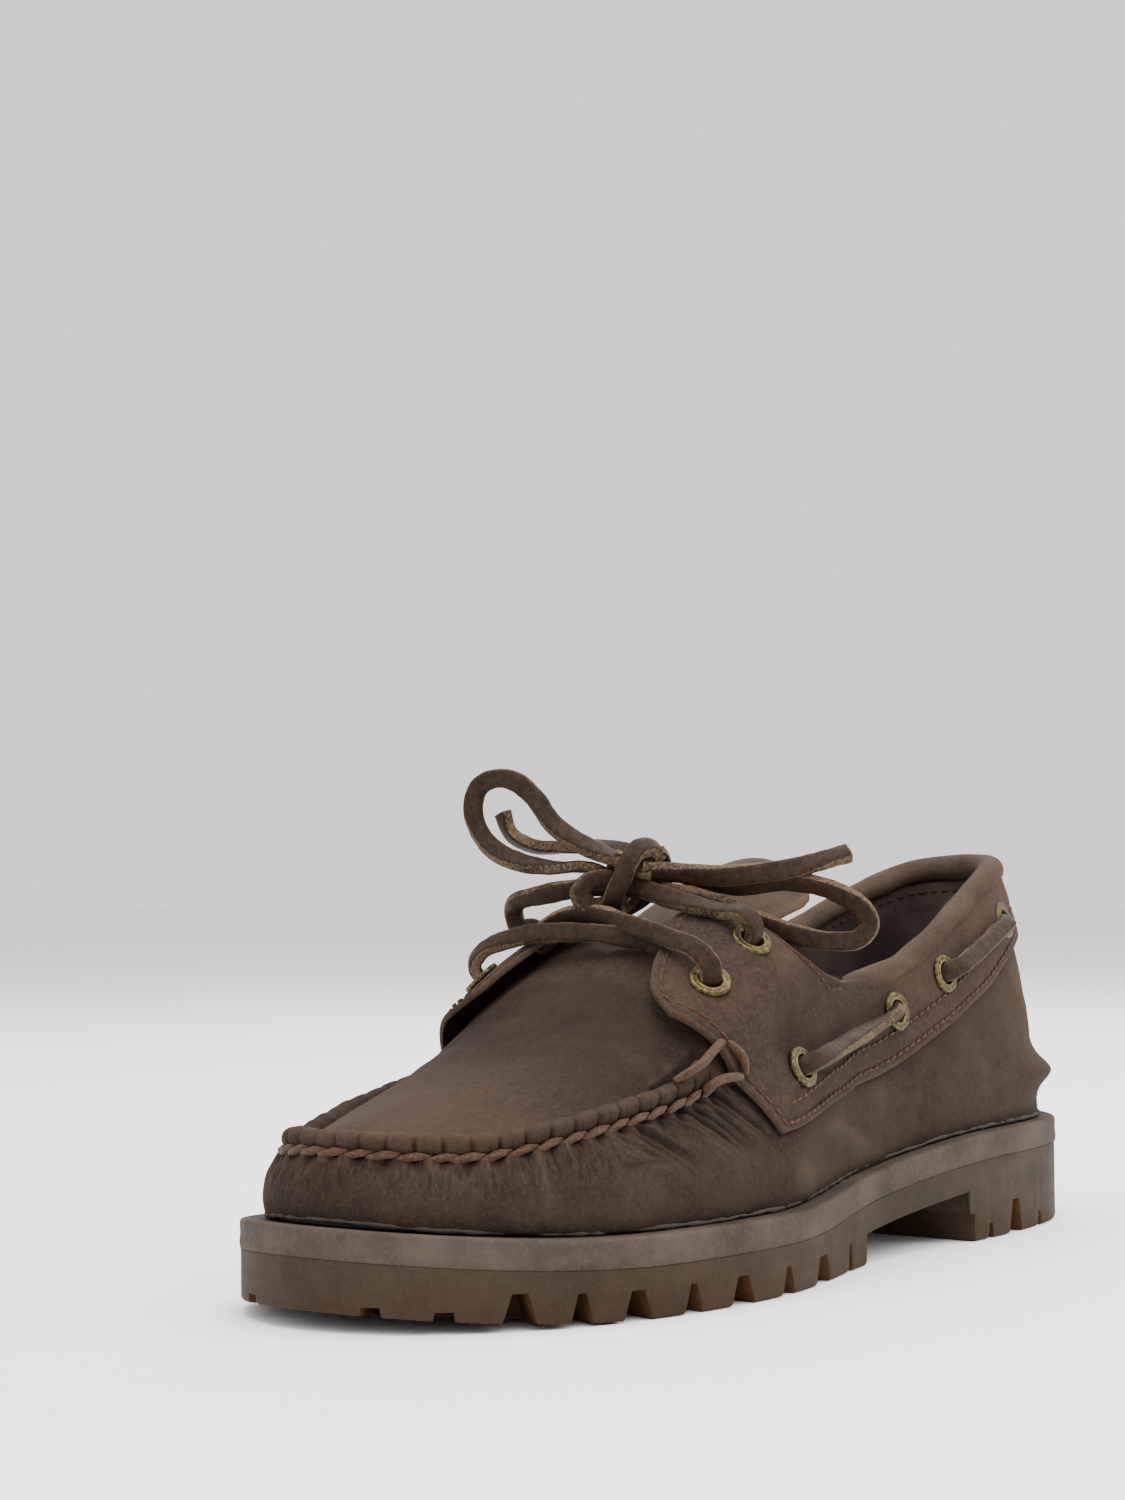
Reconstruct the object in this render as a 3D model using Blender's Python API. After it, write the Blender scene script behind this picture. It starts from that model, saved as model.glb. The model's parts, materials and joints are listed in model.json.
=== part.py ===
"""Boat shoe for the left foot, standing empty on its sole.

A lugged outsole carries a welt band. A hollow moccasin upper with a raised seam stands on the band, with an
insole inside it, and a side panel with eyestays wraps it from one side of the throat round the heel to the
other. A tongue fills the throat, and a leather lace runs through twelve eyelets and is tied in a bow.

The toe points along +X, the outer side of the foot along +Y, and the origin is on the floor under the middle
of the sole. All sizes are in metres.
"""

import math

import bmesh
import bpy
import numpy as np
from mathutils import Matrix, Vector

# Driving sizes of the sole
LENGTH = 0.300
BALL_WIDTH = 0.1126
FOREFOOT_TOP = 0.0190
HEEL_TOP = 0.0290
TOE_SPRING = 0.0044
BAND_HEIGHT = 0.0072
BAND_ROUNDING = 0.0011
BAND_CHAMFER = 0.0003
SHANK_DEPTH = 0.0147
HEEL_BREAST = 0.0835
FOREFOOT_REAR = 0.1378
TOP_LIFT = 0.0075
TOP_LIFT_SETBACK = 0.0022
LUG_DEPTH = 0.0068
LUG_REACH = 0.0130
TREAD_GROOVE = 0.0035
TREAD_DEPTH = 0.0045
OUTSOLE_ROUNDING = 0.0007

# Driving sizes of the upper
WALL = 0.0020
COLLAR_HEIGHT = 0.0735
INSTEP_HEIGHT = 0.0800
WALL_INSET = 0.0180
MEDIAL_SEAM_DROP = 0.0020
MEDIAL_COLLAR_DROP = 0.0020
FLAP_LIFT = 0.0032
HEEL_KICK = 0.0054
HEEL_KICK_HEIGHT = 0.0130
HEEL_KICK_SPREAD = 0.0045
RIDGE_HEIGHT = 0.0050
RIDGE_WIDTH = 0.0046
RIDGE_START = 0.680
RIDGE_RAMP = 0.020
SPINE_SETBACK = 0.0060
TOE_FAN = 0.45
RIB_EASE = 1.5
PANEL_THICKNESS = 0.0016
PANEL_GAP = 0.0008
INSOLE_THICKNESS = 0.0035
INSOLE_GAP = 0.0008
COLLAR_ROLL = 0.0042
TONGUE_THICKNESS = 0.0026
TONGUE_HALF_WIDTH = 0.0215
TONGUE_TIP_HEIGHT = 0.1045
TONGUE_ARCH = 0.0105

# Driving sizes of eyelets and lace
EYELET_DIAMETER = 0.0106
EYELET_BORE = 0.0058
EYELET_FLANGE = 0.0011
EYELET_WALL = 0.0005
LACE_DIAMETER = 0.0042

# Clearances between pieces
GAP = 0.0003
BARREL_GAP = 0.0003

SOLE_BACK = -LENGTH / 2
SOLE_TIP = LENGTH / 2
LATERAL, MEDIAL = 1, -1

# Sole outline, from the heel round the outer side to the toe and back along the inner side.
# Columns: station from the heel as a share of LENGTH, reach to the side as a share of BALL_WIDTH.
OUTLINE = (
    (0.000, -0.012), (0.030, 0.185), (0.080, 0.277), (0.150, 0.325), (0.250, 0.352), (0.350, 0.353),
    (0.450, 0.369), (0.550, 0.442), (0.650, 0.496), (0.730, 0.494), (0.810, 0.461), (0.880, 0.396),
    (0.940, 0.287), (0.980, 0.164), (1.000, -0.056), (0.980, -0.234), (0.940, -0.349), (0.880, -0.429),
    (0.810, -0.482), (0.730, -0.500), (0.650, -0.482), (0.550, -0.420), (0.450, -0.358), (0.350, -0.331),
    (0.250, -0.336), (0.150, -0.340), (0.080, -0.296), (0.030, -0.198),
)

# Wall of the upper, set in from the sole outline.
# Columns: station as a share of LENGTH; inset at the foot of the wall, at a third, at two thirds and at its
# upper edge as shares of WALL_INSET; height of that edge above the welt as a share of COLLAR_HEIGHT.
WALL_SECTIONS = (
    (0.000, 0.26, 0.42, 0.67, 1.00, 1.000),
    (0.060, 0.26, 0.40, 0.64, 1.00, 0.994),
    (0.120, 0.26, 0.37, 0.61, 0.97, 0.952),
    (0.170, 0.27, 0.35, 0.57, 0.90, 0.895),
    (0.230, 0.27, 0.32, 0.48, 0.77, 0.812),
    (0.290, 0.28, 0.30, 0.41, 0.63, 0.738),
    (0.340, 0.28, 0.27, 0.36, 0.56, 0.683),
    (0.400, 0.28, 0.25, 0.33, 0.52, 0.664),
    (0.457, 0.29, 0.23, 0.31, 0.50, 0.678),
    (0.500, 0.29, 0.22, 0.30, 0.53, 0.637),
    (0.550, 0.31, 0.22, 0.31, 0.58, 0.570),
    (0.600, 0.32, 0.22, 0.33, 0.64, 0.502),
    (0.655, 0.33, 0.23, 0.35, 0.67, 0.444),
    (0.690, 0.33, 0.24, 0.36, 0.67, 0.421),
    (0.733, 0.33, 0.24, 0.36, 0.67, 0.378),
    (0.800, 0.33, 0.25, 0.36, 0.66, 0.330),
    (0.867, 0.33, 0.26, 0.36, 0.64, 0.276),
    (0.933, 0.34, 0.29, 0.37, 0.60, 0.220),
    (1.000, 0.36, 0.32, 0.39, 0.56, 0.204),
)

# Ridge line of the foot over the plug and the instep.
# Columns: station as a share of LENGTH; height above the toe seam as a share of the rise from that seam to
# INSTEP_HEIGHT; exponents of the crown across the foot, from a low arch at the toe to a full one at the throat.
SPINE_SECTIONS = (
    (0.457, 1.350, 2.3, 0.43),
    (0.500, 1.339, 2.3, 0.43),
    (0.533, 1.290, 2.3, 0.43),
    (0.567, 1.235, 2.3, 0.44),
    (0.613, 1.110, 2.2, 0.48),
    (0.653, 0.970, 2.1, 0.60),
    (0.693, 0.790, 2.0, 0.80),
    (0.733, 0.615, 2.0, 1.00),
    (0.777, 0.468, 2.0, 1.05),
    (0.817, 0.355, 2.0, 1.00),
    (0.860, 0.252, 2.0, 1.00),
    (0.900, 0.165, 2.0, 1.00),
    (0.933, 0.092, 2.0, 1.00),
    (0.968, 0.040, 2.0, 1.00),
)

# Free edge of the upper. Columns: station as a share of LENGTH, place up the rib (1 is the top of the wall,
# 2 the ridge line).
FREE_EDGE = (
    (0.000, 1.00), (0.440, 1.00), (0.457, 1.01), (0.500, 1.12), (0.525, 1.25), (0.550, 1.40), (0.575, 1.58),
    (0.600, 1.71), (0.620, 1.78), (0.637, 1.86), (0.653, 2.00),
)
THROAT_TIP = 0.653
# Where the flaps lift off the plug: first station and length of the rise, then the same for the place up the rib.
FLAP_STATIONS = (0.49, 0.13)
FLAP_PLACES = (0.95, 0.45)
COLLAR_NOTCH = 0.457

# Ribs of the side panel on one side, from its front edge to the back of the heel.
# Columns: station and place up the rib at the lower edge, then the same at the upper edge.
PANEL_RIBS = (
    (0.628, 0.53, 0.703, 1.42),
    (0.620, 0.53, 0.699, 1.54),
    (0.607, 0.52, 0.682, 1.63),
    (0.585, 0.51, 0.645, 1.70),
    (0.550, 0.50, 0.600, 1.77),
    (0.515, 0.48, 0.566, 1.56),
    (0.485, 0.46, 0.532, 1.27),
    (0.462, 0.46, 0.495, 1.08),
    (0.435, 0.46, 0.457, 1.00),
    (0.380, 0.49, 0.390, 1.00),
    (0.330, 0.53, 0.330, 1.00),
    (0.285, 0.55, 0.285, 1.00),
    (0.240, 0.58, 0.240, 1.00),
    (0.190, 0.60, 0.190, 1.00),
    (0.145, 0.64, 0.145, 1.00),
    (0.080, 0.69, 0.080, 1.00),
    (0.020, 0.70, 0.020, 1.00),
)

# Eyelets. Columns: name, side of the foot, station as a share of LENGTH, place up the rib.
EYELETS = (
    ("front_lateral", LATERAL, 0.653, 1.384),
    ("rear_lateral", LATERAL, 0.582, 1.391),
    ("front_medial", MEDIAL, 0.653, 1.384),
    ("rear_medial", MEDIAL, 0.582, 1.391),
    ("side_1_lateral", LATERAL, 0.569, 0.810),
    ("side_2_lateral", LATERAL, 0.374, 0.765),
    ("side_3_lateral", LATERAL, 0.284, 0.798),
    ("side_4_lateral", LATERAL, 0.121, 0.799),
    ("side_1_medial", MEDIAL, 0.569, 0.810),
    ("side_2_medial", MEDIAL, 0.374, 0.765),
    ("side_3_medial", MEDIAL, 0.284, 0.798),
    ("side_4_medial", MEDIAL, 0.121, 0.799),
)

# Notches in the edge of the outsole. Columns: side, station as a share of LENGTH, width at the tread,
# width at the top and depth as shares of LUG_DEPTH.
NOTCHES = (
    (LATERAL, 0.986, 0.70, 0.60, 0.30), (LATERAL, 0.955, 0.75, 0.65, 0.30),
    (LATERAL, 0.911, 1.35, 0.55, 1.00), (LATERAL, 0.867, 1.00, 0.30, 1.00), (LATERAL, 0.819, 1.35, 0.55, 1.00),
    (LATERAL, 0.763, 1.00, 0.30, 1.00), (LATERAL, 0.705, 1.40, 0.60, 1.00), (LATERAL, 0.640, 1.00, 0.30, 1.00),
    (LATERAL, 0.571, 1.60, 0.80, 1.00), (LATERAL, 0.500, 0.60, 0.25, 1.00),
    (LATERAL, 0.241, 0.55, 0.25, 0.60), (LATERAL, 0.190, 1.30, 0.60, 1.35), (LATERAL, 0.133, 0.60, 0.25, 0.60),
    (LATERAL, 0.035, 0.90, 0.40, 0.90),
    (MEDIAL, 0.988, 0.85, 0.70, 0.30), (MEDIAL, 0.955, 0.75, 0.65, 0.30),
    (MEDIAL, 0.911, 1.35, 0.55, 1.00), (MEDIAL, 0.867, 1.00, 0.30, 1.00), (MEDIAL, 0.819, 1.35, 0.55, 1.00),
    (MEDIAL, 0.763, 1.00, 0.30, 1.00), (MEDIAL, 0.705, 1.40, 0.60, 1.00), (MEDIAL, 0.640, 1.00, 0.30, 1.00),
    (MEDIAL, 0.571, 1.60, 0.80, 1.00), (MEDIAL, 0.500, 0.60, 0.25, 1.00),
    (MEDIAL, 0.241, 0.55, 0.25, 0.60), (MEDIAL, 0.190, 1.30, 0.60, 1.35), (MEDIAL, 0.133, 0.60, 0.25, 0.60),
    (MEDIAL, 0.035, 0.90, 0.40, 0.90),
)
# Cross grooves of the tread between the rows of lugs, as shares of LENGTH.
TREAD_GROOVES = (0.095, 0.165, 0.225, 0.535, 0.605, 0.672, 0.735, 0.791, 0.843, 0.890)


def smooth_table(stations, values):
    """A smooth curve through the values of a table, as a function of the station."""
    stations, values = np.asarray(stations, float), np.asarray(values, float)
    slopes = np.gradient(values, stations)

    def curve(at):
        at = np.clip(at, stations[0], stations[-1])
        i = np.clip(np.searchsorted(stations, at, side="right") - 1, 0, len(stations) - 2)
        step = stations[i + 1] - stations[i]
        t = (at - stations[i]) / step
        start = (1 + 2 * t) * (1 - t) ** 2 * values[i] + t * (1 - t) ** 2 * step * slopes[i]
        end = t**2 * (3 - 2 * t) * values[i + 1] + t**2 * (t - 1) * step * slopes[i + 1]
        return start + end

    return curve


def smooth_step(t):
    """0 below 0, 1 above 1, and a smooth rise between."""
    t = np.clip(t, 0, 1)
    return t * t * (3 - 2 * t)


def closed_curve(knots, count):
    """A smooth closed curve through the knots, as evenly spaced points."""
    ahead, behind = np.roll(knots, -1, 0), np.roll(knots, 1, 0)
    after = np.linalg.norm(ahead - knots, axis=1)
    before = np.roll(after, 1)
    size = len(knots)
    matrix = np.zeros((size, size))
    for i in range(size):
        matrix[i, i - 1] += 1 / before[i]
        matrix[i, i] += 2 * (1 / before[i] + 1 / after[i])
        matrix[i, (i + 1) % size] += 1 / after[i]
    pull = 3 * ((knots - behind) / before[:, None] ** 2 + (ahead - knots) / after[:, None] ** 2)
    slopes = np.linalg.solve(matrix, pull)
    t = np.linspace(0, 1, 60, endpoint=False)[None, :, None]
    step = after[:, None, None]
    a, b = knots[:, None, :], ahead[:, None, :]
    m, n = slopes[:, None, :] * step, np.roll(slopes, -1, 0)[:, None, :] * step
    curve = (1 + 2 * t) * (1 - t) ** 2 * a + t * (1 - t) ** 2 * m + t**2 * (3 - 2 * t) * b + t**2 * (t - 1) * n
    curve = curve.reshape(-1, 2)
    closed = np.vstack([curve, curve[:1]])
    run = np.r_[0, np.cumsum(np.linalg.norm(np.diff(closed, axis=0), axis=1))]
    even = np.linspace(0, run[-1], count, endpoint=False)
    return np.column_stack([np.interp(even, run, closed[:, k]) for k in range(2)])


OUTLINE_COUNT = 900
OUTLINE_KNOTS = np.array([(SOLE_BACK + s * LENGTH, r * BALL_WIDTH) for s, r in OUTLINE])
OUTLINE_POINTS = closed_curve(OUTLINE_KNOTS, OUTLINE_COUNT)
OUTLINE_TANGENTS = np.roll(OUTLINE_POINTS, -1, 0) - np.roll(OUTLINE_POINTS, 1, 0)
OUTLINE_TANGENTS /= np.linalg.norm(OUTLINE_TANGENTS, axis=1)[:, None]
OUTLINE_INWARD = np.column_stack([OUTLINE_TANGENTS[:, 1], -OUTLINE_TANGENTS[:, 0]])
TOE_INDEX = int(np.argmax(OUTLINE_POINTS[:, 0]))
TOE_RING = TOE_INDEX / OUTLINE_COUNT


def around(values, ring):
    """Values given round the outline, read at a place on the ring (0 at the heel, growing along the outer side)."""
    looped = np.vstack([values, values[:1]])
    at = np.mod(ring, 1) * OUTLINE_COUNT
    return np.stack([np.interp(at, np.arange(OUTLINE_COUNT + 1), looped[:, k]) for k in range(2)], axis=-1)


def ring_of(station, side):
    """Place on the ring of a station on one side, where the outline runs past it."""
    if side == LATERAL:
        xs, rings = OUTLINE_POINTS[: TOE_INDEX + 1, 0], np.arange(TOE_INDEX + 1) / OUTLINE_COUNT
    else:
        order = np.r_[np.arange(OUTLINE_COUNT, TOE_INDEX - 1, -1)]
        xs, rings = OUTLINE_POINTS[order % OUTLINE_COUNT, 0], order / OUTLINE_COUNT
    return np.interp(SOLE_BACK + np.asarray(station) * LENGTH, np.maximum.accumulate(xs), rings)


def station_of(x):
    """Station along the sole as a share of its length."""
    return (x - SOLE_BACK) / LENGTH


def tread_bottom(x):
    """Height of the tread above the floor: flat, then rising to the toe spring."""
    return TOE_SPRING * np.clip((station_of(x) - 0.78) / 0.22, 0, 1) ** 2


def welt_top(x):
    """Height of the top of the welt band above the floor."""
    rise = smooth_step((0.62 - station_of(x)) / 0.42)
    return FOREFOOT_TOP + (HEEL_TOP - FOREFOOT_TOP) * rise + tread_bottom(x)


def side_points(inset, stations):
    """Outline moved in by an inset, read at stations along X: the outer side's points, then the inner side's."""
    loop = OUTLINE_POINTS + OUTLINE_INWARD * inset
    heel, tip = loop[:, 0].min(), loop[:, 0].max()
    xs = heel + (tip - heel) * stations
    sides = []
    low, high = int(np.argmin(loop[:, 0])), int(np.argmax(loop[:, 0]))
    for step in (1, -1):
        count = (high - low) * step % OUTLINE_COUNT
        order = (low + step * np.arange(count + 1)) % OUTLINE_COUNT
        ys = np.interp(xs, np.maximum.accumulate(loop[order, 0]), loop[order, 1])
        sides.append(np.column_stack([xs, ys]))
    return sides


wall_table = np.array(WALL_SECTIONS)
spine_table = np.array(SPINE_SECTIONS)
foot_inset, low_inset, high_inset, edge_inset = (
    smooth_table(wall_table[:, 0], wall_table[:, k] * WALL_INSET) for k in (1, 2, 3, 4)
)
edge_height = smooth_table(wall_table[:, 0], wall_table[:, 5] * COLLAR_HEIGHT)
spine_rise = smooth_table(spine_table[:, 0], spine_table[:, 1])
crown_power = smooth_table(spine_table[:, 0], spine_table[:, 2])
crown_root = smooth_table(spine_table[:, 0], spine_table[:, 3])
free_edge = smooth_table(*np.array(FREE_EDGE).T)
SEAM_TIP = SOLE_TIP - edge_inset(1.0)
SEAM_TIP_HEIGHT = float(welt_top(SOLE_TIP)) + GAP + float(edge_height(1.0))


def middle_of(x):
    """Sideways place of the ridge line of the foot: half way between the sole's sides."""
    lateral, medial = side_points(0, np.linspace(0, 1, 200))
    return np.interp(x, lateral[:, 0], (lateral[:, 1] + medial[:, 1]) / 2)


def skin(ring, place):
    """Outer surface of the upper before its seam. place runs up a rib: 0 foot, 1 edge of the wall, 2 ridge line."""
    ring, place = np.broadcast_arrays(np.asarray(ring, float), np.asarray(place, float))
    outline, inward = around(OUTLINE_POINTS, ring), around(OUTLINE_INWARD, ring)
    station = np.clip(station_of(outline[..., 0]), 0, 1)
    up = np.clip(place, 0, 1)
    insets = [table(station) for table in (foot_inset, low_inset, high_inset, edge_inset)]
    weights = (
        -4.5 * (up - 1 / 3) * (up - 2 / 3) * (up - 1),
        13.5 * up * (up - 2 / 3) * (up - 1),
        -13.5 * up * (up - 1 / 3) * (up - 1),
        4.5 * up * (up - 1 / 3) * (up - 2 / 3),
    )
    inset = sum(weight * value for weight, value in zip(weights, insets))
    medial = np.mod(ring, 1) > TOE_RING
    seam_drop = MEDIAL_SEAM_DROP * smooth_step((station - 0.60) / 0.12) * smooth_step((1 - station) / 0.10)
    collar_drop = MEDIAL_COLLAR_DROP * smooth_step(station / 0.12) * smooth_step((0.40 - station) / 0.15)
    height = (edge_height(station) - medial * (seam_drop + collar_drop)) * up
    kick = np.exp(-(((height - HEEL_KICK_HEIGHT) / HEEL_KICK_SPREAD) ** 2)) * smooth_step((0.15 - station) / 0.10)
    inset = inset - HEEL_KICK * kick
    wall = outline + inward * inset[..., None]
    wall_z = welt_top(outline[..., 0]) + GAP + height
    tip_gap = np.hypot(SEAM_TIP - wall[..., 0], TOE_FAN * (wall[..., 1] - middle_of(wall[..., 0])))
    spine_x = SEAM_TIP - SPINE_SETBACK - tip_gap * (1 - SPINE_SETBACK / LENGTH)
    spine_station = station_of(spine_x)
    spine_z = SEAM_TIP_HEIGHT + (INSTEP_HEIGHT - SEAM_TIP_HEIGHT) * spine_rise(spine_station)
    over = np.clip(place - 1, 0, 1) ** RIB_EASE
    arch = (1 - (1 - over) ** crown_power(spine_station)) ** crown_root(spine_station)
    x = wall[..., 0] + (spine_x - wall[..., 0]) * over
    y = wall[..., 1] + (middle_of(spine_x) - wall[..., 1]) * over
    z = wall_z + (spine_z - wall_z) * arch
    return np.stack([x, y, z], axis=-1)


def skin_normal(ring, place):
    """Unit normal of the skin, facing out."""
    place = np.clip(place, 0.02, 1.96)
    along = skin(ring + 0.002, place) - skin(ring - 0.002, place)
    upward = skin(ring, place + 0.02) - skin(ring, place - 0.02)
    normal = np.cross(upward, along)
    return normal / np.linalg.norm(normal, axis=-1, keepdims=True)


def skin_offset(ring, place, distance):
    """The skin moved out by a distance."""
    return skin(ring, place) + skin_normal(ring, place) * np.asarray(distance)[..., None]


def panel_face(ring, place, height):
    """A point over the upper at a height above the panel's inner face, which lifts off the plug as a flap."""
    station = np.clip(station_of(around(OUTLINE_POINTS, ring)[..., 0]), 0, 1)
    flap = smooth_step((station - FLAP_STATIONS[0]) / FLAP_STATIONS[1])
    flap = flap * smooth_step((place - FLAP_PLACES[0]) / FLAP_PLACES[1])
    return skin_offset(ring, place, PANEL_GAP + height + FLAP_LIFT * flap)


def new_material(name, colour, roughness, metallic=0.0):
    """A plain material of one colour, roughness and metallic value."""
    material = bpy.data.materials.new(name)
    material.use_nodes = True
    shader = material.node_tree.nodes["Principled BSDF"]
    shader.inputs["Base Color"].default_value = (*colour, 1.0)
    shader.inputs["Roughness"].default_value = roughness
    shader.inputs["Metallic"].default_value = metallic
    return material


def new_object(name, points, faces, material):
    """A closed mesh object with its faces turned outwards."""
    mesh = bpy.data.meshes.new(name)
    mesh.from_pydata([tuple(map(float, p)) for p in points], [], [tuple(map(int, f)) for f in faces])
    shape = bmesh.new()
    shape.from_mesh(mesh)
    bmesh.ops.recalc_face_normals(shape, faces=shape.faces)
    shape.to_mesh(mesh)
    shape.free()
    mesh.shade_smooth()
    mesh.set_sharp_from_angle(angle=math.radians(40))
    obj = bpy.data.objects.new(name, mesh)
    bpy.context.scene.collection.objects.link(obj)
    if material:
        mesh.materials.append(material)
    return obj


def cut(obj, cutter):
    """Cuts one object with another, which stays in the scene as a helper."""
    cutter.hide_render = True
    cutter.display_type = "WIRE"
    boolean = obj.modifiers.new(cutter.name, "BOOLEAN")
    boolean.operation = "DIFFERENCE"
    boolean.solver = "EXACT"
    boolean.object = cutter


def plate(name, levels, stations, material):
    """A plate that follows the outline. Each level is its inset and a function of X that gives its height."""
    points, count = [], len(stations)
    for inset, height in levels:
        lateral, medial = side_points(inset, stations)
        ring = np.vstack([lateral, medial[-2:0:-1]])
        points.append(np.column_stack([ring, height(ring[:, 0])]))
    size = len(points[0])
    faces = []
    for level in range(len(levels) - 1):
        for i in range(size):
            j, base = (i + 1) % size, level * size
            faces.append((base + i, base + j, base + size + j, base + size + i))
    for base in (0, (len(levels) - 1) * size):
        faces.append((base, base + 1, base + size - 1))
        for i in range(1, count - 2):
            faces.append((base + i, base + i + 1, base + size - i - 1, base + size - i))
        faces.append((base + count - 2, base + count - 1, base + count))
    return new_object(name, np.vstack(points), faces, material)


def plate_stations(count, *breaks):
    """Stations for a plate: close at both round ends, with doubled ones where a step is."""
    turn = (1 - np.cos(np.linspace(0, math.pi, count))) / 2
    steps = [b + d for b in breaks for d in (-0.0008, 0.0008)]
    kept = [s for s in turn if all(abs(s - b) > 0.004 for b in breaks)]
    return np.array(sorted(kept + steps))


def band_bottom(x):
    """Underside of the welt band."""
    return welt_top(x) - BAND_HEIGHT + GAP


def outsole_top(x):
    """Top face of the outsole, under the welt band."""
    return welt_top(x) - BAND_HEIGHT


def outsole_bottom(x):
    """Tread under heel and forefoot, and the raised shank between them."""
    distance = x - SOLE_BACK
    shank = (distance > HEEL_BREAST) & (distance < FOREFOOT_REAR)
    return np.where(shank, welt_top(x) - SHANK_DEPTH, tread_bottom(x))


def make_band(material):
    """The welt band: a rubber plate with a rounded upper edge, on which the upper stands."""
    return plate(
        "midsole_welt",
        (
            (BAND_CHAMFER, band_bottom),
            (0.0, lambda x: band_bottom(x) + 2 * BAND_CHAMFER),
            (0.0, lambda x: welt_top(x) - BAND_ROUNDING),
            (BAND_ROUNDING * 0.3, lambda x: welt_top(x) - BAND_ROUNDING * 0.3),
            (BAND_ROUNDING, welt_top),
        ),
        plate_stations(37),
        material,
    )


def box_between(low, high):
    """Corners and faces of a box."""
    corners = [(x, y, z) for x in (low[0], high[0]) for y in (low[1], high[1]) for z in (low[2], high[2])]
    faces = [(0, 1, 3, 2), (4, 6, 7, 5), (0, 4, 5, 1), (2, 3, 7, 6), (0, 2, 6, 4), (1, 5, 7, 3)]
    return corners, faces


def joined(shapes):
    """Several shapes' points and faces as one list of each."""
    points, faces = [], []
    for corners, sides in shapes:
        faces += [tuple(len(points) + i for i in side) for side in sides]
        points += [tuple(c) for c in corners]
    return points, faces


def notch_shape(side, station, foot, head, depth):
    """A notch in the edge of the sole: a wedge that narrows upwards and points in, square to the outline."""
    ring = float(ring_of(station, side))
    edge, inward = around(OUTLINE_POINTS, ring), around(OUTLINE_INWARD, ring)
    along = np.array([inward[1], -inward[0]])
    floor = float(tread_bottom(edge[0]))
    top = floor + depth * LUG_DEPTH
    points = []
    for reach in (-0.004, LUG_REACH):
        for width, z in ((foot, floor - 0.001), (head, top)):
            for end in (-1, 1):
                flat = edge + inward * reach + along * end * width * LUG_DEPTH / 2
                points.append((flat[0], flat[1], z))
    faces = [(0, 1, 3, 2), (4, 6, 7, 5), (0, 4, 5, 1), (2, 3, 7, 6), (0, 2, 6, 4), (1, 5, 7, 3)]
    return points, faces


def make_outsole(material):
    """The outsole: tread blocks under heel and forefoot, a raised shank, notched lugs and cross grooves."""
    breaks = (HEEL_BREAST / LENGTH, FOREFOOT_REAR / LENGTH)
    outsole = plate(
        "outsole",
        (
            (OUTSOLE_ROUNDING, outsole_bottom),
            (0.0002, lambda x: outsole_bottom(x) + OUTSOLE_ROUNDING),
            (0.0002, outsole_top),
        ),
        plate_stations(41, *breaks),
        material,
    )
    cut(outsole, new_object("notch_cutter", *joined([notch_shape(*row) for row in NOTCHES]), None))
    grooves = []
    for station in TREAD_GROOVES:
        x = SOLE_BACK + station * LENGTH
        lateral, medial = side_points(LUG_REACH + 0.006, np.linspace(0, 1, 200))
        high, low = np.interp(x, lateral[:, 0], lateral[:, 1]), np.interp(x, medial[:, 0], medial[:, 1])
        bottom = float(tread_bottom(x))
        grooves.append(
            box_between(
                (x - TREAD_GROOVE / 2, low, bottom - 0.001), (x + TREAD_GROOVE / 2, high, bottom + TREAD_DEPTH)
            )
        )
    cut(outsole, new_object("groove_cutter", *joined(grooves), None))
    breast = SOLE_BACK + HEEL_BREAST
    lift = box_between((breast - TOP_LIFT_SETBACK, -BALL_WIDTH, -0.001), (breast + 0.001, BALL_WIDTH, TOP_LIFT))
    cut(outsole, new_object("top_lift_cutter", *lift, None))
    return outsole


def make_insole(material):
    """The insole: a plate inside the foot of the wall."""
    inset = WALL_INSET * WALL_SECTIONS[-1][1] + WALL + INSOLE_GAP
    return plate(
        "insole",
        (
            (inset, lambda x: welt_top(x) + GAP),
            (inset, lambda x: welt_top(x) + GAP + INSOLE_THICKNESS * 0.8),
            (inset + 0.001, lambda x: welt_top(x) + GAP + INSOLE_THICKNESS),
        ),
        plate_stations(25),
        material,
    )


REAR_COLUMNS = 16
FRONT_COLUMNS = 19
WALL_ROWS = (0.0, 0.15, 0.35, 0.58, 0.80, 1.0)
RIDGE_ROWS = 4
TOP_ROWS = (0.44, 0.62, 0.80, 1.0)


def spine_station_of(ring):
    """Station at which the rib of a place on the ring reaches the ridge line."""
    return station_of(skin(ring, 2.0)[..., 0])


def upper_columns():
    """Places on the ring of the upper's columns, from the heel round, with the number of columns on one side."""
    steps = np.linspace(0, 1, REAR_COLUMNS + 1)[:-1]
    throat = {}
    for side in (LATERAL, MEDIAL):
        heel = 0.0 if side == LATERAL else 1.0
        rings = np.linspace(heel, TOE_RING, 600)
        stations = spine_station_of(rings)
        order = np.argsort(stations)
        throat[side] = (stations[order], rings[order])
    start = np.interp(THROAT_TIP, *throat[LATERAL])
    front = np.linspace(start, TOE_RING, FRONT_COLUMNS + 1)[:-1]
    lateral = np.r_[start * steps, front]
    medial_start = np.interp(THROAT_TIP, *throat[MEDIAL])
    medial_front = np.interp(spine_station_of(front), *throat[MEDIAL])
    medial = np.r_[1 - (1 - medial_start) * steps, medial_front]
    return np.r_[lateral, TOE_RING, medial[:0:-1]], len(lateral)


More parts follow.
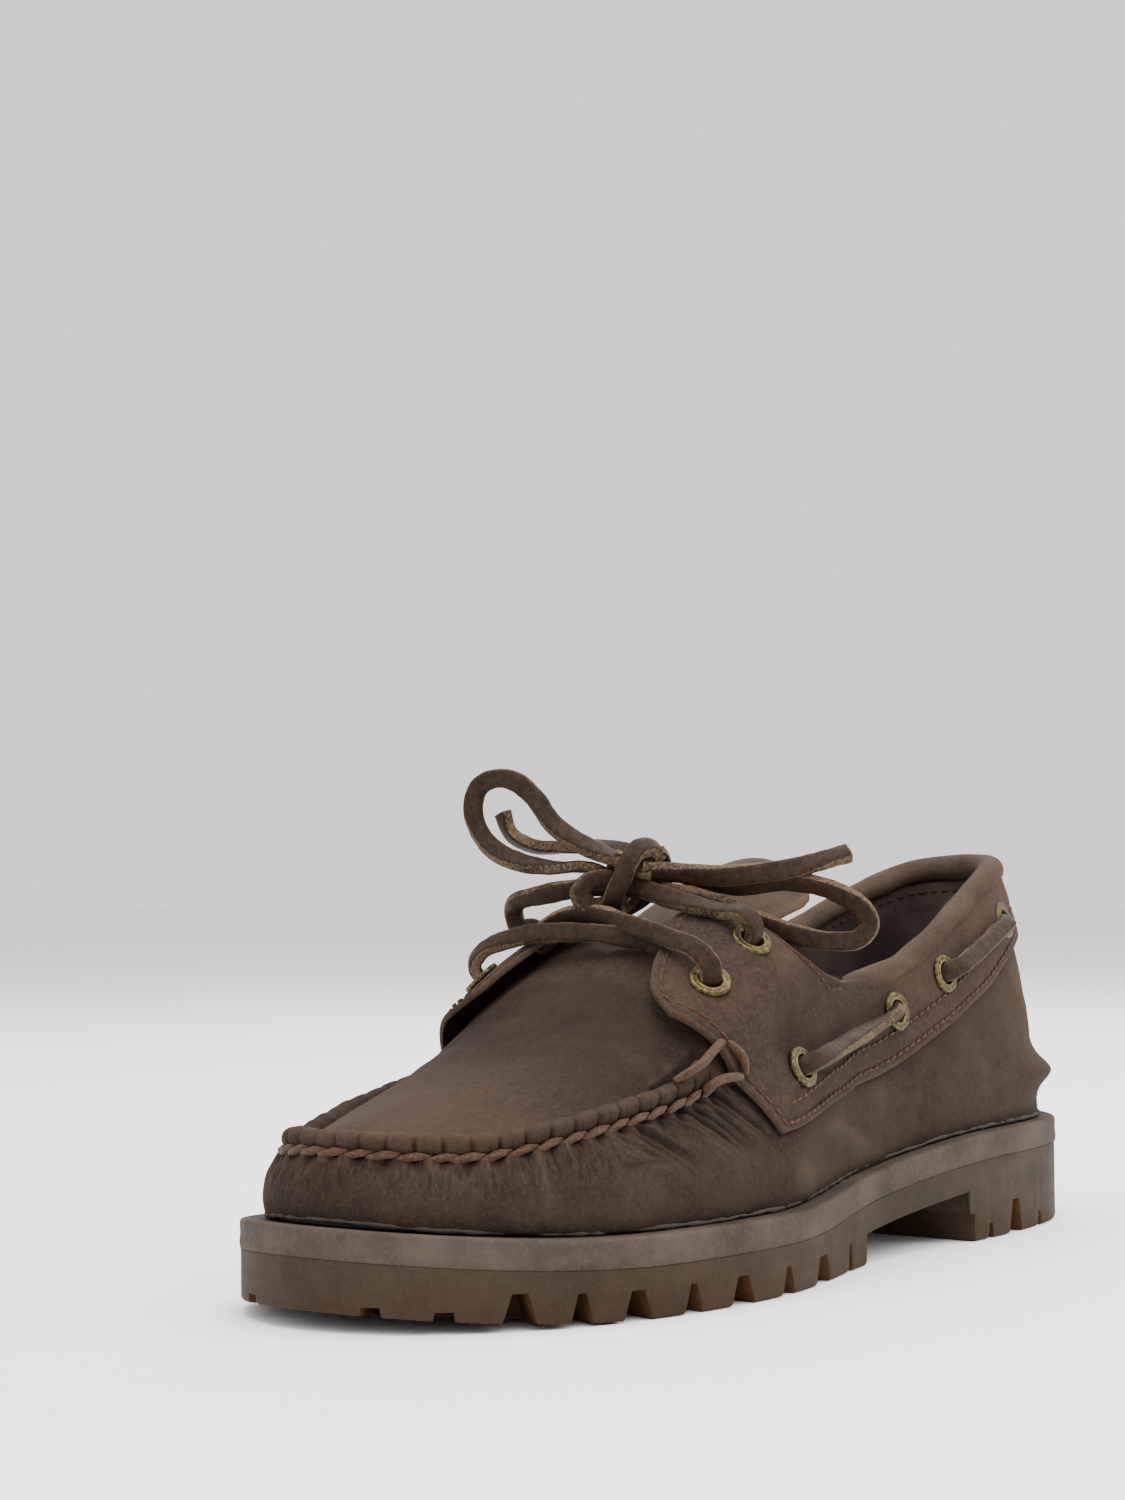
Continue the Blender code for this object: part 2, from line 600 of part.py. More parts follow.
def upper_places(rings):
    """How far up its rib each point of each column lies, with the share of the seam ridge that the column has."""
    outline = around(OUTLINE_POINTS, rings)
    station = np.clip(station_of(outline[:, 0]), 0, 1)
    foot, top = skin(rings, 1.0), skin(rings, 2.0)
    span = np.linalg.norm((top - foot)[:, :2], axis=1)
    edge = np.where(spine_station_of(rings) >= THROAT_TIP - 1e-4, 2.0, free_edge(station))
    ridge = [1 + (RIDGE_WIDTH * share / span) ** (1 / RIB_EASE) for share in (0.26, 0.52, 0.76, 1.0)]
    start = ridge[-1]
    front = [np.full(len(rings), row) for row in WALL_ROWS] + ridge
    front += [start + (2.0 - start) * (row - 0.25) / 0.75 for row in TOP_ROWS]
    front = np.array(front)
    front = np.where(front > 1, 1 + (front - 1) * (edge - 1), front)
    even = np.linspace(0, 1, len(front))[:, None] * edge
    rear = smooth_step((0.62 - station) / 0.14)
    ridge_share = smooth_step((station - RIDGE_START) / RIDGE_RAMP)
    return front * (1 - rear) + even * rear, ridge_share


def ridge_moves(rings, base, share):
    """How far the seam ridge stands off the skin at each of its rows."""
    inward = around(OUTLINE_INWARD, rings)
    seam = base[len(WALL_ROWS) - 1]
    wanted = (
        (0.0008, 0.0),
        (-0.0004, RIDGE_HEIGHT * 0.35),
        (0.0002, RIDGE_HEIGHT * 0.92),
        (RIDGE_WIDTH * 0.55, RIDGE_HEIGHT),
        (RIDGE_WIDTH * 0.88, RIDGE_HEIGHT * 0.55),
    )
    moved = base.copy()
    for step, (inset, rise) in enumerate(wanted):
        row = len(WALL_ROWS) - 1 + step
        target = seam.copy()
        target[:, :2] += inward * inset
        target[:, 2] += rise
        moved[row] += (target - base[row]) * share[:, None]
    return moved


def make_upper(material):
    """The upper: a hollow wall that rises to the moccasin seam or the collar, with the plug inside the seam."""
    rings, half = upper_columns()
    count = len(rings)
    places, share = upper_places(rings)
    rows = len(places)
    base = skin(rings[None, :], places)
    index = np.arange(rows * count).reshape(rows, count)
    for i in range(REAR_COLUMNS, half):
        index[rows - 1, count - i] = index[rows - 1, i]
    faces = []
    for row in range(rows - 1):
        for i in range(count):
            j = (i + 1) % count
            faces.append((index[row, i], index[row, j], index[row + 1, j], index[row + 1, i]))
    points = base.reshape(-1, 3)
    normals = np.zeros_like(points)
    for face in faces:
        a, b, c, d = (points[k] for k in face)
        spread = np.cross(d - b, c - a)
        for k in face:
            normals[k] += spread
    normals /= np.maximum(np.linalg.norm(normals, axis=1, keepdims=True), 1e-12)
    inner = points - normals * WALL
    inner[:count, 2] = points[:count, 2]
    outer = ridge_moves(rings, base, share).reshape(-1, 3)
    shift = rows * count
    shell = list(faces) + [tuple(k + shift for k in reversed(face)) for face in faces]
    for i in range(count):
        j = (i + 1) % count
        shell.append((index[0, j], index[0, i], index[0, i] + shift, index[0, j] + shift))
        rear = i < REAR_COLUMNS or i >= count - REAR_COLUMNS
        if rear:
            top = rows - 1
            shell.append((index[top, i], index[top, j], index[top, j] + shift, index[top, i] + shift))
    used = sorted({k for face in shell for k in face})
    renumber = {k: n for n, k in enumerate(used)}
    every = np.vstack([outer, inner])
    return new_object("upper", every[used], [tuple(renumber[k] for k in face) for face in shell], material)


def panel_rib_curves():
    """The panel's rib table from its outer front edge round the heel to its inner one, as smooth curves."""
    ribs = []
    for side, rows in ((LATERAL, PANEL_RIBS), (MEDIAL, PANEL_RIBS[::-1])):
        for low_station, low_place, top_station, top_place in rows:
            low, top = float(ring_of(low_station, side)), float(ring_of(top_station, side))
            turn = 1 if side == MEDIAL else 0
            ribs.append((low - turn, low_place, top - turn, top_place))
    ribs = np.array(ribs)
    run = np.r_[0, np.cumsum(np.abs(np.diff(ribs[:, 2])) + np.abs(np.diff(ribs[:, 0])) + 0.004)]
    run /= run[-1]
    return [smooth_table(run, ribs[:, k]) for k in range(4)]


PANEL_COLUMNS = 64
PANEL_ROWS = 7


def make_panel(material):
    """The side panel: eyestays and collar band in one strip, lying on the upper."""
    low_ring, low_place, top_ring, top_place = panel_rib_curves()
    along = np.linspace(0, 1, PANEL_COLUMNS)[:, None]
    across = np.linspace(0, 1, PANEL_ROWS)[None, :]
    ring = low_ring(along) * (1 - across) + top_ring(along) * across
    place = low_place(along) * (1 - across) + top_place(along) * across
    under = panel_face(ring, place, 0.0).reshape(-1, 3)
    over = panel_face(ring, place, PANEL_THICKNESS).reshape(-1, 3)
    size = PANEL_COLUMNS * PANEL_ROWS
    index = np.arange(size).reshape(PANEL_COLUMNS, PANEL_ROWS)
    faces = []
    for i in range(PANEL_COLUMNS - 1):
        for j in range(PANEL_ROWS - 1):
            face = (index[i, j], index[i + 1, j], index[i + 1, j + 1], index[i, j + 1])
            faces += [face, tuple(k + size for k in reversed(face))]
    rim = list(index[:, 0]) + list(index[-1, 1:]) + list(index[-2::-1, -1]) + list(index[0, -2:0:-1])
    for a, b in zip(rim, rim[1:] + rim[:1]):
        faces.append((a, b, b + size, a + size))
    return new_object("side_panel", np.vstack([under, over]), faces, material)


def tube_mesh(path, radius, sides=8):
    """Points and faces of a closed round tube along a path, with a frame carried smoothly from end to end."""
    path = np.asarray(path, float)
    ahead = np.gradient(path, axis=0)
    ahead /= np.linalg.norm(ahead, axis=1, keepdims=True)
    side = np.cross(ahead[0], (0.0, 0.0, 1.0))
    if np.linalg.norm(side) < 0.1:
        side = np.cross(ahead[0], (1.0, 0.0, 0.0))
    points = []
    for place, direction in zip(path, ahead):
        side = side - direction * np.dot(side, direction)
        side /= np.linalg.norm(side)
        other = np.cross(direction, side)
        for k in range(sides):
            angle = 2 * math.pi * k / sides
            points.append(place + radius * (side * math.cos(angle) + other * math.sin(angle)))
    faces = []
    for i in range(len(path) - 1):
        for k in range(sides):
            m = (k + 1) % sides
            faces.append((i * sides + k, i * sides + m, (i + 1) * sides + m, (i + 1) * sides + k))
    last = (len(path) - 1) * sides
    faces += [tuple(range(sides))[::-1], tuple(last + k for k in range(sides))]
    return points, faces


def smooth_route(knots, spacing):
    """Points at an even spacing along a smooth curve through a route's own points."""
    knots = np.asarray(knots, float)
    run = np.r_[0, np.cumsum(np.linalg.norm(np.diff(knots, axis=0), axis=1))]
    fine = np.linspace(0, run[-1], 400)
    curve = np.column_stack([smooth_table(run, knots[:, k])(fine) for k in range(3)])
    length = np.r_[0, np.cumsum(np.linalg.norm(np.diff(curve, axis=0), axis=1))]
    count = max(int(round(length[-1] / spacing)) + 1, 3)
    even = np.linspace(0, length[-1], count)
    return np.column_stack([np.interp(even, length, curve[:, k]) for k in range(3)])


def make_collar_roll(material):
    """The padded roll inside the collar, from one notch round the heel to the other."""
    start, end = float(ring_of(COLLAR_NOTCH - 0.02, LATERAL)), float(ring_of(COLLAR_NOTCH - 0.02, MEDIAL)) - 1
    rings = np.linspace(start, end, 32)
    radius = COLLAR_ROLL / 2
    path = skin_offset(rings, np.full(len(rings), 0.955), -(WALL + GAP + radius))
    return new_object("collar_roll", *tube_mesh(path, radius), material)


# Tongue. Columns: station as a share of LENGTH, half width as a share of TONGUE_HALF_WIDTH, height of its
# middle above the upper's inner face as a share of the rise that brings its tip to TONGUE_TIP_HEIGHT.
TONGUE_SECTIONS = (
    (0.690, 0.62, 0.00), (0.665, 0.80, 0.00), (0.635, 0.92, 0.00), (0.600, 0.98, 0.00), (0.565, 1.00, 0.03),
    (0.530, 1.00, 0.20), (0.495, 1.00, 0.48), (0.465, 0.98, 0.76), (0.442, 0.94, 0.93), (0.428, 0.84, 0.98),
    (0.421, 0.66, 1.00),
)
TONGUE_COLUMNS = 9


def height_lookup(surface):
    """Height of a surface, given as a grid of points, as a function of X and Y."""
    cloud = surface.reshape(-1, 3)

    def height(x, y):
        distance = np.hypot(cloud[:, 0] - x, cloud[:, 1] - y)
        nearest = np.argsort(distance)[:4]
        weight = 1 / (distance[nearest] + 1e-6)
        return float(np.sum(weight * cloud[nearest, 2]) / np.sum(weight))

    return height


def make_tongue(material):
    """The tongue: a leather strip under the eyestays that rises out of the throat."""
    rings, places = np.linspace(0, 1, 900, endpoint=False), np.linspace(1.02, 2.0, 70)
    under = height_lookup(skin_offset(rings[:, None], places[None, :], -(WALL + 4 * GAP)))
    tip_x = SOLE_BACK + TONGUE_SECTIONS[-1][0] * LENGTH
    tip_rise = TONGUE_TIP_HEIGHT - under(tip_x, float(middle_of(tip_x)))
    points = []
    for layer in (0.0, TONGUE_THICKNESS):
        for station, half, rise in TONGUE_SECTIONS:
            x = SOLE_BACK + station * LENGTH
            middle = float(middle_of(x))
            for t in np.linspace(-1, 1, TONGUE_COLUMNS):
                reach = t * half * TONGUE_HALF_WIDTH
                free = under(x, middle) - TONGUE_ARCH * (reach / TONGUE_HALF_WIDTH) ** 2
                top = under(x, middle + reach) * (1 - rise) + free * rise + rise * tip_rise
                points.append((x, middle + reach, top - layer))
    rows = len(TONGUE_SECTIONS)
    size = rows * TONGUE_COLUMNS
    index = np.arange(size).reshape(rows, TONGUE_COLUMNS)
    faces = []
    for i in range(rows - 1):
        for j in range(TONGUE_COLUMNS - 1):
            face = (index[i, j], index[i + 1, j], index[i + 1, j + 1], index[i, j + 1])
            faces += [face, tuple(k + size for k in reversed(face))]
    rim = list(index[:, 0]) + list(index[-1, 1:]) + list(index[-2::-1, -1]) + list(index[0, -2:0:-1])
    for a, b in zip(rim, rim[1:] + rim[:1]):
        faces.append((a, b, b + size, a + size))
    return new_object("tongue", points, faces, material)


def eyelet_frame(side, station, place):
    """Matrix that stands on the panel's outer face at an eyelet, with its Z axis pointing out."""
    ring = float(ring_of(station, side))
    if side == MEDIAL:
        ring -= 1
    origin = panel_face(ring, place, PANEL_THICKNESS)
    out = Vector(skin_normal(ring, place))
    frame = out.to_track_quat("Z", "X").to_matrix().to_4x4()
    frame.translation = Vector(origin)
    return frame


def turned(profile, sides):
    """Points and faces of a profile of radius and height pairs turned about Z."""
    points = []
    for k in range(sides):
        angle = 2 * math.pi * k / sides
        points += [(r * math.cos(angle), r * math.sin(angle), z) for r, z in profile]
    size = len(profile)
    faces = []
    for k in range(sides):
        m = (k + 1) % sides
        for i in range(size):
            j = (i + 1) % size
            faces.append((k * size + i, m * size + i, m * size + j, k * size + j))
    return points, faces


def prism(radius, low, high, sides):
    """Points and faces of a prism about Z."""
    points = []
    for z in (low, high):
        for k in range(sides):
            angle = 2 * math.pi * k / sides
            points.append((radius * math.cos(angle), radius * math.sin(angle), z))
    faces = [tuple(range(sides))[::-1], tuple(sides + k for k in range(sides))]
    for k in range(sides):
        m = (k + 1) % sides
        faces.append((k, m, sides + m, sides + k))
    return points, faces


EYELET_SIDES = 9


def make_eyelets(panel, upper, material):
    """The twelve eyelets: a flange on the panel with a barrel through panel and upper."""
    bore, rim = EYELET_BORE / 2, EYELET_DIAMETER / 2
    barrel = bore + EYELET_WALL
    depth = PANEL_THICKNESS + GAP + WALL * 0.6
    profile = (
        (bore, -depth), (barrel, -depth), (barrel, GAP), (rim, GAP), (rim * 0.80, GAP + EYELET_FLANGE),
        (bore, GAP + EYELET_FLANGE * 0.5),
    )
    holes = []
    for name, side, station, place in EYELETS:
        frame = eyelet_frame(side, station, place)
        eyelet = new_object("eyelet_" + name, *turned(profile, EYELET_SIDES), material)
        eyelet.matrix_world = frame
        points, faces = prism(barrel + BARREL_GAP, -0.008, 0.004, EYELET_SIDES)
        holes.append(([frame @ Vector(p) for p in points], faces))
    cutter = new_object("eyelet_hole_cutter", *joined(holes), None)
    cut(panel, cutter)
    cut(upper, cutter)


# Path of a lace that comes up out of an eyelet and bends over. Columns: way along the panel, height above it.
LACE_EXIT = ((0.0, -0.0010), (0.0, 0.0012), (0.0004, 0.0029), (0.0019, 0.0043), (0.0044, 0.0048))
LACE_OVER = 0.0044
LACE_SPACING = 0.0040
CORD_SPACING = 0.0062

# Routes of the lace's centre between eyelets and knot: X, Y and height above INSTEP_HEIGHT.
CROSSING_FROM_LATERAL = (
    (0.0469, 0.0240, 0.0052), (0.0431, 0.0080, 0.0085), (0.0395, -0.0060, 0.0106),
    (0.0404, -0.0160, 0.0093),
)
CROSSING_FROM_MEDIAL = (
    (0.0472, -0.0255, 0.0048), (0.0466, -0.0130, 0.0062), (0.0434, 0.0040, 0.0055),
    (0.0410, 0.0140, 0.0038),
)
RISERS = (
    (0.0318, -0.0384, 0.0106), (0.0352, -0.0345, 0.0136), (0.0365, -0.0260, 0.0154),
    (0.0355, -0.0160, 0.0170), (0.0325, -0.0060, 0.0180), (0.0300, 0.0000, 0.0176), (0.0310, 0.0090, 0.0156),
    (0.0315, 0.0180, 0.0136), (0.0288, 0.0270, 0.0114),
)
CORDS = {
    "lace_knot": (
        (0.0255, 0.0052, 0.0250), (0.0280, 0.0044, 0.0276), (0.0315, 0.0032, 0.0272), (0.0343, 0.0020, 0.0240),
        (0.0358, 0.0010, 0.0200), (0.0362, -0.0010, 0.0160), (0.0346, -0.0033, 0.0128), (0.0310, -0.0044, 0.0112),
        (0.0270, -0.0038, 0.0120),
    ),
    "lace_loop_medial": (
        (0.0295, -0.0045, 0.0242), (0.0334, -0.0142, 0.0287), (0.0354, -0.0218, 0.0339), (0.0368, -0.0273, 0.0413),
        (0.0380, -0.0320, 0.0450), (0.0392, -0.0367, 0.0461), (0.0405, -0.0418, 0.0444), (0.0411, -0.0441, 0.0392),
        (0.0408, -0.0430, 0.0334), (0.0398, -0.0392, 0.0282), (0.0380, -0.0322, 0.0244), (0.0354, -0.0220, 0.0226),
        (0.0325, -0.0130, 0.0226), (0.0290, -0.0083, 0.0204),
    ),
    "lace_loop_lateral": (
        (0.0215, 0.0020, 0.0213), (0.0104, 0.0182, 0.0173), (0.0024, 0.0316, 0.0184), (-0.0020, 0.0415, 0.0154),
        (-0.0050, 0.0466, 0.0115), (-0.0059, 0.0482, 0.0075), (-0.0046, 0.0460, 0.0040), (-0.0010, 0.0405, 0.0032),
        (0.0050, 0.0318, 0.0052), (0.0115, 0.0230, 0.0096), (0.0182, 0.0112, 0.0150), (0.0225, 0.0035, 0.0167),
    ),
    "lace_end_short": (
        (0.0250, -0.0025, 0.0258), (0.0275, -0.0125, 0.0277), (0.0304, -0.0225, 0.0279), (0.0324, -0.0310, 0.0282),
        (0.0344, -0.0373, 0.0320), (0.0347, -0.0393, 0.0370),
    ),
    "lace_end_long": (
        (0.0303, 0.0036, 0.0220), (0.0202, 0.0190, 0.0204), (0.0066, 0.0312, 0.0217), (-0.0070, 0.0413, 0.0257),
    ),
}


def over_instep(route):
    """Points of a lace's route, from their heights above the instep."""
    return [(x, y, INSTEP_HEIGHT + rise) for x, y, rise in route]


def eyelet_place(name):
    """Side, station and place of an eyelet."""
    return next(row[1:] for row in EYELETS if row[0] == name)


def lace_exit(name, toward):
    """Centre of a lace from inside an eyelet until it lies over the panel, on its way towards a point."""
    frame = eyelet_frame(*eyelet_place(name))
    out, origin = np.array(frame.col[2][:3]), np.array(frame.translation)
    along = np.asarray(toward) - origin
    along -= out * np.dot(along, out)
    along /= np.linalg.norm(along)
    return [tuple(origin + along * way + out * height) for way, height in LACE_EXIT]


def lace_tube(route):
    """Points and faces of a round lace along a route."""
    return tube_mesh(smooth_route(route, LACE_SPACING), LACE_DIAMETER / 2)


def make_crossings(material):
    """The two laces that cross over the throat, joined where one lies on the other."""
    from_lateral, from_medial = over_instep(CROSSING_FROM_LATERAL), over_instep(CROSSING_FROM_MEDIAL)
    first = lace_exit("front_lateral", from_lateral[0]) + from_lateral
    second = lace_exit("front_medial", from_medial[0]) + from_medial
    crossing = new_object("lace_crossing", *lace_tube(first), material)
    other = new_object("lace_crossing_other", *lace_tube(second), None)
    cut(crossing, other)
    crossing.modifiers[other.name].operation = "UNION"


def make_risers(material):
    """The lace that rises from the two rear eyelets and passes through the knot."""
    risers = over_instep(RISERS)
    route = lace_exit("rear_medial", risers[0]) + risers + lace_exit("rear_lateral", risers[-1])[::-1]
    new_object("lace_risers", *lace_tube(route), material)


def make_side_lace(name, first, second, material):
    """A lace on the outside of the panel between two eyelets."""
    side, station, place = eyelet_place(first)
    _, far_station, far_place = eyelet_place(second)
    stations = np.linspace(station, far_station, 9)[1:-1]
    places = np.linspace(place, far_place, 9)[1:-1]
    turn = 1 if side == MEDIAL else 0
    over = [
        panel_face(float(ring_of(s, side)) - turn, p, PANEL_THICKNESS + LACE_OVER) for s, p in zip(stations, places)
    ]
    route = lace_exit(first, over[0]) + [tuple(p) for p in over] + lace_exit(second, over[-1])[::-1]
    new_object(name, *lace_tube(route), material)


def make_cord(name, route, material):
    """A loose part of the lace as a round cord."""
    curve = bpy.data.curves.new(name, "CURVE")
    curve.dimensions = "3D"
    curve.bevel_depth = LACE_DIAMETER / 2
    curve.bevel_resolution = 2
    curve.use_fill_caps = True
    points = smooth_route(over_instep(route), CORD_SPACING)
    spline = curve.splines.new("POLY")
    spline.points.add(len(points) - 1)
    for point, place in zip(spline.points, points):
        point.co = (*place, 1.0)
    curve.materials.append(material)
    bpy.context.scene.collection.objects.link(bpy.data.objects.new(name, curve))


def make_laces(material):
    """The leather lace: crossings, risers, side laces and the bow."""
    make_crossings(material)
    make_risers(material)
    for side in ("lateral", "medial"):
        make_side_lace("lace_side_front_" + side, "side_1_" + side, "side_2_" + side, material)
        make_side_lace("lace_side_rear_" + side, "side_3_" + side, "side_4_" + side, material)
    for name, route in CORDS.items():
        make_cord(name, route, material)


def clear_scene():
    """Empties the scene."""
    for obj in list(bpy.data.objects):
        bpy.data.objects.remove(obj, do_unlink=True)


def main():
    """Builds the shoe."""
    clear_scene()
    gum = new_material("gum_rubber", (0.115, 0.075, 0.045), 0.45)
    band_rubber = new_material("band_rubber", (0.125, 0.105, 0.095), 0.55)
    nubuck = new_material("brown_nubuck", (0.060, 0.038, 0.026), 0.85)
    lining = new_material("dark_lining", (0.030, 0.020, 0.016), 0.80)
    lace_leather = new_material("lace_leather", (0.085, 0.060, 0.045), 0.75)
    brass = new_material("antique_brass", (0.30, 0.23, 0.10), 0.40, 1.0)
    make_outsole(gum)
    make_band(band_rubber)
    make_insole(lining)
    upper = make_upper(nubuck)
    panel = make_panel(nubuck)
    make_collar_roll(nubuck)
    make_tongue(nubuck)
    make_eyelets(panel, upper, brass)
    make_laces(lace_leather)


main()
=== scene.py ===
"""Visual model of a leather boat shoe for the left foot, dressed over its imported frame.

The shoe is built on one last: a function of two parameters that gives the outer skin of the upper. Each
sub-assembly is a class that holds its sizes, works out its surfaces from the last and gives them a finish.
Lengths are in metres, the toe points along +X, the outer side of the foot along +Y, and the floor is at Z = 0.
"""

from __future__ import annotations

import json
import logging
import math
from dataclasses import dataclass, field
from enum import Enum

import bmesh
import bpy
import numpy as np
from mathutils import Matrix, Vector

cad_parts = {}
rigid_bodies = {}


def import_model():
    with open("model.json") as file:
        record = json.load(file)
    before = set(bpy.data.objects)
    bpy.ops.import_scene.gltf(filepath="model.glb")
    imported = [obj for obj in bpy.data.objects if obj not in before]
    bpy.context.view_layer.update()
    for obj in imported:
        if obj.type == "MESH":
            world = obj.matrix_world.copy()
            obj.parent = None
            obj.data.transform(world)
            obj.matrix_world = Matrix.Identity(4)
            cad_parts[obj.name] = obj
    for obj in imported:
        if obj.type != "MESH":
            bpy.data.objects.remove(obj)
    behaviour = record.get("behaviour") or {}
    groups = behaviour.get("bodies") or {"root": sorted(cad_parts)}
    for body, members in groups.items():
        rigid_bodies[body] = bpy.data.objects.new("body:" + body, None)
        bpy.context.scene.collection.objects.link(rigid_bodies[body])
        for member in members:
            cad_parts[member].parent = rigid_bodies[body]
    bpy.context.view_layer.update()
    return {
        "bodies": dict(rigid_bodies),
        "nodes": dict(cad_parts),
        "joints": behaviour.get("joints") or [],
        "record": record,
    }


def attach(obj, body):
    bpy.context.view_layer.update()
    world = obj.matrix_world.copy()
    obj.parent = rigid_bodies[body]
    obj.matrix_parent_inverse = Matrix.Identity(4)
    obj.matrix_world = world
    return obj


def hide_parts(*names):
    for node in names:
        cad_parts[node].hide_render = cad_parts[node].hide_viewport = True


log = logging.getLogger("boat_shoe")

Array = np.ndarray
MM = 0.001


class Side(Enum):
    """Side of the foot, with the sign of its Y."""

    LATERAL = 1
    MEDIAL = -1

    @property
    def label(self) -> str:
        """The side's name as the frame's nodes spell it."""
        return self.name.lower()


# Numbers and curves


def smooth_step(t: Array | float) -> Array:
    """0 below 0, 1 above 1, and a smooth rise between: three t squared less two t cubed.

    Args:
        t: Where to read the step.

    Returns:
        The step's value.
    """
    t = np.clip(t, 0, 1)
    return t * t * (3 - 2 * t)


def bell(t: Array | float) -> Array:
    """A bell of height 1 and width 1: e to the power of minus t squared.

    Args:
        t: Distance from the middle in widths.

    Returns:
        The bell's value.
    """
    return np.exp(-np.square(t))


@dataclass
class Curve:
    """A smooth curve through a table: cubic Hermite pieces whose slopes come from neighbouring rows."""

    at: Array
    values: Array

    def __post_init__(self) -> None:
        """Works out the slope at each row."""
        self.at = np.asarray(self.at, float)
        self.values = np.asarray(self.values, float)
        self.slopes = np.gradient(self.values, self.at, axis=0)

    def __call__(self, t: Array | float) -> Array:
        """Reads the curve.

        Args:
            t: Where to read it, held inside the table.

        Returns:
            The value there.
        """
        t = np.clip(t, self.at[0], self.at[-1])
        i = np.clip(np.searchsorted(self.at, t, side="right") - 1, 0, len(self.at) - 2)
        step = self.at[i + 1] - self.at[i]
        u = (t - self.at[i]) / step
        if self.values.ndim > 1:
            step, u = step[..., None], u[..., None]
        start = (1 + 2 * u) * (1 - u) ** 2 * self.values[i] + u * (1 - u) ** 2 * step * self.slopes[i]
        end = u**2 * (3 - 2 * u) * self.values[i + 1] + u**2 * (u - 1) * step * self.slopes[i + 1]
        return start + end


def lengths_along(path: Array) -> Array:
    """Distance run at each point of a path.

    Args:
        path: Points in order.

    Returns:
        One distance a point, from 0.
    """
    return np.r_[0, np.cumsum(np.linalg.norm(np.diff(path, axis=0), axis=1))]


def even_points(path: Array, spacing: float) -> Array:
    """A path read again at an even spacing.

    Args:
        path: Points in order, close together.
        spacing: Distance between the new points, nearly.

    Returns:
        The new points, both ends among them.
    """
    run = lengths_along(path)
    count = max(int(round(run[-1] / spacing)) + 1, 3)
    at = np.linspace(0, run[-1], count)
    return np.column_stack([np.interp(at, run, path[:, k]) for k in range(path.shape[1])])


def smooth_route(knots: Array, spacing: float) -> Array:
    """Points at an even spacing on the smooth curve through a route's own points.

    Args:
        knots: The route's points.
        spacing: Distance between the new points.

    Returns:
        The new points.
    """
    knots = np.asarray(knots, float)
    run = lengths_along(knots)
    return even_points(Curve(run, knots)(np.linspace(0, run[-1], 600)), spacing)


def lattice_noise(points: Array, size: float, seed: int) -> Array:
    """Smooth noise from -1 to 1: random values on a lattice, blended by a smooth step along each axis.

    Args:
        points: Places as (..., 3).
        size: Spacing of the lattice.
        seed: Number that picks the random values.

    Returns:
        One value a place.
    """
    table = np.random.default_rng(seed).uniform(-1, 1, 4096)
    q = np.asarray(points, float) / size
    base = np.floor(q).astype(np.int64)
    part = smooth_step(q - base)
    total = np.zeros(q.shape[:-1])
    for corner in range(8):
        step = np.array([corner & 1, corner >> 1 & 1, corner >> 2 & 1])
        cell = base + step
        key = (cell[..., 0] * 73856093 ^ cell[..., 1] * 19349663 ^ cell[..., 2] * 83492791) % 4096
        total += table[key] * np.prod(np.where(step == 1, part, 1 - part), axis=-1)
    return total


def line_noise(at: Array, size: float, seed: int) -> Array:
    """Smooth noise from -1 to 1 along one line.

    Args:
        at: Places on the line.
        size: Spacing of the lattice.
        seed: Number that picks the random values.

    Returns:
        One value a place.
    """
    at = np.asarray(at, float)
    return lattice_noise(np.stack([at, 0 * at, 0 * at], axis=-1), size, seed)


# Meshes


def add_mesh(name: str, points: Array, faces: Array | list, smooth_angle: float = 40.0) -> bpy.types.Object:
    """A mesh object at the origin, shaded smooth up to an angle.

    Args:
        name: The object's name.
        points: Vertices as (n, 3).
        faces: Faces as (m, k), or a list of tuples.
        smooth_angle: Angle in degrees above which an edge is sharp.

    Returns:
        The new object.
    """
    mesh = bpy.data.meshes.new(name)
    if isinstance(faces, np.ndarray):
        faces = faces.tolist()
    mesh.from_pydata(np.asarray(points, float).tolist(), [], faces)
    mesh.validate()
    mesh.shade_smooth()
    mesh.set_sharp_from_angle(angle=math.radians(smooth_angle))
    obj = bpy.data.objects.new(name, mesh)
    bpy.context.scene.collection.objects.link(obj)
    return obj


def face_outwards(obj: bpy.types.Object) -> bpy.types.Object:
    """Turns a closed mesh's faces outwards.

    Args:
        obj: The object.

    Returns:
        The same object.
    """
    work = bmesh.new()
    work.from_mesh(obj.data)
    bmesh.ops.recalc_face_normals(work, faces=work.faces)
    work.to_mesh(obj.data)
    work.free()
    obj.data.update()
    return obj


def set_attribute(obj: bpy.types.Object, name: str, values: Array) -> None:
    """Stores one number a vertex, for a material to read.

    Args:
        obj: The object.
        name: The attribute's name.
        values: One value a vertex.
    """
    attribute = obj.data.attributes.new(name, "FLOAT", "POINT")
    attribute.data.foreach_set("value", np.asarray(values, np.float32).ravel())


def grid_faces(rows: int, columns: int, round_rows: bool = False, round_columns: bool = False) -> Array:
    """Quads of a grid whose vertices are numbered row by row.

    Args:
        rows: Number of rows.
        columns: Number of columns.
        round_rows: Whether the last row joins the first.
        round_columns: Whether the last column joins the first.

    Returns:
        Quads as (m, 4).
    """
    i = np.arange(rows if round_rows else rows - 1)[:, None]
    j = np.arange(columns if round_columns else columns - 1)[None, :]
    i, j = np.broadcast_arrays(i, j)
    up, across = (i + 1) % rows, (j + 1) % columns
    quads = np.stack([i * columns + j, i * columns + across, up * columns + across, up * columns + j], axis=-1)
    return quads.reshape(-1, 4)


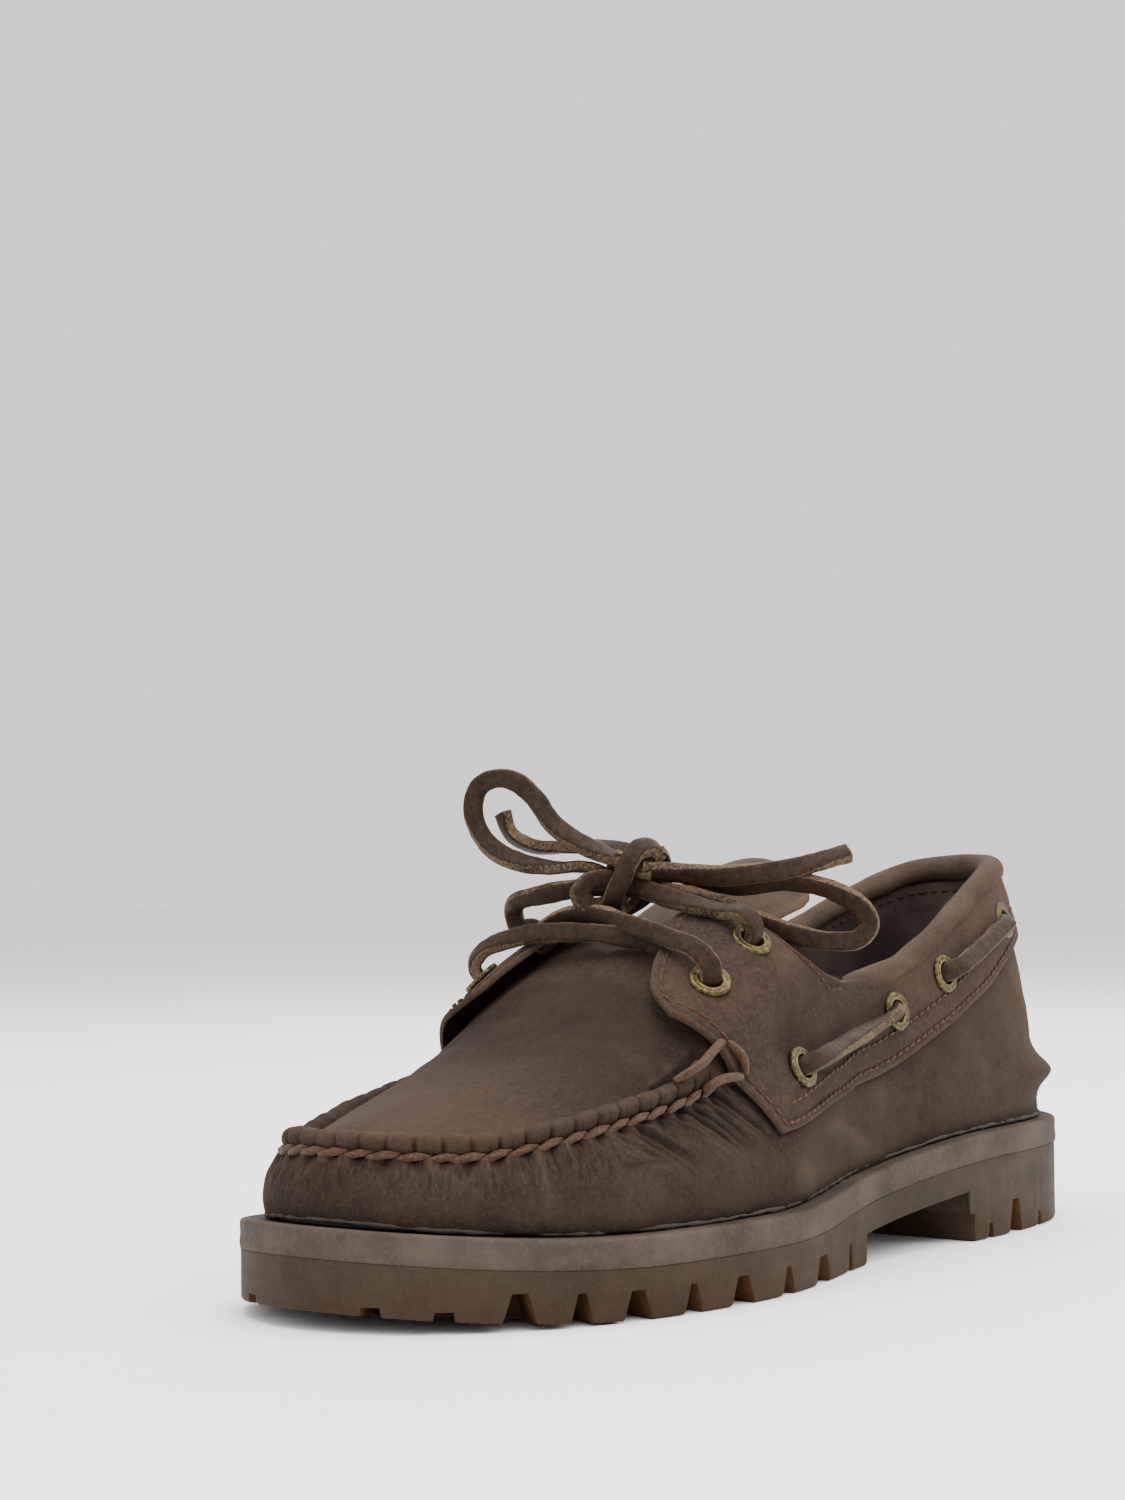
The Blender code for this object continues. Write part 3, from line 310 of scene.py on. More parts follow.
def frames_along(path: Array, start: Array | None = None, closed: bool = False) -> tuple[Array, Array, Array]:
    """Directions carried along a path without turning about it.

    Args:
        path: Points in order.
        start: Direction that the first side vector leans to.
        closed: Whether the path is a loop.

    Returns:
        Unit vectors ahead, sideways and across, one each a point.
    """
    if closed:
        ahead = np.roll(path, -1, 0) - np.roll(path, 1, 0)
    else:
        ahead = np.gradient(path, axis=0)
    ahead = ahead / np.linalg.norm(ahead, axis=1, keepdims=True)
    side = np.empty_like(path)
    lean = np.asarray((0.0, 0.0, 1.0) if start is None else start, float)
    for i, direction in enumerate(ahead):
        lean = lean - direction * np.dot(lean, direction)
        size = np.linalg.norm(lean)
        lean = lean / size if size > 1e-6 else np.cross(direction, (1.0, 0.0, 0.0))
        side[i] = lean
    return ahead, side, np.cross(ahead, side)


def tube(name: str, path: Array, radius: float | Array, sides: int = 12) -> bpy.types.Object:
    """A round tube along a path: each ring is the path's point plus radius times cosine and sine of an angle.

    Args:
        name: The object's name.
        path: Points in order.
        radius: One radius, or one a point.
        sides: Number of points round.

    Returns:
        The new object, with closed ends.
    """
    _, side, across = frames_along(path)
    angle = np.linspace(0, 2 * math.pi, sides, endpoint=False)
    size = np.broadcast_to(np.asarray(radius, float), (len(path),))[:, None, None]
    ring = np.cos(angle)[None, :, None] * side[:, None] + np.sin(angle)[None, :, None] * across[:, None]
    points = path[:, None] + size * ring
    faces = grid_faces(len(path), sides, round_columns=True).tolist()
    last = (len(path) - 1) * sides
    faces += [tuple(range(sides))[::-1], tuple(range(last, last + sides))]
    return face_outwards(add_mesh(name, points.reshape(-1, 3), faces))


def repeated(name: str, shape: Array, faces: Array, frames: Array, places: Array) -> bpy.types.Object:
    """One shape placed many times in a single mesh, as whole arrays.

    Args:
        name: The object's name.
        shape: Vertices of the shape as (n, 3).
        faces: Its faces as (m, k).
        frames: Its axes at each place as the rows of (p, 3, 3).
        places: Where it goes as (p, 3).

    Returns:
        The new object.
    """
    points = np.einsum("nk,pkd->pnd", shape, frames) + places[:, None]
    shift = np.arange(len(places))[:, None, None] * len(shape)
    return add_mesh(name, points.reshape(-1, 3), (faces[None] + shift).reshape(-1, faces.shape[1]), 60)


# Materials


def linear(colour: str, alpha: float = 1.0) -> tuple[float, float, float, float]:
    """A colour given as sRGB hex digits, as linear values.

    Args:
        colour: Six hex digits with or without a hash.
        alpha: Opacity.

    Returns:
        Red, green, blue and alpha.
    """
    digits = colour.lstrip("#")
    out = []
    for i in (0, 2, 4):
        c = int(digits[i : i + 2], 16) / 255
        out.append(c / 12.92 if c <= 0.04045 else ((c + 0.055) / 1.055) ** 2.4)
    return (*out, alpha)


@dataclass
class NodeTree:
    """A material's nodes, with one way to add a node."""

    name: str

    def __post_init__(self) -> None:
        """Makes the material and finds its shader."""
        self.material = bpy.data.materials.new(self.name)
        self.material.use_nodes = True
        self.tree = self.material.node_tree
        self.shader = self.tree.nodes["Principled BSDF"]

    def add(self, kind: str, inputs: dict | None = None, **settings) -> bpy.types.Node:
        """Adds a node, with its settings and what goes into its sockets.

        Args:
            kind: Blender's name for the node's type, without ShaderNode.
            inputs: Socket name or number to a value, or to a (node, socket) pair that is linked to it.
            **settings: Properties of the node.

        Returns:
            The new node.
        """
        node = self.tree.nodes.new("ShaderNode" + kind)
        for key, value in settings.items():
            setattr(node, key, value)
        for socket, value in (inputs or {}).items():
            self.feed(node, socket, value)
        return node

    def feed(self, node: bpy.types.Node, socket: str | int, value) -> None:
        """Sets a socket to a value, or links another node's output to it.

        Args:
            node: The node whose socket is meant.
            socket: The input's name or number.
            value: A value, or a (node, output) pair.
        """
        if isinstance(value, tuple) and value and isinstance(value[0], bpy.types.Node):
            self.tree.links.new(value[0].outputs[value[1]], node.inputs[socket])
        else:
            node.inputs[socket].default_value = value

    def noise(self, size_mm: float, detail: float = 2.0, roughness: float = 0.5, stretch=(1, 1, 1)) -> tuple:
        """Noise whose lumps have a real size, read from Object coordinates.

        Args:
            size_mm: Size of a lump in millimetres.
            detail: Finer layers on it.
            roughness: Strength of the finer layers.
            stretch: How much denser it is along each axis.

        Returns:
            The node and its output's name.
        """
        place = self.add("TexCoord")
        turned = self.add("Mapping", {"Vector": (place, "Object"), "Scale": stretch})
        inputs = {"Vector": (turned, "Vector"), "Scale": 1000.0 / size_mm, "Detail": detail, "Roughness": roughness}
        return self.add("TexNoise", inputs), "Fac"

    def ramp(self, source: tuple, stops: list[tuple[float, tuple]]) -> tuple:
        """A colour ramp over a value.

        Args:
            source: The (node, output) pair that is read.
            stops: Positions with their colours.

        Returns:
            The node and its output's name.
        """
        node = self.add("ValToRGB", {"Fac": source})
        ramp = node.color_ramp
        while len(ramp.elements) < len(stops):
            ramp.elements.new(0.5)
        for element, (position, colour) in zip(ramp.elements, stops):
            element.position = position
            element.color = colour
        return node, "Color"

    def mix(self, share, first, second, blend: str = "MIX") -> tuple:
        """Two colours mixed.

        Args:
            share: Share of the second, a number or a (node, output) pair.
            first: The first colour or pair.
            second: The second colour or pair.
            blend: How they are mixed.

        Returns:
            The node and its output's number.
        """
        node = self.add("Mix", {0: share, 6: first, 7: second}, data_type="RGBA", blend_type=blend)
        return node, 2

    def math(self, operation: str, first, second=0.0, third=0.0) -> tuple:
        """One step of arithmetic.

        Args:
            operation: Blender's name for it.
            first: The first number or pair.
            second: The second number or pair.
            third: The third number or pair.

        Returns:
            The node and its output's number.
        """
        return self.add("Math", {0: first, 1: second, 2: third}, operation=operation), 0

    def attribute(self, name: str) -> tuple:
        """A number stored on the mesh.

        Args:
            name: The attribute's name.

        Returns:
            The node and its output's name.
        """
        return self.add("Attribute", attribute_name=name), "Fac"

    def bump(self, height: tuple, depth_mm: float, before: tuple | None = None) -> tuple:
        """A bump whose full height has a real size.

        Args:
            height: The (node, output) pair that is read as height.
            depth_mm: Height of the bump in millimetres.
            before: A bump that this one lies on.

        Returns:
            The node and its output's name.
        """
        inputs = {"Height": height, "Distance": depth_mm * MM, "Strength": 1.0}
        if before:
            inputs["Normal"] = before
        return self.add("Bump", inputs), "Normal"


# Finishes


@dataclass(frozen=True)
class Nubuck:
    """Oiled nubuck, buffed so that its nap scatters light, rubbed lighter where it is worn, with painted highlight and
    painted shade from the mesh's values.
    """

    name: str
    deep: str
    middle: str
    worn: str
    sheen: float = 0.03

    def material(self) -> bpy.types.Material:
        """Mixes the leather's tones by noise and by the mesh's wear and shade values, over a fine nap.

        Returns:
            The material.
        """
        nodes = NodeTree(self.name)
        # Fine creases that run up the wall, drawn together at the stitches
        across = nodes.math("MULTIPLY", nodes.attribute("run"), 1000 / 1.25)
        down = nodes.math("MULTIPLY", nodes.attribute("drop"), 1000 / 11)
        laid = nodes.add("CombineXYZ", {0: across, 1: down})
        lines = nodes.add("TexNoise", {"Vector": (laid, 0), "Scale": 1.0, "Detail": 2.0, "Roughness": 0.6})
        valley = nodes.ramp((lines, 0), [(0.40, (1, 1, 1, 1)), (0.48, (0, 0, 0, 1))])
        # Cloudy tone of the hide
        cloud = nodes.noise(26, 3, 0.55)
        tone = nodes.ramp(cloud, [(0.36, linear(self.deep)), (0.64, linear(self.middle))])
        # Brushed streaks of the nap
        streak = nodes.noise(5.5, 4, 0.7, (0.45, 1.6, 1.1))
        brushed = nodes.mix(nodes.math("MULTIPLY", streak, 0.40), tone, linear(self.worn))
        # Rubbed edges and raised folds, broken up by fine noise; the wear value also carries painted highlight on the
        # heel and the plug's front
        fine = nodes.noise(1.3, 4, 0.75)
        brushed = nodes.mix(nodes.math("MULTIPLY_ADD", fine, 1.2, -0.48), brushed, linear(self.worn))
        worn = nodes.math("MULTIPLY", nodes.attribute("wear"), nodes.math("MULTIPLY_ADD", fine, 1.3, 0.15))
        rubbed = nodes.mix(nodes.math("MINIMUM", worn, 0.92), brushed, linear(self.worn))
        # Pale specks of dry suede fibre
        speck = nodes.math("GREATER_THAN", nodes.noise(0.65, 2, 0.6), 0.685)
        specked = nodes.mix(nodes.math("MULTIPLY", speck, 0.55), rubbed, linear(self.worn))
        # Painted shade, darker by the mesh's shade value in folds, creases, hollows, under edges and at the foot of the
        # wall
        shaded = nodes.mix(nodes.attribute("shade"), specked, linear("#211A17"), "MULTIPLY")
        dark = nodes.mix(nodes.math("MULTIPLY", nodes.attribute("shade"), 0.72), specked, shaded)
        # Painted shade in the valleys of the fine creases
        crease_painted_shade = nodes.math("MULTIPLY", nodes.math("MULTIPLY", valley, nodes.attribute("crease")), 0.42)
        nodes.feed(nodes.shader, "Base Color", nodes.mix(crease_painted_shade, dark, linear("#120E0C")))
        rough = nodes.math("MULTIPLY_ADD", fine, 0.22, 0.70)
        nodes.feed(nodes.shader, "Roughness", rough)
        nodes.feed(nodes.shader, "Specular IOR Level", 0.06)
        nodes.feed(nodes.shader, "Sheen Weight", self.sheen)
        nodes.feed(nodes.shader, "Sheen Roughness", 0.42)
        nodes.feed(nodes.shader, "Sheen Tint", linear("#A8865F"))
        creased = nodes.math("MULTIPLY", (lines, 0), nodes.attribute("crease"))
        grain = nodes.bump(nodes.noise(2.6, 3, 0.6), 0.16, nodes.bump(creased, 1.1))
        nap = nodes.bump(nodes.noise(0.55, 3, 0.7), 0.12, grain)
        nodes.feed(nodes.shader, "Normal", nap)
        return nodes.material


@dataclass(frozen=True)
class Lining:
    """Smooth pigskin lining, dark with dull rubbed patches and open pores."""

    name: str = "lining_leather_smooth"
    dark: str = "#3A302D"
    rubbed: str = "#54473F"

    def material(self) -> bpy.types.Material:
        """Mixes two tones by noise over a bump of pores.

        Returns:
            The material.
        """
        nodes = NodeTree(self.name)
        patch = nodes.noise(18, 4, 0.6)
        tone = nodes.ramp(patch, [(0.40, linear(self.dark)), (0.72, linear(self.rubbed))])
        nodes.feed(nodes.shader, "Base Color", tone)
        nodes.feed(nodes.shader, "Roughness", nodes.math("MULTIPLY_ADD", patch, 0.3, 0.40))
        nodes.feed(nodes.shader, "Specular IOR Level", 0.35)
        place = nodes.add("TexCoord")
        pores = nodes.add("TexVoronoi", {"Vector": (place, "Object"), "Scale": 1000 / 1.1})
        nodes.feed(nodes.shader, "Normal", nodes.bump((pores, "Distance"), 0.07))
        return nodes.material


@dataclass(frozen=True)
class Thread:
    """Waxed thread, laid up from strands, with light fibres on its high side."""

    name: str
    dark: str
    light: str
    strand_mm: float

    def material(self) -> bpy.types.Material:
        """Mixes two tones by noise as fine as the thread's strands.

        Returns:
            The material.
        """
        nodes = NodeTree(self.name)
        strand = nodes.noise(self.strand_mm, 3, 0.7)
        tone = nodes.ramp(strand, [(0.35, linear(self.dark)), (0.66, linear(self.light))])
        nodes.feed(nodes.shader, "Base Color", tone)
        nodes.feed(nodes.shader, "Roughness", 0.62)
        nodes.feed(nodes.shader, "Sheen Weight", 0.05)
        nodes.feed(nodes.shader, "Specular IOR Level", 0.15)
        nodes.feed(nodes.shader, "Normal", nodes.bump(strand, self.strand_mm * 0.12))
        return nodes.material


@dataclass(frozen=True)
class Rubber:
    """Moulded rubber with a stippled skin, and dust that settles in the stipple."""

    name: str
    base: str
    dusty: str
    dark: str
    stipple_mm: float
    depth_mm: float
    roughness: float
    clear: float = 0.0
    low: str = ""
    low_height: float = 0.016

    def material(self) -> bpy.types.Material:
        """Mixes base, dust and grime by noise, turns amber near the floor, and adds the stipple.

        Returns:
            The material.
        """
        nodes = NodeTree(self.name)
        cloud = nodes.noise(22, 4, 0.6)
        tone = nodes.ramp(cloud, [(0.34, linear(self.base)), (0.70, linear(self.dusty))])
        if self.low:
            # Cleaner, warmer rubber towards the tread
            place = nodes.add("TexCoord")
            split = nodes.add("SeparateXYZ", {0: (place, "Object")})
            height = nodes.math("MULTIPLY_ADD", (split, 2), -1 / self.low_height, 1.0)
            ragged = nodes.math("MULTIPLY", nodes.math("MAXIMUM", height, 0.0), nodes.noise(7, 3, 0.6))
            tone = nodes.mix(nodes.math("MINIMUM", nodes.math("MULTIPLY", ragged, 1.5), 1.0), tone, linear(self.low))
        smudge = nodes.noise(6.5, 4, 0.75, (0.5, 1, 1.6))
        tone = nodes.mix(nodes.math("MULTIPLY", smudge, 0.30), tone, linear(self.dark))
        stipple = nodes.noise(self.stipple_mm, 2, 0.5)
        tone = nodes.mix(nodes.math("MULTIPLY", nodes.math("GREATER_THAN", stipple, 0.58), 0.26), tone, linear(self.dusty))
        nodes.feed(nodes.shader, "Base Color", tone)
        nodes.feed(nodes.shader, "Roughness", nodes.math("MULTIPLY_ADD", smudge, 0.30, self.roughness))
        nodes.feed(nodes.shader, "Specular IOR Level", 0.07)
        nodes.feed(nodes.shader, "Subsurface Weight", self.clear)
        nodes.feed(nodes.shader, "Subsurface Radius", (0.004, 0.002, 0.001))
        nodes.feed(nodes.shader, "Subsurface Scale", 1.0)
        soft = nodes.bump(nodes.noise(3.5, 2, 0.5), 0.05)
        nodes.feed(nodes.shader, "Normal", nodes.bump(stipple, self.depth_mm, soft))
        return nodes.material


@dataclass(frozen=True)
class AgedBrass:
    """Cast brass with a brown patina, rubbed bright on its raised parts."""

    name: str = "brass_cast_antique"

    def material(self) -> bpy.types.Material:
        """Mixes patina and bare metal by noise and edge wear.

        Returns:
            The material.
        """
        nodes = NodeTree(self.name)
        fine = nodes.noise(1.0, 4, 0.7)
        bare = nodes.ramp(fine, [(0.42, linear("#2B2614")), (0.62, linear("#6A5F38"))])
        rubbed = nodes.mix(nodes.attribute("wear"), bare, linear("#7E7045"))
        nodes.feed(nodes.shader, "Base Color", rubbed)
        nodes.feed(nodes.shader, "Metallic", 0.85)
        nodes.feed(nodes.shader, "Roughness", nodes.math("MULTIPLY_ADD", fine, 0.35, 0.32))
        nodes.feed(nodes.shader, "Normal", nodes.bump(nodes.noise(0.6, 3, 0.6), 0.05))
        return nodes.material


@dataclass(frozen=True)
class LaceLeather:
    """Rawhide lace: a smooth waxed face with pale fuzzy cut edges."""

    name: str = "lace_rawhide_cut"

    def material(self) -> bpy.types.Material:
        """Mixes face and fibre by the mesh's wear value, broken up along the edge by noise.

        Returns:
            The material.
        """
        nodes = NodeTree(self.name)
        grain = nodes.noise(2.2, 4, 0.7)
        face = nodes.ramp(grain, [(0.34, linear("#211811")), (0.70, linear("#36281D"))])
        fibre = nodes.noise(0.8, 4, 0.8)
        suede = nodes.ramp(fibre, [(0.30, linear("#3A2F26")), (0.68, linear("#6C5A46"))])
        ragged = nodes.math("ADD", nodes.attribute("wear"), nodes.math("MULTIPLY_ADD", fibre, 1.5, -0.90))
        share = nodes.ramp(ragged, [(0.38, (0, 0, 0, 1)), (0.72, (1, 1, 1, 1))])
        nodes.feed(nodes.shader, "Base Color", nodes.mix(share, face, suede))
        rough = nodes.mix(share, (0.52, 0.52, 0.52, 1), (0.95, 0.95, 0.95, 1))
        nodes.feed(nodes.shader, "Roughness", rough)
        nodes.feed(nodes.shader, "Specular IOR Level", 0.07)
        nodes.feed(nodes.shader, "Sheen Weight", 0.04)
        nodes.feed(nodes.shader, "Sheen Tint", linear("#9A8058"))
        crease = nodes.bump(grain, 0.22)
        nodes.feed(nodes.shader, "Normal", nodes.bump(fibre, 0.16, crease))
        return nodes.material


@dataclass(frozen=True)
class Plain:
    """A matt paint, felt or foam of one colour with fine noise in it."""

    name: str
    colour: str
    roughness: float = 0.9
    lump_mm: float = 1.2
    depth_mm: float = 0.12
    mottle: float = 0.5

    def material(self) -> bpy.types.Material:
        """Gives the colour a little noise and a fine bump.

        Returns:
            The material.
        """
        nodes = NodeTree(self.name)
        fine = nodes.noise(self.lump_mm, 3, 0.7)
        shade = nodes.mix(nodes.math("MULTIPLY", fine, self.mottle), linear(self.colour), (0, 0, 0, 1))
        nodes.feed(nodes.shader, "Base Color", shade)
        nodes.feed(nodes.shader, "Roughness", self.roughness)
        nodes.feed(nodes.shader, "Normal", nodes.bump(fine, self.depth_mm))
        return nodes.material


@dataclass
class Finishes:
    """Every material of the shoe, each made once."""

    # Brown nubuck of wall and plug: dark, dull and dusty
    nubuck: bpy.types.Material = field(init=False)
    # The same hide on the panel, a shade lighter with rubbed cut edges
    panel: bpy.types.Material = field(init=False)
    # Dark smooth lining inside the shoe
    lining: bpy.types.Material = field(init=False)
    # Thick reddish moccasin thread
    seam_thread: bpy.types.Material = field(init=False)
    # Thin reddish thread of the panel
    fine_thread: bpy.types.Material = field(init=False)
    # Grey-brown band with a coarse stipple
    band: bpy.types.Material = field(init=False)
    # Brown outsole rubber, warmer towards the tread
    gum: bpy.types.Material = field(init=False)
    # Amber gum rubber inside notches and grooves
    amber: bpy.types.Material = field(init=False)
    # Bare metal rings
    brass: bpy.types.Material = field(init=False)
    # Lace with a dark face and pale edges
    lace: bpy.types.Material = field(init=False)
    # Dirt and lint in the joint between upper and band
    grime: bpy.types.Material = field(init=False)
    # Pale studio floor
    floor: bpy.types.Material = field(init=False)

    def __post_init__(self) -> None:
        """Makes the materials."""
        self.nubuck = Nubuck("leather_nubuck_oiled", "#191310", "#29201A", "#473A2F").material()
        self.panel = Nubuck("leather_nubuck_panel", "#1A1411", "#281F1A", "#514236").material()
        self.lining = Lining().material()
        self.seam_thread = Thread("thread_waxed_thick", "#26180E", "#4F3926", 0.5).material()
        self.fine_thread = Thread("thread_waxed_thin", "#2A160C", "#4F301D", 0.35).material()
        self.band = Rubber(
            "rubber_moulded_stippled", "#3B332C", "#53483F", "#29231E", 1.15, 0.42, 0.60
        ).material()
        self.gum = Rubber(
            "rubber_gum_moulded", "#302820", "#41372D", "#1E1914", 0.9, 0.08, 0.50, low="#3C2D1D"
        ).material()
        self.amber = Rubber(
            "rubber_gum_clear", "#3B2817", "#523B22", "#1E140A", 1.4, 0.05, 0.36, clear=0.2
        ).material()
        self.brass = AgedBrass().material()
        self.lace = LaceLeather().material()
        self.grime = Plain("lint_and_dust", "#3A3026", 0.95, 0.9, 0.3).material()
        self.floor = Plain("floor_matt_paint", "#F7F7F7", 0.85, 40, 0.0, 0.02).material()


# The last


@dataclass
class Last:
    """The form that the upper is drawn over, as a function of a place round the sole and a place up a rib.

    Places round the sole (ring) run from 0 at the heel along the outer side to the toe and back to 1. Places up
    a rib run from 0 at the foot of the wall over 1 at the moccasin seam or collar to 2 on the ridge line.
    """

    length: float = 0.300
    ball_width: float = 0.1126
    forefoot_top: float = 0.0190
    heel_top: float = 0.0290
    toe_spring: float = 0.0044
    wall_inset: float = 0.0180
    collar_height: float = 0.0735
    instep_height: float = 0.0800
    medial_seam_drop: float = 0.0020
    medial_collar_drop: float = 0.0020
    heel_kick: float = 0.0054
    heel_kick_height: float = 0.0130
    heel_kick_spread: float = 0.0045
    spine_setback: float = 0.0060
    toe_fan: float = 0.45
    rib_ease: float = 1.5
    panel_gap: float = 0.0008
    flap_lift: float = 0.0032
    gap: float = 0.0003
    count: int = 1800

    # Station from the heel as a share of the length, reach to the side as a share of the ball width
    OUTLINE = (
        (0.000, -0.012), (0.030, 0.185), (0.080, 0.277), (0.150, 0.325), (0.250, 0.352), (0.350, 0.353),
        (0.450, 0.369), (0.550, 0.442), (0.650, 0.496), (0.730, 0.494), (0.810, 0.461), (0.880, 0.396),
        (0.940, 0.287), (0.980, 0.164), (1.000, -0.056), (0.980, -0.234), (0.940, -0.349), (0.880, -0.429),
        (0.810, -0.482), (0.730, -0.500), (0.650, -0.482), (0.550, -0.420), (0.450, -0.358), (0.350, -0.331),
        (0.250, -0.336), (0.150, -0.340), (0.080, -0.296), (0.030, -0.198),
    )
    # Station, insets of the wall at four heights as shares of the wall inset, height of its edge
    WALL = (
        (0.000, 0.26, 0.42, 0.67, 1.00, 1.000), (0.060, 0.26, 0.40, 0.64, 1.00, 0.994),
        (0.120, 0.26, 0.37, 0.61, 0.97, 0.952), (0.170, 0.27, 0.35, 0.57, 0.90, 0.895),
        (0.230, 0.27, 0.32, 0.48, 0.77, 0.812), (0.290, 0.28, 0.30, 0.41, 0.63, 0.738),
        (0.340, 0.28, 0.27, 0.36, 0.56, 0.683), (0.400, 0.28, 0.25, 0.33, 0.52, 0.664),
        (0.457, 0.29, 0.23, 0.31, 0.50, 0.678), (0.500, 0.29, 0.22, 0.30, 0.53, 0.637),
        (0.550, 0.31, 0.22, 0.31, 0.58, 0.570), (0.600, 0.32, 0.22, 0.33, 0.64, 0.502),
        (0.655, 0.33, 0.23, 0.35, 0.67, 0.444), (0.690, 0.33, 0.24, 0.36, 0.67, 0.421),
        (0.733, 0.33, 0.24, 0.36, 0.67, 0.378), (0.800, 0.33, 0.25, 0.36, 0.66, 0.330),
        (0.867, 0.33, 0.26, 0.36, 0.64, 0.276), (0.933, 0.34, 0.29, 0.37, 0.60, 0.220),
        (1.000, 0.36, 0.32, 0.39, 0.56, 0.204),
    )
    # Station, rise of the ridge line, exponents of the crown across the foot
    SPINE = (
        (0.457, 1.350, 2.3, 0.43), (0.500, 1.339, 2.3, 0.43), (0.533, 1.290, 2.3, 0.43), (0.567, 1.235, 2.3, 0.44),
        (0.613, 1.110, 2.2, 0.48), (0.653, 0.970, 2.1, 0.60), (0.693, 0.790, 2.0, 0.80), (0.733, 0.615, 2.0, 1.00),
        (0.777, 0.468, 2.0, 1.05), (0.817, 0.355, 2.0, 1.00), (0.860, 0.252, 2.0, 1.00), (0.900, 0.165, 2.0, 1.00),
        (0.933, 0.092, 2.0, 1.00), (0.968, 0.040, 2.0, 1.00),
    )
    # Station and place up the rib of the upper's free edge
    FREE_EDGE = (
        (0.000, 1.00), (0.440, 1.00), (0.457, 1.01), (0.500, 1.12), (0.525, 1.25), (0.550, 1.40), (0.575, 1.58),
        (0.600, 1.71), (0.620, 1.78), (0.637, 1.86), (0.653, 2.00),
    )

    def __post_init__(self) -> None:
        """Draws the sole's outline and the curves through the tables."""
        self.back = -self.length / 2
        self.outline = self.closed_outline()
        tangent = np.roll(self.outline, -1, 0) - np.roll(self.outline, 1, 0)
        tangent /= np.linalg.norm(tangent, axis=1)[:, None]
        self.inward = np.column_stack([tangent[:, 1], -tangent[:, 0]])
        self.toe_index = int(np.argmax(self.outline[:, 0]))
        self.toe_ring = self.toe_index / self.count
        wall, spine = np.array(self.WALL), np.array(self.SPINE)
        self.insets = [Curve(wall[:, 0], wall[:, k] * self.wall_inset) for k in (1, 2, 3, 4)]
        self.edge_height = Curve(wall[:, 0], wall[:, 5] * self.collar_height)
        self.rise, self.power, self.root = (Curve(spine[:, 0], spine[:, k]) for k in (1, 2, 3))
        self.free_edge = Curve(*np.array(self.FREE_EDGE).T)
        tip = self.length / 2
        self.seam_tip = tip - float(self.insets[3](1.0))
        self.seam_tip_height = float(self.welt_top(tip)) + self.gap + float(self.edge_height(1.0))
        self.middle_line = self.side_points(0, np.linspace(0, 1, 200))

    def closed_outline(self) -> Array:
        """Closed cubic curve through the outline's knots, with slopes that keep its bend continuous.

        Returns:
            Evenly spaced points.
        """
        knots = np.array([(self.back + s * self.length, r * self.ball_width) for s, r in self.OUTLINE])
        ahead, behind = np.roll(knots, -1, 0), np.roll(knots, 1, 0)
        after = np.linalg.norm(ahead - knots, axis=1)
        before = np.roll(after, 1)
        matrix = np.diag(2 * (1 / before + 1 / after))
        for i in range(len(knots)):
            matrix[i, i - 1] += 1 / before[i]
            matrix[i, (i + 1) % len(knots)] += 1 / after[i]
        pull = 3 * ((knots - behind) / before[:, None] ** 2 + (ahead - knots) / after[:, None] ** 2)
        slopes = np.linalg.solve(matrix, pull)
        t = np.linspace(0, 1, 120, endpoint=False)[None, :, None]
        step = after[:, None, None]
        a, b, m, n = knots[:, None], ahead[:, None], slopes[:, None] * step, np.roll(slopes, -1, 0)[:, None] * step
        curve = (1 + 2 * t) * (1 - t) ** 2 * a + t * (1 - t) ** 2 * m + t**2 * (3 - 2 * t) * b + t**2 * (t - 1) * n
        closed = np.vstack([curve.reshape(-1, 2), curve[0, :1]])
        run = lengths_along(closed)
        even = np.linspace(0, run[-1], self.count, endpoint=False)
        return np.column_stack([np.interp(even, run, closed[:, k]) for k in range(2)])

    def around(self, values: Array, ring: Array | float) -> Array:
        """Values given round the outline, read at a place on the ring.

        Args:
            values: One pair a point of the outline.
            ring: Where to read them.

        Returns:
            The pairs there.
        """
        looped = np.vstack([values, values[:1]])
        at = np.mod(ring, 1) * self.count
        return np.stack([np.interp(at, np.arange(self.count + 1), looped[:, k]) for k in range(2)], axis=-1)

    def ring_of(self, station: Array | float, side: Side) -> Array:
        """Place on the ring of a station on one side of the foot.

        Args:
            station: Station as a share of the length.
            side: Side of the foot.

        Returns:
            Places on the ring, negative on the inner side so that both meet at the heel.
        """
        if side is Side.LATERAL:
            order = np.arange(self.toe_index + 1)
        else:
            order = np.arange(self.count, self.toe_index - 1, -1)
        xs = np.maximum.accumulate(self.outline[order % self.count, 0])
        ring = np.interp(self.back + np.asarray(station) * self.length, xs, order / self.count)
        return ring - (side is Side.MEDIAL)

    def station(self, x: Array | float) -> Array:
        """Station of an X as a share of the length.

        Args:
            x: Place along the foot.

        Returns:
            The station.
        """
        return (x - self.back) / self.length

    def ring_station(self, ring: Array | float) -> Array:
        """Station of a place on the ring.

        Args:
            ring: Place on the ring.

        Returns:
            The station, from 0 to 1.
        """
        return np.clip(self.station(self.around(self.outline, ring)[..., 0]), 0, 1)

    def tread_bottom(self, x: Array | float) -> Array:
        """Height of the tread above the floor: flat, then a parabola up to the toe.

        Args:
            x: Place along the foot.

        Returns:
            The height.
        """
        return self.toe_spring * np.clip((self.station(x) - 0.78) / 0.22, 0, 1) ** 2

    def welt_top(self, x: Array | float) -> Array:
        """Height of the band's top: a smooth step from forefoot to heel on the tread's own height.

        Args:
            x: Place along the foot.

        Returns:
            The height.
        """
        rise = smooth_step((0.62 - self.station(x)) / 0.42)
        return self.forefoot_top + (self.heel_top - self.forefoot_top) * rise + self.tread_bottom(x)

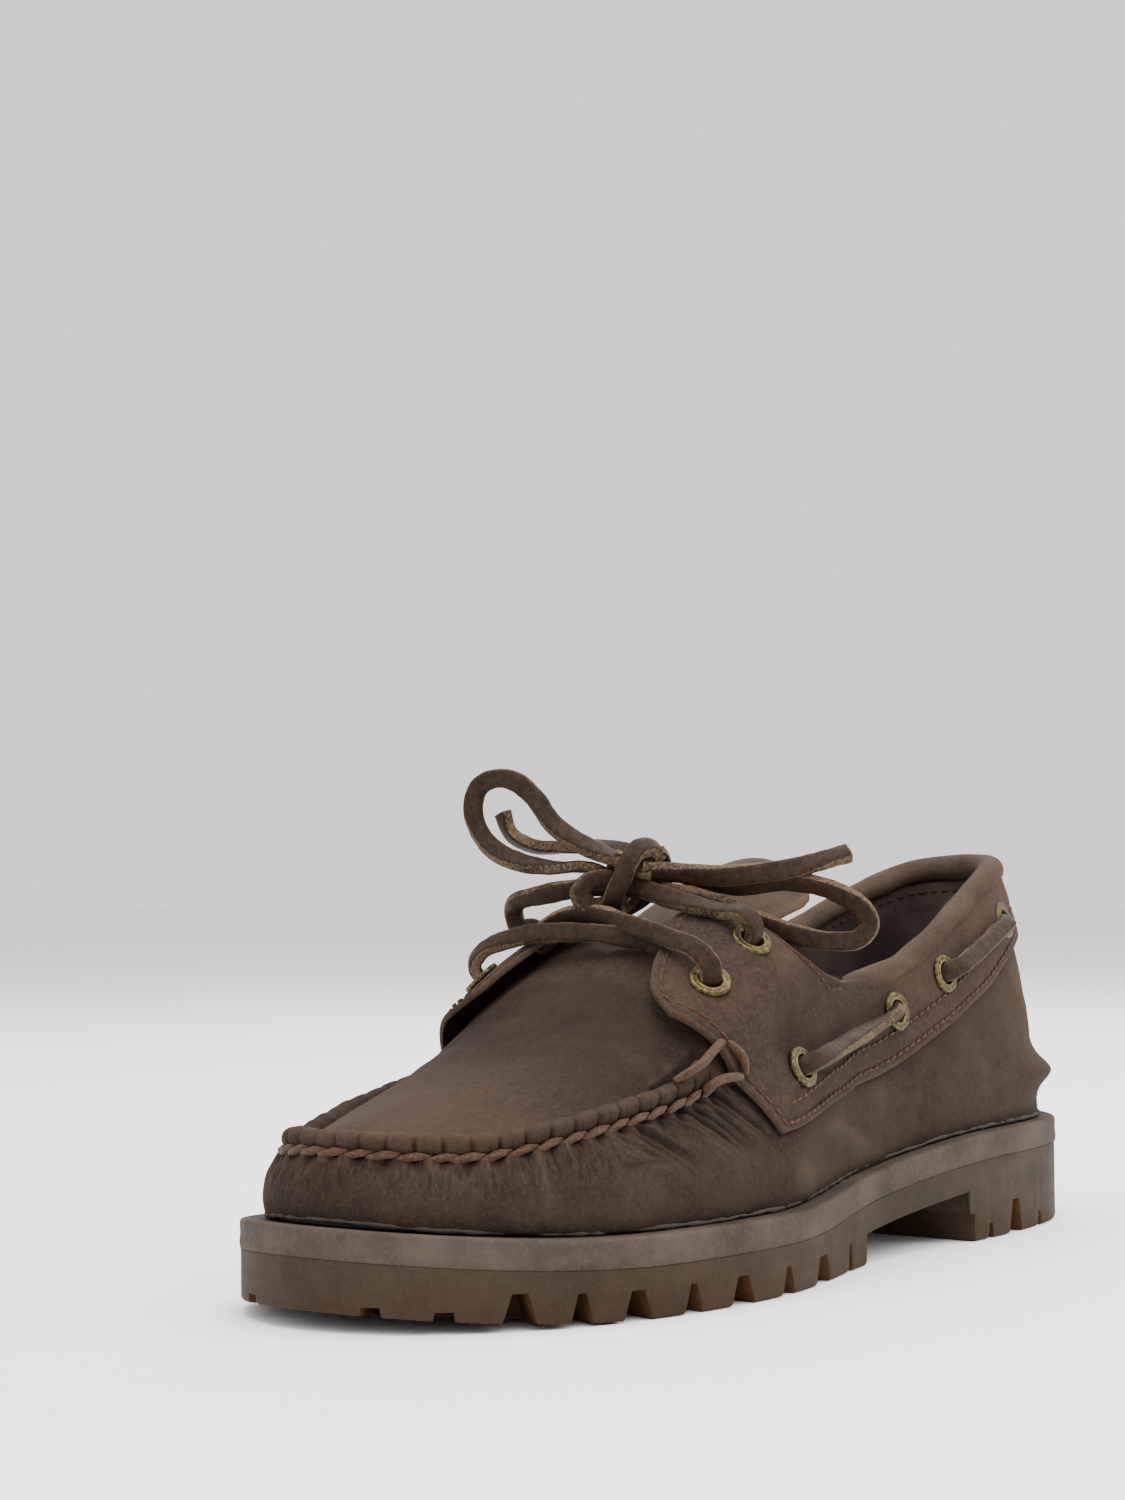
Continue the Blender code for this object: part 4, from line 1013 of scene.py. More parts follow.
    def side_points(self, inset: float, shares: Array) -> tuple[Array, Array]:
        """Outline moved in by an inset, read at shares of its own length.

        Args:
            inset: Distance inwards.
            shares: Shares from heel to toe.

        Returns:
            Points of the outer side and of the inner side.
        """
        loop = self.outline + self.inward * inset
        low, high = int(np.argmin(loop[:, 0])), int(np.argmax(loop[:, 0]))
        xs = loop[low, 0] + (loop[high, 0] - loop[low, 0]) * shares
        sides = []
        for step in (1, -1):
            order = (low + step * np.arange((high - low) * step % self.count + 1)) % self.count
            ys = np.interp(xs, np.maximum.accumulate(loop[order, 0]), loop[order, 1])
            sides.append(np.column_stack([xs, ys]))
        return sides[0], sides[1]

    def middle(self, x: Array | float) -> Array:
        """Y of the ridge line: half way between the sole's sides.

        Args:
            x: Place along the foot.

        Returns:
            The Y.
        """
        outer, inner = self.middle_line
        return np.interp(x, outer[:, 0], (outer[:, 1] + inner[:, 1]) / 2)

    def skin(self, ring: Array | float, place: Array | float) -> Array:
        """Outer surface of the upper without its seam.

        The wall's inset is a cubic in height through four insets; above the seam the rib runs to the ridge line
        and rises by one minus a power of the way left, itself to a power.

        Args:
            ring: Place round the sole.
            place: Place up the rib.

        Returns:
            Points.
        """
        ring, place = np.broadcast_arrays(np.asarray(ring, float), np.asarray(place, float))
        outline, inward = self.around(self.outline, ring), self.around(self.inward, ring)
        station = np.clip(self.station(outline[..., 0]), 0, 1)
        up = np.clip(place, 0, 1)
        weights = (
            -4.5 * (up - 1 / 3) * (up - 2 / 3) * (up - 1),
            13.5 * up * (up - 2 / 3) * (up - 1),
            -13.5 * up * (up - 1 / 3) * (up - 1),
            4.5 * up * (up - 1 / 3) * (up - 2 / 3),
        )
        inset = sum(weight * curve(station) for weight, curve in zip(weights, self.insets))
        medial = np.mod(ring, 1) > self.toe_ring
        drop = self.medial_seam_drop * smooth_step((station - 0.60) / 0.12) * smooth_step((1 - station) / 0.10)
        drop = drop + self.medial_collar_drop * smooth_step(station / 0.12) * smooth_step((0.40 - station) / 0.15)
        height = (self.edge_height(station) - medial * drop) * up
        kick = bell((height - self.heel_kick_height) / self.heel_kick_spread) * smooth_step((0.15 - station) / 0.10)
        wall = outline + inward * (inset - self.heel_kick * kick)[..., None]
        wall_z = self.welt_top(outline[..., 0]) + self.gap + height
        reach = np.hypot(self.seam_tip - wall[..., 0], self.toe_fan * (wall[..., 1] - self.middle(wall[..., 0])))
        spine_x = self.seam_tip - self.spine_setback - reach * (1 - self.spine_setback / self.length)
        at = self.station(spine_x)
        spine_z = self.seam_tip_height + (self.instep_height - self.seam_tip_height) * self.rise(at)
        over = np.clip(place - 1, 0, 1) ** self.rib_ease
        arch = (1 - (1 - over) ** self.power(at)) ** self.root(at)
        x = wall[..., 0] + (spine_x - wall[..., 0]) * over
        y = wall[..., 1] + (self.middle(spine_x) - wall[..., 1]) * over
        return np.stack([x, y, wall_z + (spine_z - wall_z) * arch], axis=-1)

    def normal(self, ring: Array | float, place: Array | float) -> Array:
        """Unit normal of the skin, facing out.

        Args:
            ring: Place round the sole.
            place: Place up the rib.

        Returns:
            Unit vectors.
        """
        place = np.clip(place, 0.02, 1.96)
        along = self.skin(ring + 0.002, place) - self.skin(ring - 0.002, place)
        upward = self.skin(ring, place + 0.02) - self.skin(ring, place - 0.02)
        normal = np.cross(upward, along)
        return normal / np.linalg.norm(normal, axis=-1, keepdims=True)

    def offset(self, ring: Array | float, place: Array | float, distance: Array | float) -> Array:
        """The skin moved out along its normal.

        Args:
            ring: Place round the sole.
            place: Place up the rib.
            distance: How far.

        Returns:
            Points.
        """
        return self.skin(ring, place) + self.normal(ring, place) * np.asarray(distance)[..., None]

    def over_panel(self, ring: Array | float, place: Array | float, height: Array | float) -> Array:
        """A point at a height over the panel's inner face, which lifts off the plug as a flap.

        Args:
            ring: Place round the sole.
            place: Place up the rib.
            height: Height over that face.

        Returns:
            Points.
        """
        station = self.ring_station(ring)
        flap = smooth_step((station - 0.49) / 0.13) * smooth_step((place - 0.95) / 0.45)
        return self.offset(ring, place, self.panel_gap + height + self.flap_lift * flap)


# Studio


@dataclass
class Studio:
    """The camera at the photograph's angle, soft lights and a pale floor."""

    place: tuple = (0.65127, 0.47994, 0.10712)
    right: tuple = (-0.62926, 0.77712, -0.01027)
    up: tuple = (0.01889, 0.02850, 0.99942)
    forward: tuple = (-0.77696, -0.62870, 0.03261)
    lens: float = 73.70
    sensor: float = 36.0

    def camera(self) -> None:
        """Sets up the camera, whose long side is upright."""
        data = bpy.data.cameras.new("camera")
        data.sensor_fit = "VERTICAL"
        data.sensor_height = self.sensor
        data.lens = self.lens
        data.clip_start = 0.01
        camera = bpy.data.objects.new("camera", data)
        back = [-c for c in self.forward]
        turn = Matrix([self.right, self.up, back]).transposed().to_4x4()
        camera.matrix_world = Matrix.Translation(self.place) @ turn
        bpy.context.scene.collection.objects.link(camera)
        bpy.context.scene.camera = camera

    def light(self, name: str, place: tuple, size: float, power: float) -> None:
        """Adds a square area light that looks at the middle of the shoe.

        Args:
            name: Its name.
            place: Where it hangs.
            size: Length of its side.
            power: Its power in watts.
        """
        data = bpy.data.lights.new(name, "AREA")
        data.size = size
        data.energy = power
        lamp = bpy.data.objects.new(name, data)
        lamp.location = place
        lamp.rotation_euler = (Vector((0, 0, 0.04)) - Vector(place)).to_track_quat("-Z", "Y").to_euler()
        bpy.context.scene.collection.objects.link(lamp)

    def lights(self, floor_material: bpy.types.Material) -> None:
        """Adds the lights, the floor and the room's even glow.

        Args:
            floor_material: Finish of the floor.
        """
        self.light("key", (0.45, 0.70, 1.25), 0.9, 12)
        self.light("top", (0.05, -0.05, 1.5), 1.3, 30)
        self.light("rim", (-0.9, -0.5, 0.9), 0.8, 9)
        self.light("side", (-0.8, 0.95, 0.85), 0.8, 13)
        self.light("front", (1.3, -0.3, 0.7), 0.9, 5)
        world = bpy.data.worlds.new("world")
        world.use_nodes = True
        world.node_tree.nodes["Background"].inputs["Color"].default_value = (1, 1, 1, 1)
        world.node_tree.nodes["Background"].inputs["Strength"].default_value = 1.2
        bpy.context.scene.world = world
        corners = [(x, y, -0.0002) for x, y in ((-4, -4), (4, -4), (4, 4), (-4, 4))]
        floor = add_mesh("floor", np.array(corners), [(0, 1, 2, 3)])
        floor.data.materials.append(floor_material)


# Lace and eyelets


@dataclass
class Eyelet:
    """One eyelet's place on the panel."""

    name: str
    side: Side
    station: float
    place: float


EYELETS = [
    Eyelet(f"{name}_{side.label}", side, station, place)
    for side in (Side.LATERAL, Side.MEDIAL)
    for name, station, place in (
        ("front", 0.653, 1.384), ("rear", 0.582, 1.391), ("side_1", 0.569, 0.810), ("side_2", 0.374, 0.765),
        ("side_3", 0.284, 0.798), ("side_4", 0.121, 0.799),
    )
]


@dataclass
class Eyelets:
    """Bare brass rings with a raised rim and bead, each with a short barrel."""

    last: Last
    material: bpy.types.Material
    diameter: float = 0.0106
    bore: float = 0.0058
    thickness: float = 0.0013
    depth: float = 0.0030
    panel_thickness: float = 0.0016
    sides: int = 48

    def frame(self, eyelet: Eyelet) -> tuple[Array, Array]:
        """Where an eyelet stands and how it is turned.

        Args:
            eyelet: The eyelet.

        Returns:
            Its place on the panel's face, and its three axes as rows, the last of them outwards.
        """
        ring = float(self.last.ring_of(eyelet.station, eyelet.side))
        origin = self.last.over_panel(ring, eyelet.place, self.panel_thickness)
        out = self.last.normal(ring, eyelet.place)
        side = np.cross((0.0, 0.0, 1.0), out)
        side /= np.linalg.norm(side)
        return origin, np.array([side, np.cross(out, side), out])

    def build(self) -> bpy.types.Object:
        """Turns one ring from its profile and places it at all twelve eyelets.

        Returns:
            The rings as one object.
        """
        rim, bore, t = self.diameter / 2, self.bore / 2, self.thickness
        profile = np.array([
            (bore + 0.0005, -self.depth), (bore, -self.depth), (bore, -0.0004), (bore + 0.0001, t * 0.35),
            (bore + 0.0002, t * 0.66), (bore + 0.0004, t * 0.78), (bore + 0.0006, t * 0.74), (rim * 0.72, t * 0.68),
            (rim * 0.80, t * 0.66), (rim * 0.88, t * 0.72), (rim * 0.95, t * 0.66), (rim * 0.99, t * 0.38),
            (rim, 0.0), (rim * 0.97, -0.0003), (bore + 0.0005, -0.0003),
        ])
        angle = np.linspace(0, 2 * math.pi, self.sides, endpoint=False)
        radius, height = profile[:, 0], profile[:, 1]
        shape = np.stack([
            radius[None] * np.cos(angle)[:, None],
            radius[None] * np.sin(angle)[:, None],
            np.broadcast_to(height, (self.sides, len(height))),
        ], axis=-1)
        faces = grid_faces(self.sides, len(profile), True, True)
        placed = [self.frame(eyelet) for eyelet in EYELETS]
        frames, places = np.array([p[1] for p in placed]), np.array([p[0] for p in placed])
        rings = face_outwards(repeated("eyelets", shape.reshape(-1, 3), faces, frames, places))
        wear = 0.5 * np.clip((height - 0.66 * t) / (0.12 * t), 0, 1)
        set_attribute(rings, "wear", np.tile(wear, self.sides * len(EYELETS)))
        rings.data.materials.append(self.material)
        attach(rings, "root")
        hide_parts(*["eyelet_" + eyelet.name for eyelet in EYELETS])
        return rings

    def pits(self, points: Array, outwards: Array, depth: float, inner: float, outer: float) -> Array:
        """Sinks a surface at each eyelet so that the ring's bore is open.

        Args:
            points: The surface's points.
            outwards: Its normals.
            depth: Depth of a pit.
            inner: Radius within which it is full.
            outer: Radius at which it ends.

        Returns:
            The points with the pits.
        """
        sunk = np.zeros(points.shape[:-1])
        for eyelet in EYELETS:
            origin, axes = self.frame(eyelet)
            local = (points - origin) @ axes.T
            distance = np.hypot(local[..., 0], local[..., 1])
            near = np.abs(local[..., 2]) < 0.012
            sunk = np.maximum(sunk, near * smooth_step((outer - distance) / (outer - inner)))
        return points - outwards * (depth * sunk)[..., None]


@dataclass
class Strap:
    """How one length of lace lies: its name, its route and how it is turned about itself."""

    name: str
    route: list
    turn: float = 0.0
    twist: float = 0.0
    lean: tuple = (0.0, 0.0, 1.0)


@dataclass
class Lace:
    """A square-cut leather lace, woven through the eyelets and tied in a bow."""

    last: Last
    eyelets: Eyelets
    material: bpy.types.Material
    width: float = 0.0051
    thickness: float = 0.0034
    instep: float = 0.0800

    # Way along the panel and height over it where a lace comes out of an eyelet
    EXIT = ((0.0, -0.0032), (0.0, -0.0010), (0.0, 0.0012), (0.0004, 0.0029), (0.0019, 0.0043), (0.0044, 0.0048))
    OVER = 0.0028
    # The same where a lace slants into a side eyelet
    SIDE_EXIT = ((-0.0008, -0.0034), (0.0, -0.0012), (0.0012, 0.0008), (0.0038, 0.0024))
    # Twist of a side lace in turns: rear, then front
    SIDE_TWIST = (0.10, 0.32)
    # X, Y and height over the instep
    FROM_LATERAL = (
        (0.0469, 0.0240, 0.0052), (0.0431, 0.0080, 0.0085), (0.0395, -0.0060, 0.0106), (0.0404, -0.0160, 0.0093),
        (0.0416, -0.0203, 0.0062), (0.0422, -0.0232, 0.0022),
    )
    FROM_MEDIAL = (
        (0.0472, -0.0255, 0.0048), (0.0466, -0.0130, 0.0062), (0.0434, 0.0040, 0.0055), (0.0410, 0.0140, 0.0038),
        (0.0402, 0.0188, 0.0014), (0.0400, 0.0228, -0.0012),
    )
    RISERS = (
        (0.0318, -0.0384, 0.0106), (0.0352, -0.0345, 0.0136), (0.0365, -0.0260, 0.0154),
        (0.0355, -0.0160, 0.0170), (0.0325, -0.0060, 0.0180), (0.0300, 0.0000, 0.0176), (0.0310, 0.0090, 0.0156),
        (0.0315, 0.0180, 0.0136), (0.0288, 0.0270, 0.0114),
    )
    CORDS = {
        "lace_knot": (
            (0.0255, 0.0052, 0.0250), (0.0280, 0.0044, 0.0276), (0.0315, 0.0032, 0.0272), (0.0343, 0.0020, 0.0240),
            (0.0358, 0.0010, 0.0200), (0.0362, -0.0010, 0.0160), (0.0346, -0.0033, 0.0128),
            (0.0310, -0.0044, 0.0112), (0.0270, -0.0038, 0.0120),
        ),
        "lace_loop_medial": (
            (0.0295, -0.0045, 0.0242), (0.0334, -0.0142, 0.0287), (0.0354, -0.0218, 0.0339),
            (0.0368, -0.0273, 0.0413), (0.0380, -0.0320, 0.0450), (0.0392, -0.0367, 0.0461),
            (0.0405, -0.0418, 0.0444), (0.0411, -0.0441, 0.0392), (0.0408, -0.0430, 0.0334),
            (0.0398, -0.0392, 0.0282), (0.0380, -0.0322, 0.0244), (0.0354, -0.0220, 0.0226),
            (0.0325, -0.0130, 0.0226), (0.0290, -0.0083, 0.0204),
        ),
        "lace_loop_lateral": (
            (0.0215, 0.0020, 0.0213), (0.0104, 0.0182, 0.0173), (0.0024, 0.0316, 0.0184), (-0.0020, 0.0415, 0.0154),
            (-0.0050, 0.0466, 0.0115), (-0.0059, 0.0482, 0.0075), (-0.0046, 0.0460, 0.0040),
            (-0.0010, 0.0405, 0.0032), (0.0050, 0.0318, 0.0052), (0.0115, 0.0230, 0.0096),
            (0.0182, 0.0112, 0.0150), (0.0225, 0.0035, 0.0167),
        ),
        "lace_end_short": (
            (0.0250, -0.0025, 0.0258), (0.0275, -0.0125, 0.0277), (0.0304, -0.0225, 0.0279),
            (0.0324, -0.0310, 0.0282), (0.0344, -0.0373, 0.0320), (0.0347, -0.0393, 0.0370),
        ),
        "lace_end_long": (
            (0.0303, 0.0036, 0.0220), (0.0202, 0.0190, 0.0204), (0.0066, 0.0312, 0.0217), (-0.0070, 0.0413, 0.0257),
        ),
    }
    # Lace inside the knot, between the ends of the cords, and the small curl at its outer side
    KNOT_CORE = (
        ((0.0292, 0.0054, 0.0218), (0.0303, 0.0036, 0.0220), (0.0280, 0.0005, 0.0240), (0.0250, -0.0025, 0.0258),
         (0.0254, -0.0042, 0.0261)),
        ((0.0198, 0.0044, 0.0208), (0.0215, 0.0020, 0.0213), (0.0258, -0.0010, 0.0230), (0.0295, -0.0045, 0.0242),
         (0.0302, -0.0060, 0.0250)),
        ((0.0212, 0.0052, 0.0162), (0.0225, 0.0035, 0.0167), (0.0260, -0.0022, 0.0186), (0.0290, -0.0083, 0.0204),
         (0.0300, -0.0095, 0.0210)),
        ((0.0268, 0.0050, 0.0262), (0.0255, 0.0052, 0.0250), (0.0238, 0.0044, 0.0214), (0.0244, 0.0004, 0.0160),
         (0.0270, -0.0038, 0.0120), (0.0290, -0.0042, 0.0114)),
        ((0.0274, -0.0017, 0.0183), (0.0301, -0.0036, 0.0160), (0.0350, -0.0050, 0.0130), (0.0393, -0.0071, 0.0129),
         (0.0408, -0.0088, 0.0154), (0.0391, -0.0082, 0.0185), (0.0350, -0.0062, 0.0194), (0.0300, -0.0049, 0.0183)),
    )
    # Turn at the start and twist over the length of each cord, in turns
    LAY = {
        "lace_knot": (0.10, 0.15), "lace_loop_medial": (0.05, 0.50), "lace_loop_lateral": (0.0, 0.45),
        "lace_end_short": (0.15, -0.30), "lace_end_long": (0.05, 0.35),
    }

    def section(self, count: int = 28) -> tuple[Array, Array]:
        """The lace's section: a rectangle whose corners are rounded as a superellipse.

        Args:
            count: Number of points round it.

        Returns:
            Points across and through the lace, and how much each belongs to a pale cut edge.
        """
        angle = np.linspace(0, 2 * math.pi, count, endpoint=False)
        c, s = np.cos(angle), np.sin(angle)
        across = np.sign(c) * np.abs(c) ** 0.55 * self.width / 2
        through = np.sign(s) * np.abs(s) ** 0.55 * self.thickness / 2
        edge = smooth_step((np.abs(across) / (self.width / 2) - 0.78) / 0.20)
        return np.column_stack([across, through]), edge

    def strap(self, lay: Strap, seed: int) -> tuple[bpy.types.Object, Array]:
        """Sweeps the section along a route, turning and wrinkling it on the way.

        Args:
            lay: How the strap lies.
            seed: Number that picks its unevenness.

        Returns:
            The strap, and the points of its centre line.
        """
        path = smooth_route(lay.route, 0.0007)
        _, side, across = frames_along(path, lay.lean)
        run = lengths_along(path)
        share = run / run[-1]
        angle = 2 * math.pi * (lay.turn + lay.twist * share + 0.022 * line_noise(run, 0.012, seed))
        wide = np.cos(angle)[:, None] * across + np.sin(angle)[:, None] * side
        deep = np.cos(angle)[:, None] * side - np.sin(angle)[:, None] * across
        section, edge = self.section()
        size = 1 + 0.045 * line_noise(run, 0.006, seed + 1)[:, None, None]
        points = path[:, None] + size * (
            section[None, :, :1] * wide[:, None] + section[None, :, 1:] * deep[:, None]
        )
        radial = points - path[:, None]
        radial /= np.linalg.norm(radial, axis=-1, keepdims=True)
        wrinkle = lattice_noise(points, 0.0016, seed + 2) * 0.00012 + lattice_noise(points, 0.005, seed) * 0.00012
        points = points + radial * wrinkle[..., None]
        faces = grid_faces(len(path), len(section), round_columns=True).tolist()
        last = (len(path) - 1) * len(section)
        faces += [tuple(range(len(section)))[::-1], tuple(range(last, last + len(section)))]
        obj = face_outwards(add_mesh(lay.name + "_leather", points.reshape(-1, 3), faces, 50))
        ends = np.maximum(np.minimum(share, 1 - share) < 0.4 / len(path), 0)
        wear = np.maximum(edge[None] * (0.82 + 0.25 * line_noise(run, 0.007, seed + 3)[:, None]), ends[:, None])
        set_attribute(obj, "wear", wear)
        obj.data.materials.append(self.material)
        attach(obj, "root")
        return obj, path

    def over(self, route: tuple) -> list:
        """A route's points, from heights over the instep.

        Args:
            route: The points.

        Returns:
            The points in the shoe's frame.
        """
        return [(x, y, self.instep + rise) for x, y, rise in route]

    def out_of(self, name: str, toward: tuple) -> tuple[list, Array]:
        """The lace's centre from inside an eyelet until it lies over the panel.

        Args:
            name: The eyelet's name.
            toward: Point that the lace heads for.

        Returns:
            The points, and the direction out of the eyelet.
        """
        eyelet = next(e for e in EYELETS if e.name == name)
        origin, axes = self.eyelets.frame(eyelet)
        out = axes[2]
        along = np.asarray(toward) - origin
        along = along - out * np.dot(along, out)
        along /= np.linalg.norm(along)
        return [tuple(origin + along * way + out * height) for way, height in self.EXIT], out

    def tie_bow(self) -> None:
        for seed, (name, route) in enumerate(self.CORDS.items()):
            turn, twist = self.LAY[name]
            obj, path = self.strap(Strap(name, self.over(route), turn, twist), 30 + 5 * seed)
            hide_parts(name)
            log.info("cord %s: %.0f mm", name, lengths_along(path)[-1] / MM)
        for number, route in enumerate(self.KNOT_CORE):
            self.strap(Strap(f"lace_knot_core_{number + 1}", self.over(route), 0.1, 0.2), 130 + 5 * number)

    def lace_up(self) -> None:
        """Lays the crossings, the risers and the laces along both sides."""
        from_lateral, from_medial = self.over(self.FROM_LATERAL), self.over(self.FROM_MEDIAL)
        start, _ = self.out_of("front_lateral", from_lateral[0])
        first, _ = self.strap(Strap("lace_crossing_a", start + from_lateral, 0.0, 0.25), 71)
        start, _ = self.out_of("front_medial", from_medial[0])
        second, _ = self.strap(Strap("lace_crossing_b", start + from_medial, 0.0, -0.20), 76)
        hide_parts("lace_crossing")
        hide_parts("lace_crossing")
        risers = self.over(self.RISERS)
        start, _ = self.out_of("rear_medial", risers[0])
        end, _ = self.out_of("rear_lateral", risers[-1])
        rise, _ = self.strap(Strap("lace_risers", start + risers + end[::-1], 0.1, 0.5), 81)
        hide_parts("lace_risers")
        for seed, side in enumerate((Side.LATERAL, Side.MEDIAL)):
            for k, (part, first_name, second_name) in enumerate(
                (("front", "side_1", "side_2"), ("rear", "side_3", "side_4"))
            ):
                self.side_lace(f"lace_side_{part}_{side.label}", first_name, second_name, side, 90 + 7 * k + 3 * seed)

    def side_lace(self, name: str, first: str, second: str, side: Side, seed: int) -> None:
        """Lays the lace outside the panel between two eyelets.

        Args:
            name: The lace's name.
            first: Eyelet that it comes out of.
            second: Eyelet that it goes into.
            side: Side of the foot.
            seed: Number that picks its unevenness.
        """
        a = next(e for e in EYELETS if e.name == f"{first}_{side.label}")
        b = next(e for e in EYELETS if e.name == f"{second}_{side.label}")
        ends = [self.eyelets.frame(eyelet) for eyelet in (a, b)]
        line = ends[1][0] - ends[0][0]
        out = ends[0][1][2] + ends[1][1][2]
        out /= np.linalg.norm(out)
        middle = []
        for t in (0.28, 0.5, 0.72):
            ring = float(self.last.ring_of(a.station + (b.station - a.station) * t, side))
            place = a.place + (b.place - a.place) * t
            over = self.last.over_panel(ring, place, self.eyelets.panel_thickness + self.OVER)
            straight = ends[0][0] + line * t
            middle.append(straight + out * max(0.0025, float(np.dot(over - straight, out))))
        route = []
        for (origin, axes), sign in zip(ends, (1, -1)):
            along = sign * (line - axes[2] * np.dot(line, axes[2])) / np.linalg.norm(line)
            route.append([origin + along * way + axes[2] * height for way, height in self.SIDE_EXIT])
        knots = [tuple(p) for p in route[0] + middle + route[1][::-1]]
        lay = Strap(name, knots, 0.02, self.SIDE_TWIST["front" in name], tuple(ends[0][1][2]))
        obj, _ = self.strap(lay, seed)
        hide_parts(name)


# Sole


@dataclass
class Sole:
    """The lugged outsole and the welt band on it."""

    last: Last
    band_height: float = 0.0072
    band_rounding: float = 0.0011
    shank_depth: float = 0.0147
    heel_breast: float = 0.0835
    forefoot_rear: float = 0.1378
    top_lift: float = 0.0075
    top_lift_setback: float = 0.0022
    lug_depth: float = 0.0068
    lug_reach: float = 0.0130
    groove: float = 0.0035
    groove_depth: float = 0.0045
    rounding: float = 0.0007
    edge_bevel: float = 0.0005
    rings: int = 720

    # Station, width at the tread, width at the top and depth as shares of the lug depth
    NOTCHES = (
        (0.987, 0.78, 0.65, 0.30), (0.955, 0.75, 0.65, 0.30), (0.911, 1.35, 0.55, 1.00), (0.867, 1.00, 0.30, 1.00),
        (0.819, 1.35, 0.55, 1.00), (0.763, 1.00, 0.30, 1.00), (0.705, 1.40, 0.60, 1.00), (0.640, 1.00, 0.30, 1.00),
        (0.571, 1.60, 0.80, 1.00), (0.500, 0.60, 0.25, 1.00), (0.241, 0.55, 0.25, 0.60), (0.190, 1.30, 0.60, 1.35),
        (0.133, 0.60, 0.25, 0.60), (0.035, 0.90, 0.40, 0.90),
    )
    GROOVES = (0.095, 0.165, 0.225, 0.535, 0.605, 0.672, 0.735, 0.791, 0.843, 0.890)

    def loop(self, inset: float, height) -> Array:
        """Points round the outline at an inset, at a height that depends on X.

        Args:
            inset: Distance inwards.
            height: Function of X.

        Returns:
            Points.
        """
        ring = np.linspace(0, 1, self.rings, endpoint=False)
        flat = self.last.around(self.last.outline, ring) + self.last.around(self.last.inward, ring) * inset
        return np.column_stack([flat, height(flat[:, 0])])

    def band(self, material: bpy.types.Material) -> bpy.types.Object:
        """Sweeps the band's section round the outline: a flat side, a rounded upper edge and a flat top.

        Args:
            material: Its finish.

        Returns:
            The band.
        """
        top = self.last.welt_top
        low = 0.00005 - self.band_height
        r = self.band_rounding
        levels = [
            (0.0150, low), (0.0004, low), (0.0001, low + 0.0001), (0.0, low + 0.0004), (-0.0001, low + 0.0016),
            (0.0, -0.0045), (0.0001, -0.0034), (0.00005, -0.0022), (0.0, -r), (r * 0.12, -r * 0.55),
            (r * 0.38, -r * 0.20), (r * 0.8, -0.00005), (r * 1.6, 0.0), (0.0040, -0.0001), (0.0150, -0.0001),
        ]
        points = np.array([self.loop(inset, lambda x, rise=rise: top(x) + rise) for inset, rise in levels])
        ring = np.linspace(0, 1, self.rings, endpoint=False)
        inward = self.last.around(self.last.inward, ring)
        uneven = lattice_noise(points[5], 0.012, 5) * 0.00018 + lattice_noise(points[5], 0.004, 6) * 0.00007
        points[2:11, :, :2] += inward[None] * uneven[None, :, None]
        faces = grid_faces(len(levels), self.rings, True, True)
        obj = face_outwards(add_mesh("welt_band", points.reshape(-1, 3), faces, 55))
        obj.data.materials.append(material)
        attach(obj, "root")
        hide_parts("midsole_welt")
        return obj

    def bottom(self, x: Array) -> Array:
        """Underside of the outsole: the tread, and the raised shank between heel and forefoot.

        Args:
            x: Place along the foot.

        Returns:
            The height.
        """
        way = x - self.last.back
        shank = (way > self.heel_breast) & (way < self.forefoot_rear)
        return np.where(shank, self.last.welt_top(x) - self.shank_depth, self.last.tread_bottom(x))

    def plate(self, name: str, levels: list, stations: Array) -> bpy.types.Object:
        """A plate that follows the outline, each level at its inset and height.

        Args:
            name: Its name.
            levels: Pairs of an inset and a function of X.
            stations: Shares of the length at which it has points.

        Returns:
            The plate.
        """
        points = []
        for inset, height in levels:
            outer, inner = self.last.side_points(inset, stations)
            ring = np.vstack([outer, inner[-2:0:-1]])
            points.append(np.column_stack([ring, height(ring[:, 0])]))
        size, count = len(points[0]), len(stations)
        faces = grid_faces(len(levels), size, round_columns=True).tolist()
        for base in (0, (len(levels) - 1) * size):
            faces.append((base, base + 1, base + size - 1))
            faces += [(base + i, base + i + 1, base + size - i - 1, base + size - i) for i in range(1, count - 2)]
            faces.append((base + count - 2, base + count - 1, base + count))
        return face_outwards(add_mesh(name, np.vstack(points), faces, 40))

    def notch(self, side: Side, row: tuple) -> Array:
        """Corners of a notch: a wedge that narrows upwards and points in, square to the outline.

        Args:
            side: Side of the foot.
            row: Station, width at the tread, width at the top and depth.

        Returns:
            Eight corners.
        """
        station, foot, head, depth = row
        ring = float(self.last.ring_of(station, side))
        edge, inward = self.last.around(self.last.outline, ring), self.last.around(self.last.inward, ring)
        along = np.array([inward[1], -inward[0]])
        floor = float(self.last.tread_bottom(edge[0]))
        corners = []
        for reach in (-0.004, self.lug_reach):
            for width, z in ((foot, floor - 0.001), (head, floor + depth * self.lug_depth)):
                for end in (-1, 1):
                    corners.append((*(edge + inward * reach + along * end * width * self.lug_depth / 2), z))
        return np.array(corners)

    def cutter(self, corners: list) -> tuple[Array, list]:
        """Several boxes of eight corners as one shape.

        Args:
            corners: The corners of each box.

        Returns:
            Points and faces.
        """
        box = [(0, 1, 3, 2), (4, 6, 7, 5), (0, 4, 5, 1), (2, 3, 7, 6), (0, 2, 6, 4), (1, 5, 7, 3)]
        faces = [tuple(8 * i + k for k in face) for i in range(len(corners)) for face in box]
        return np.vstack(corners), faces

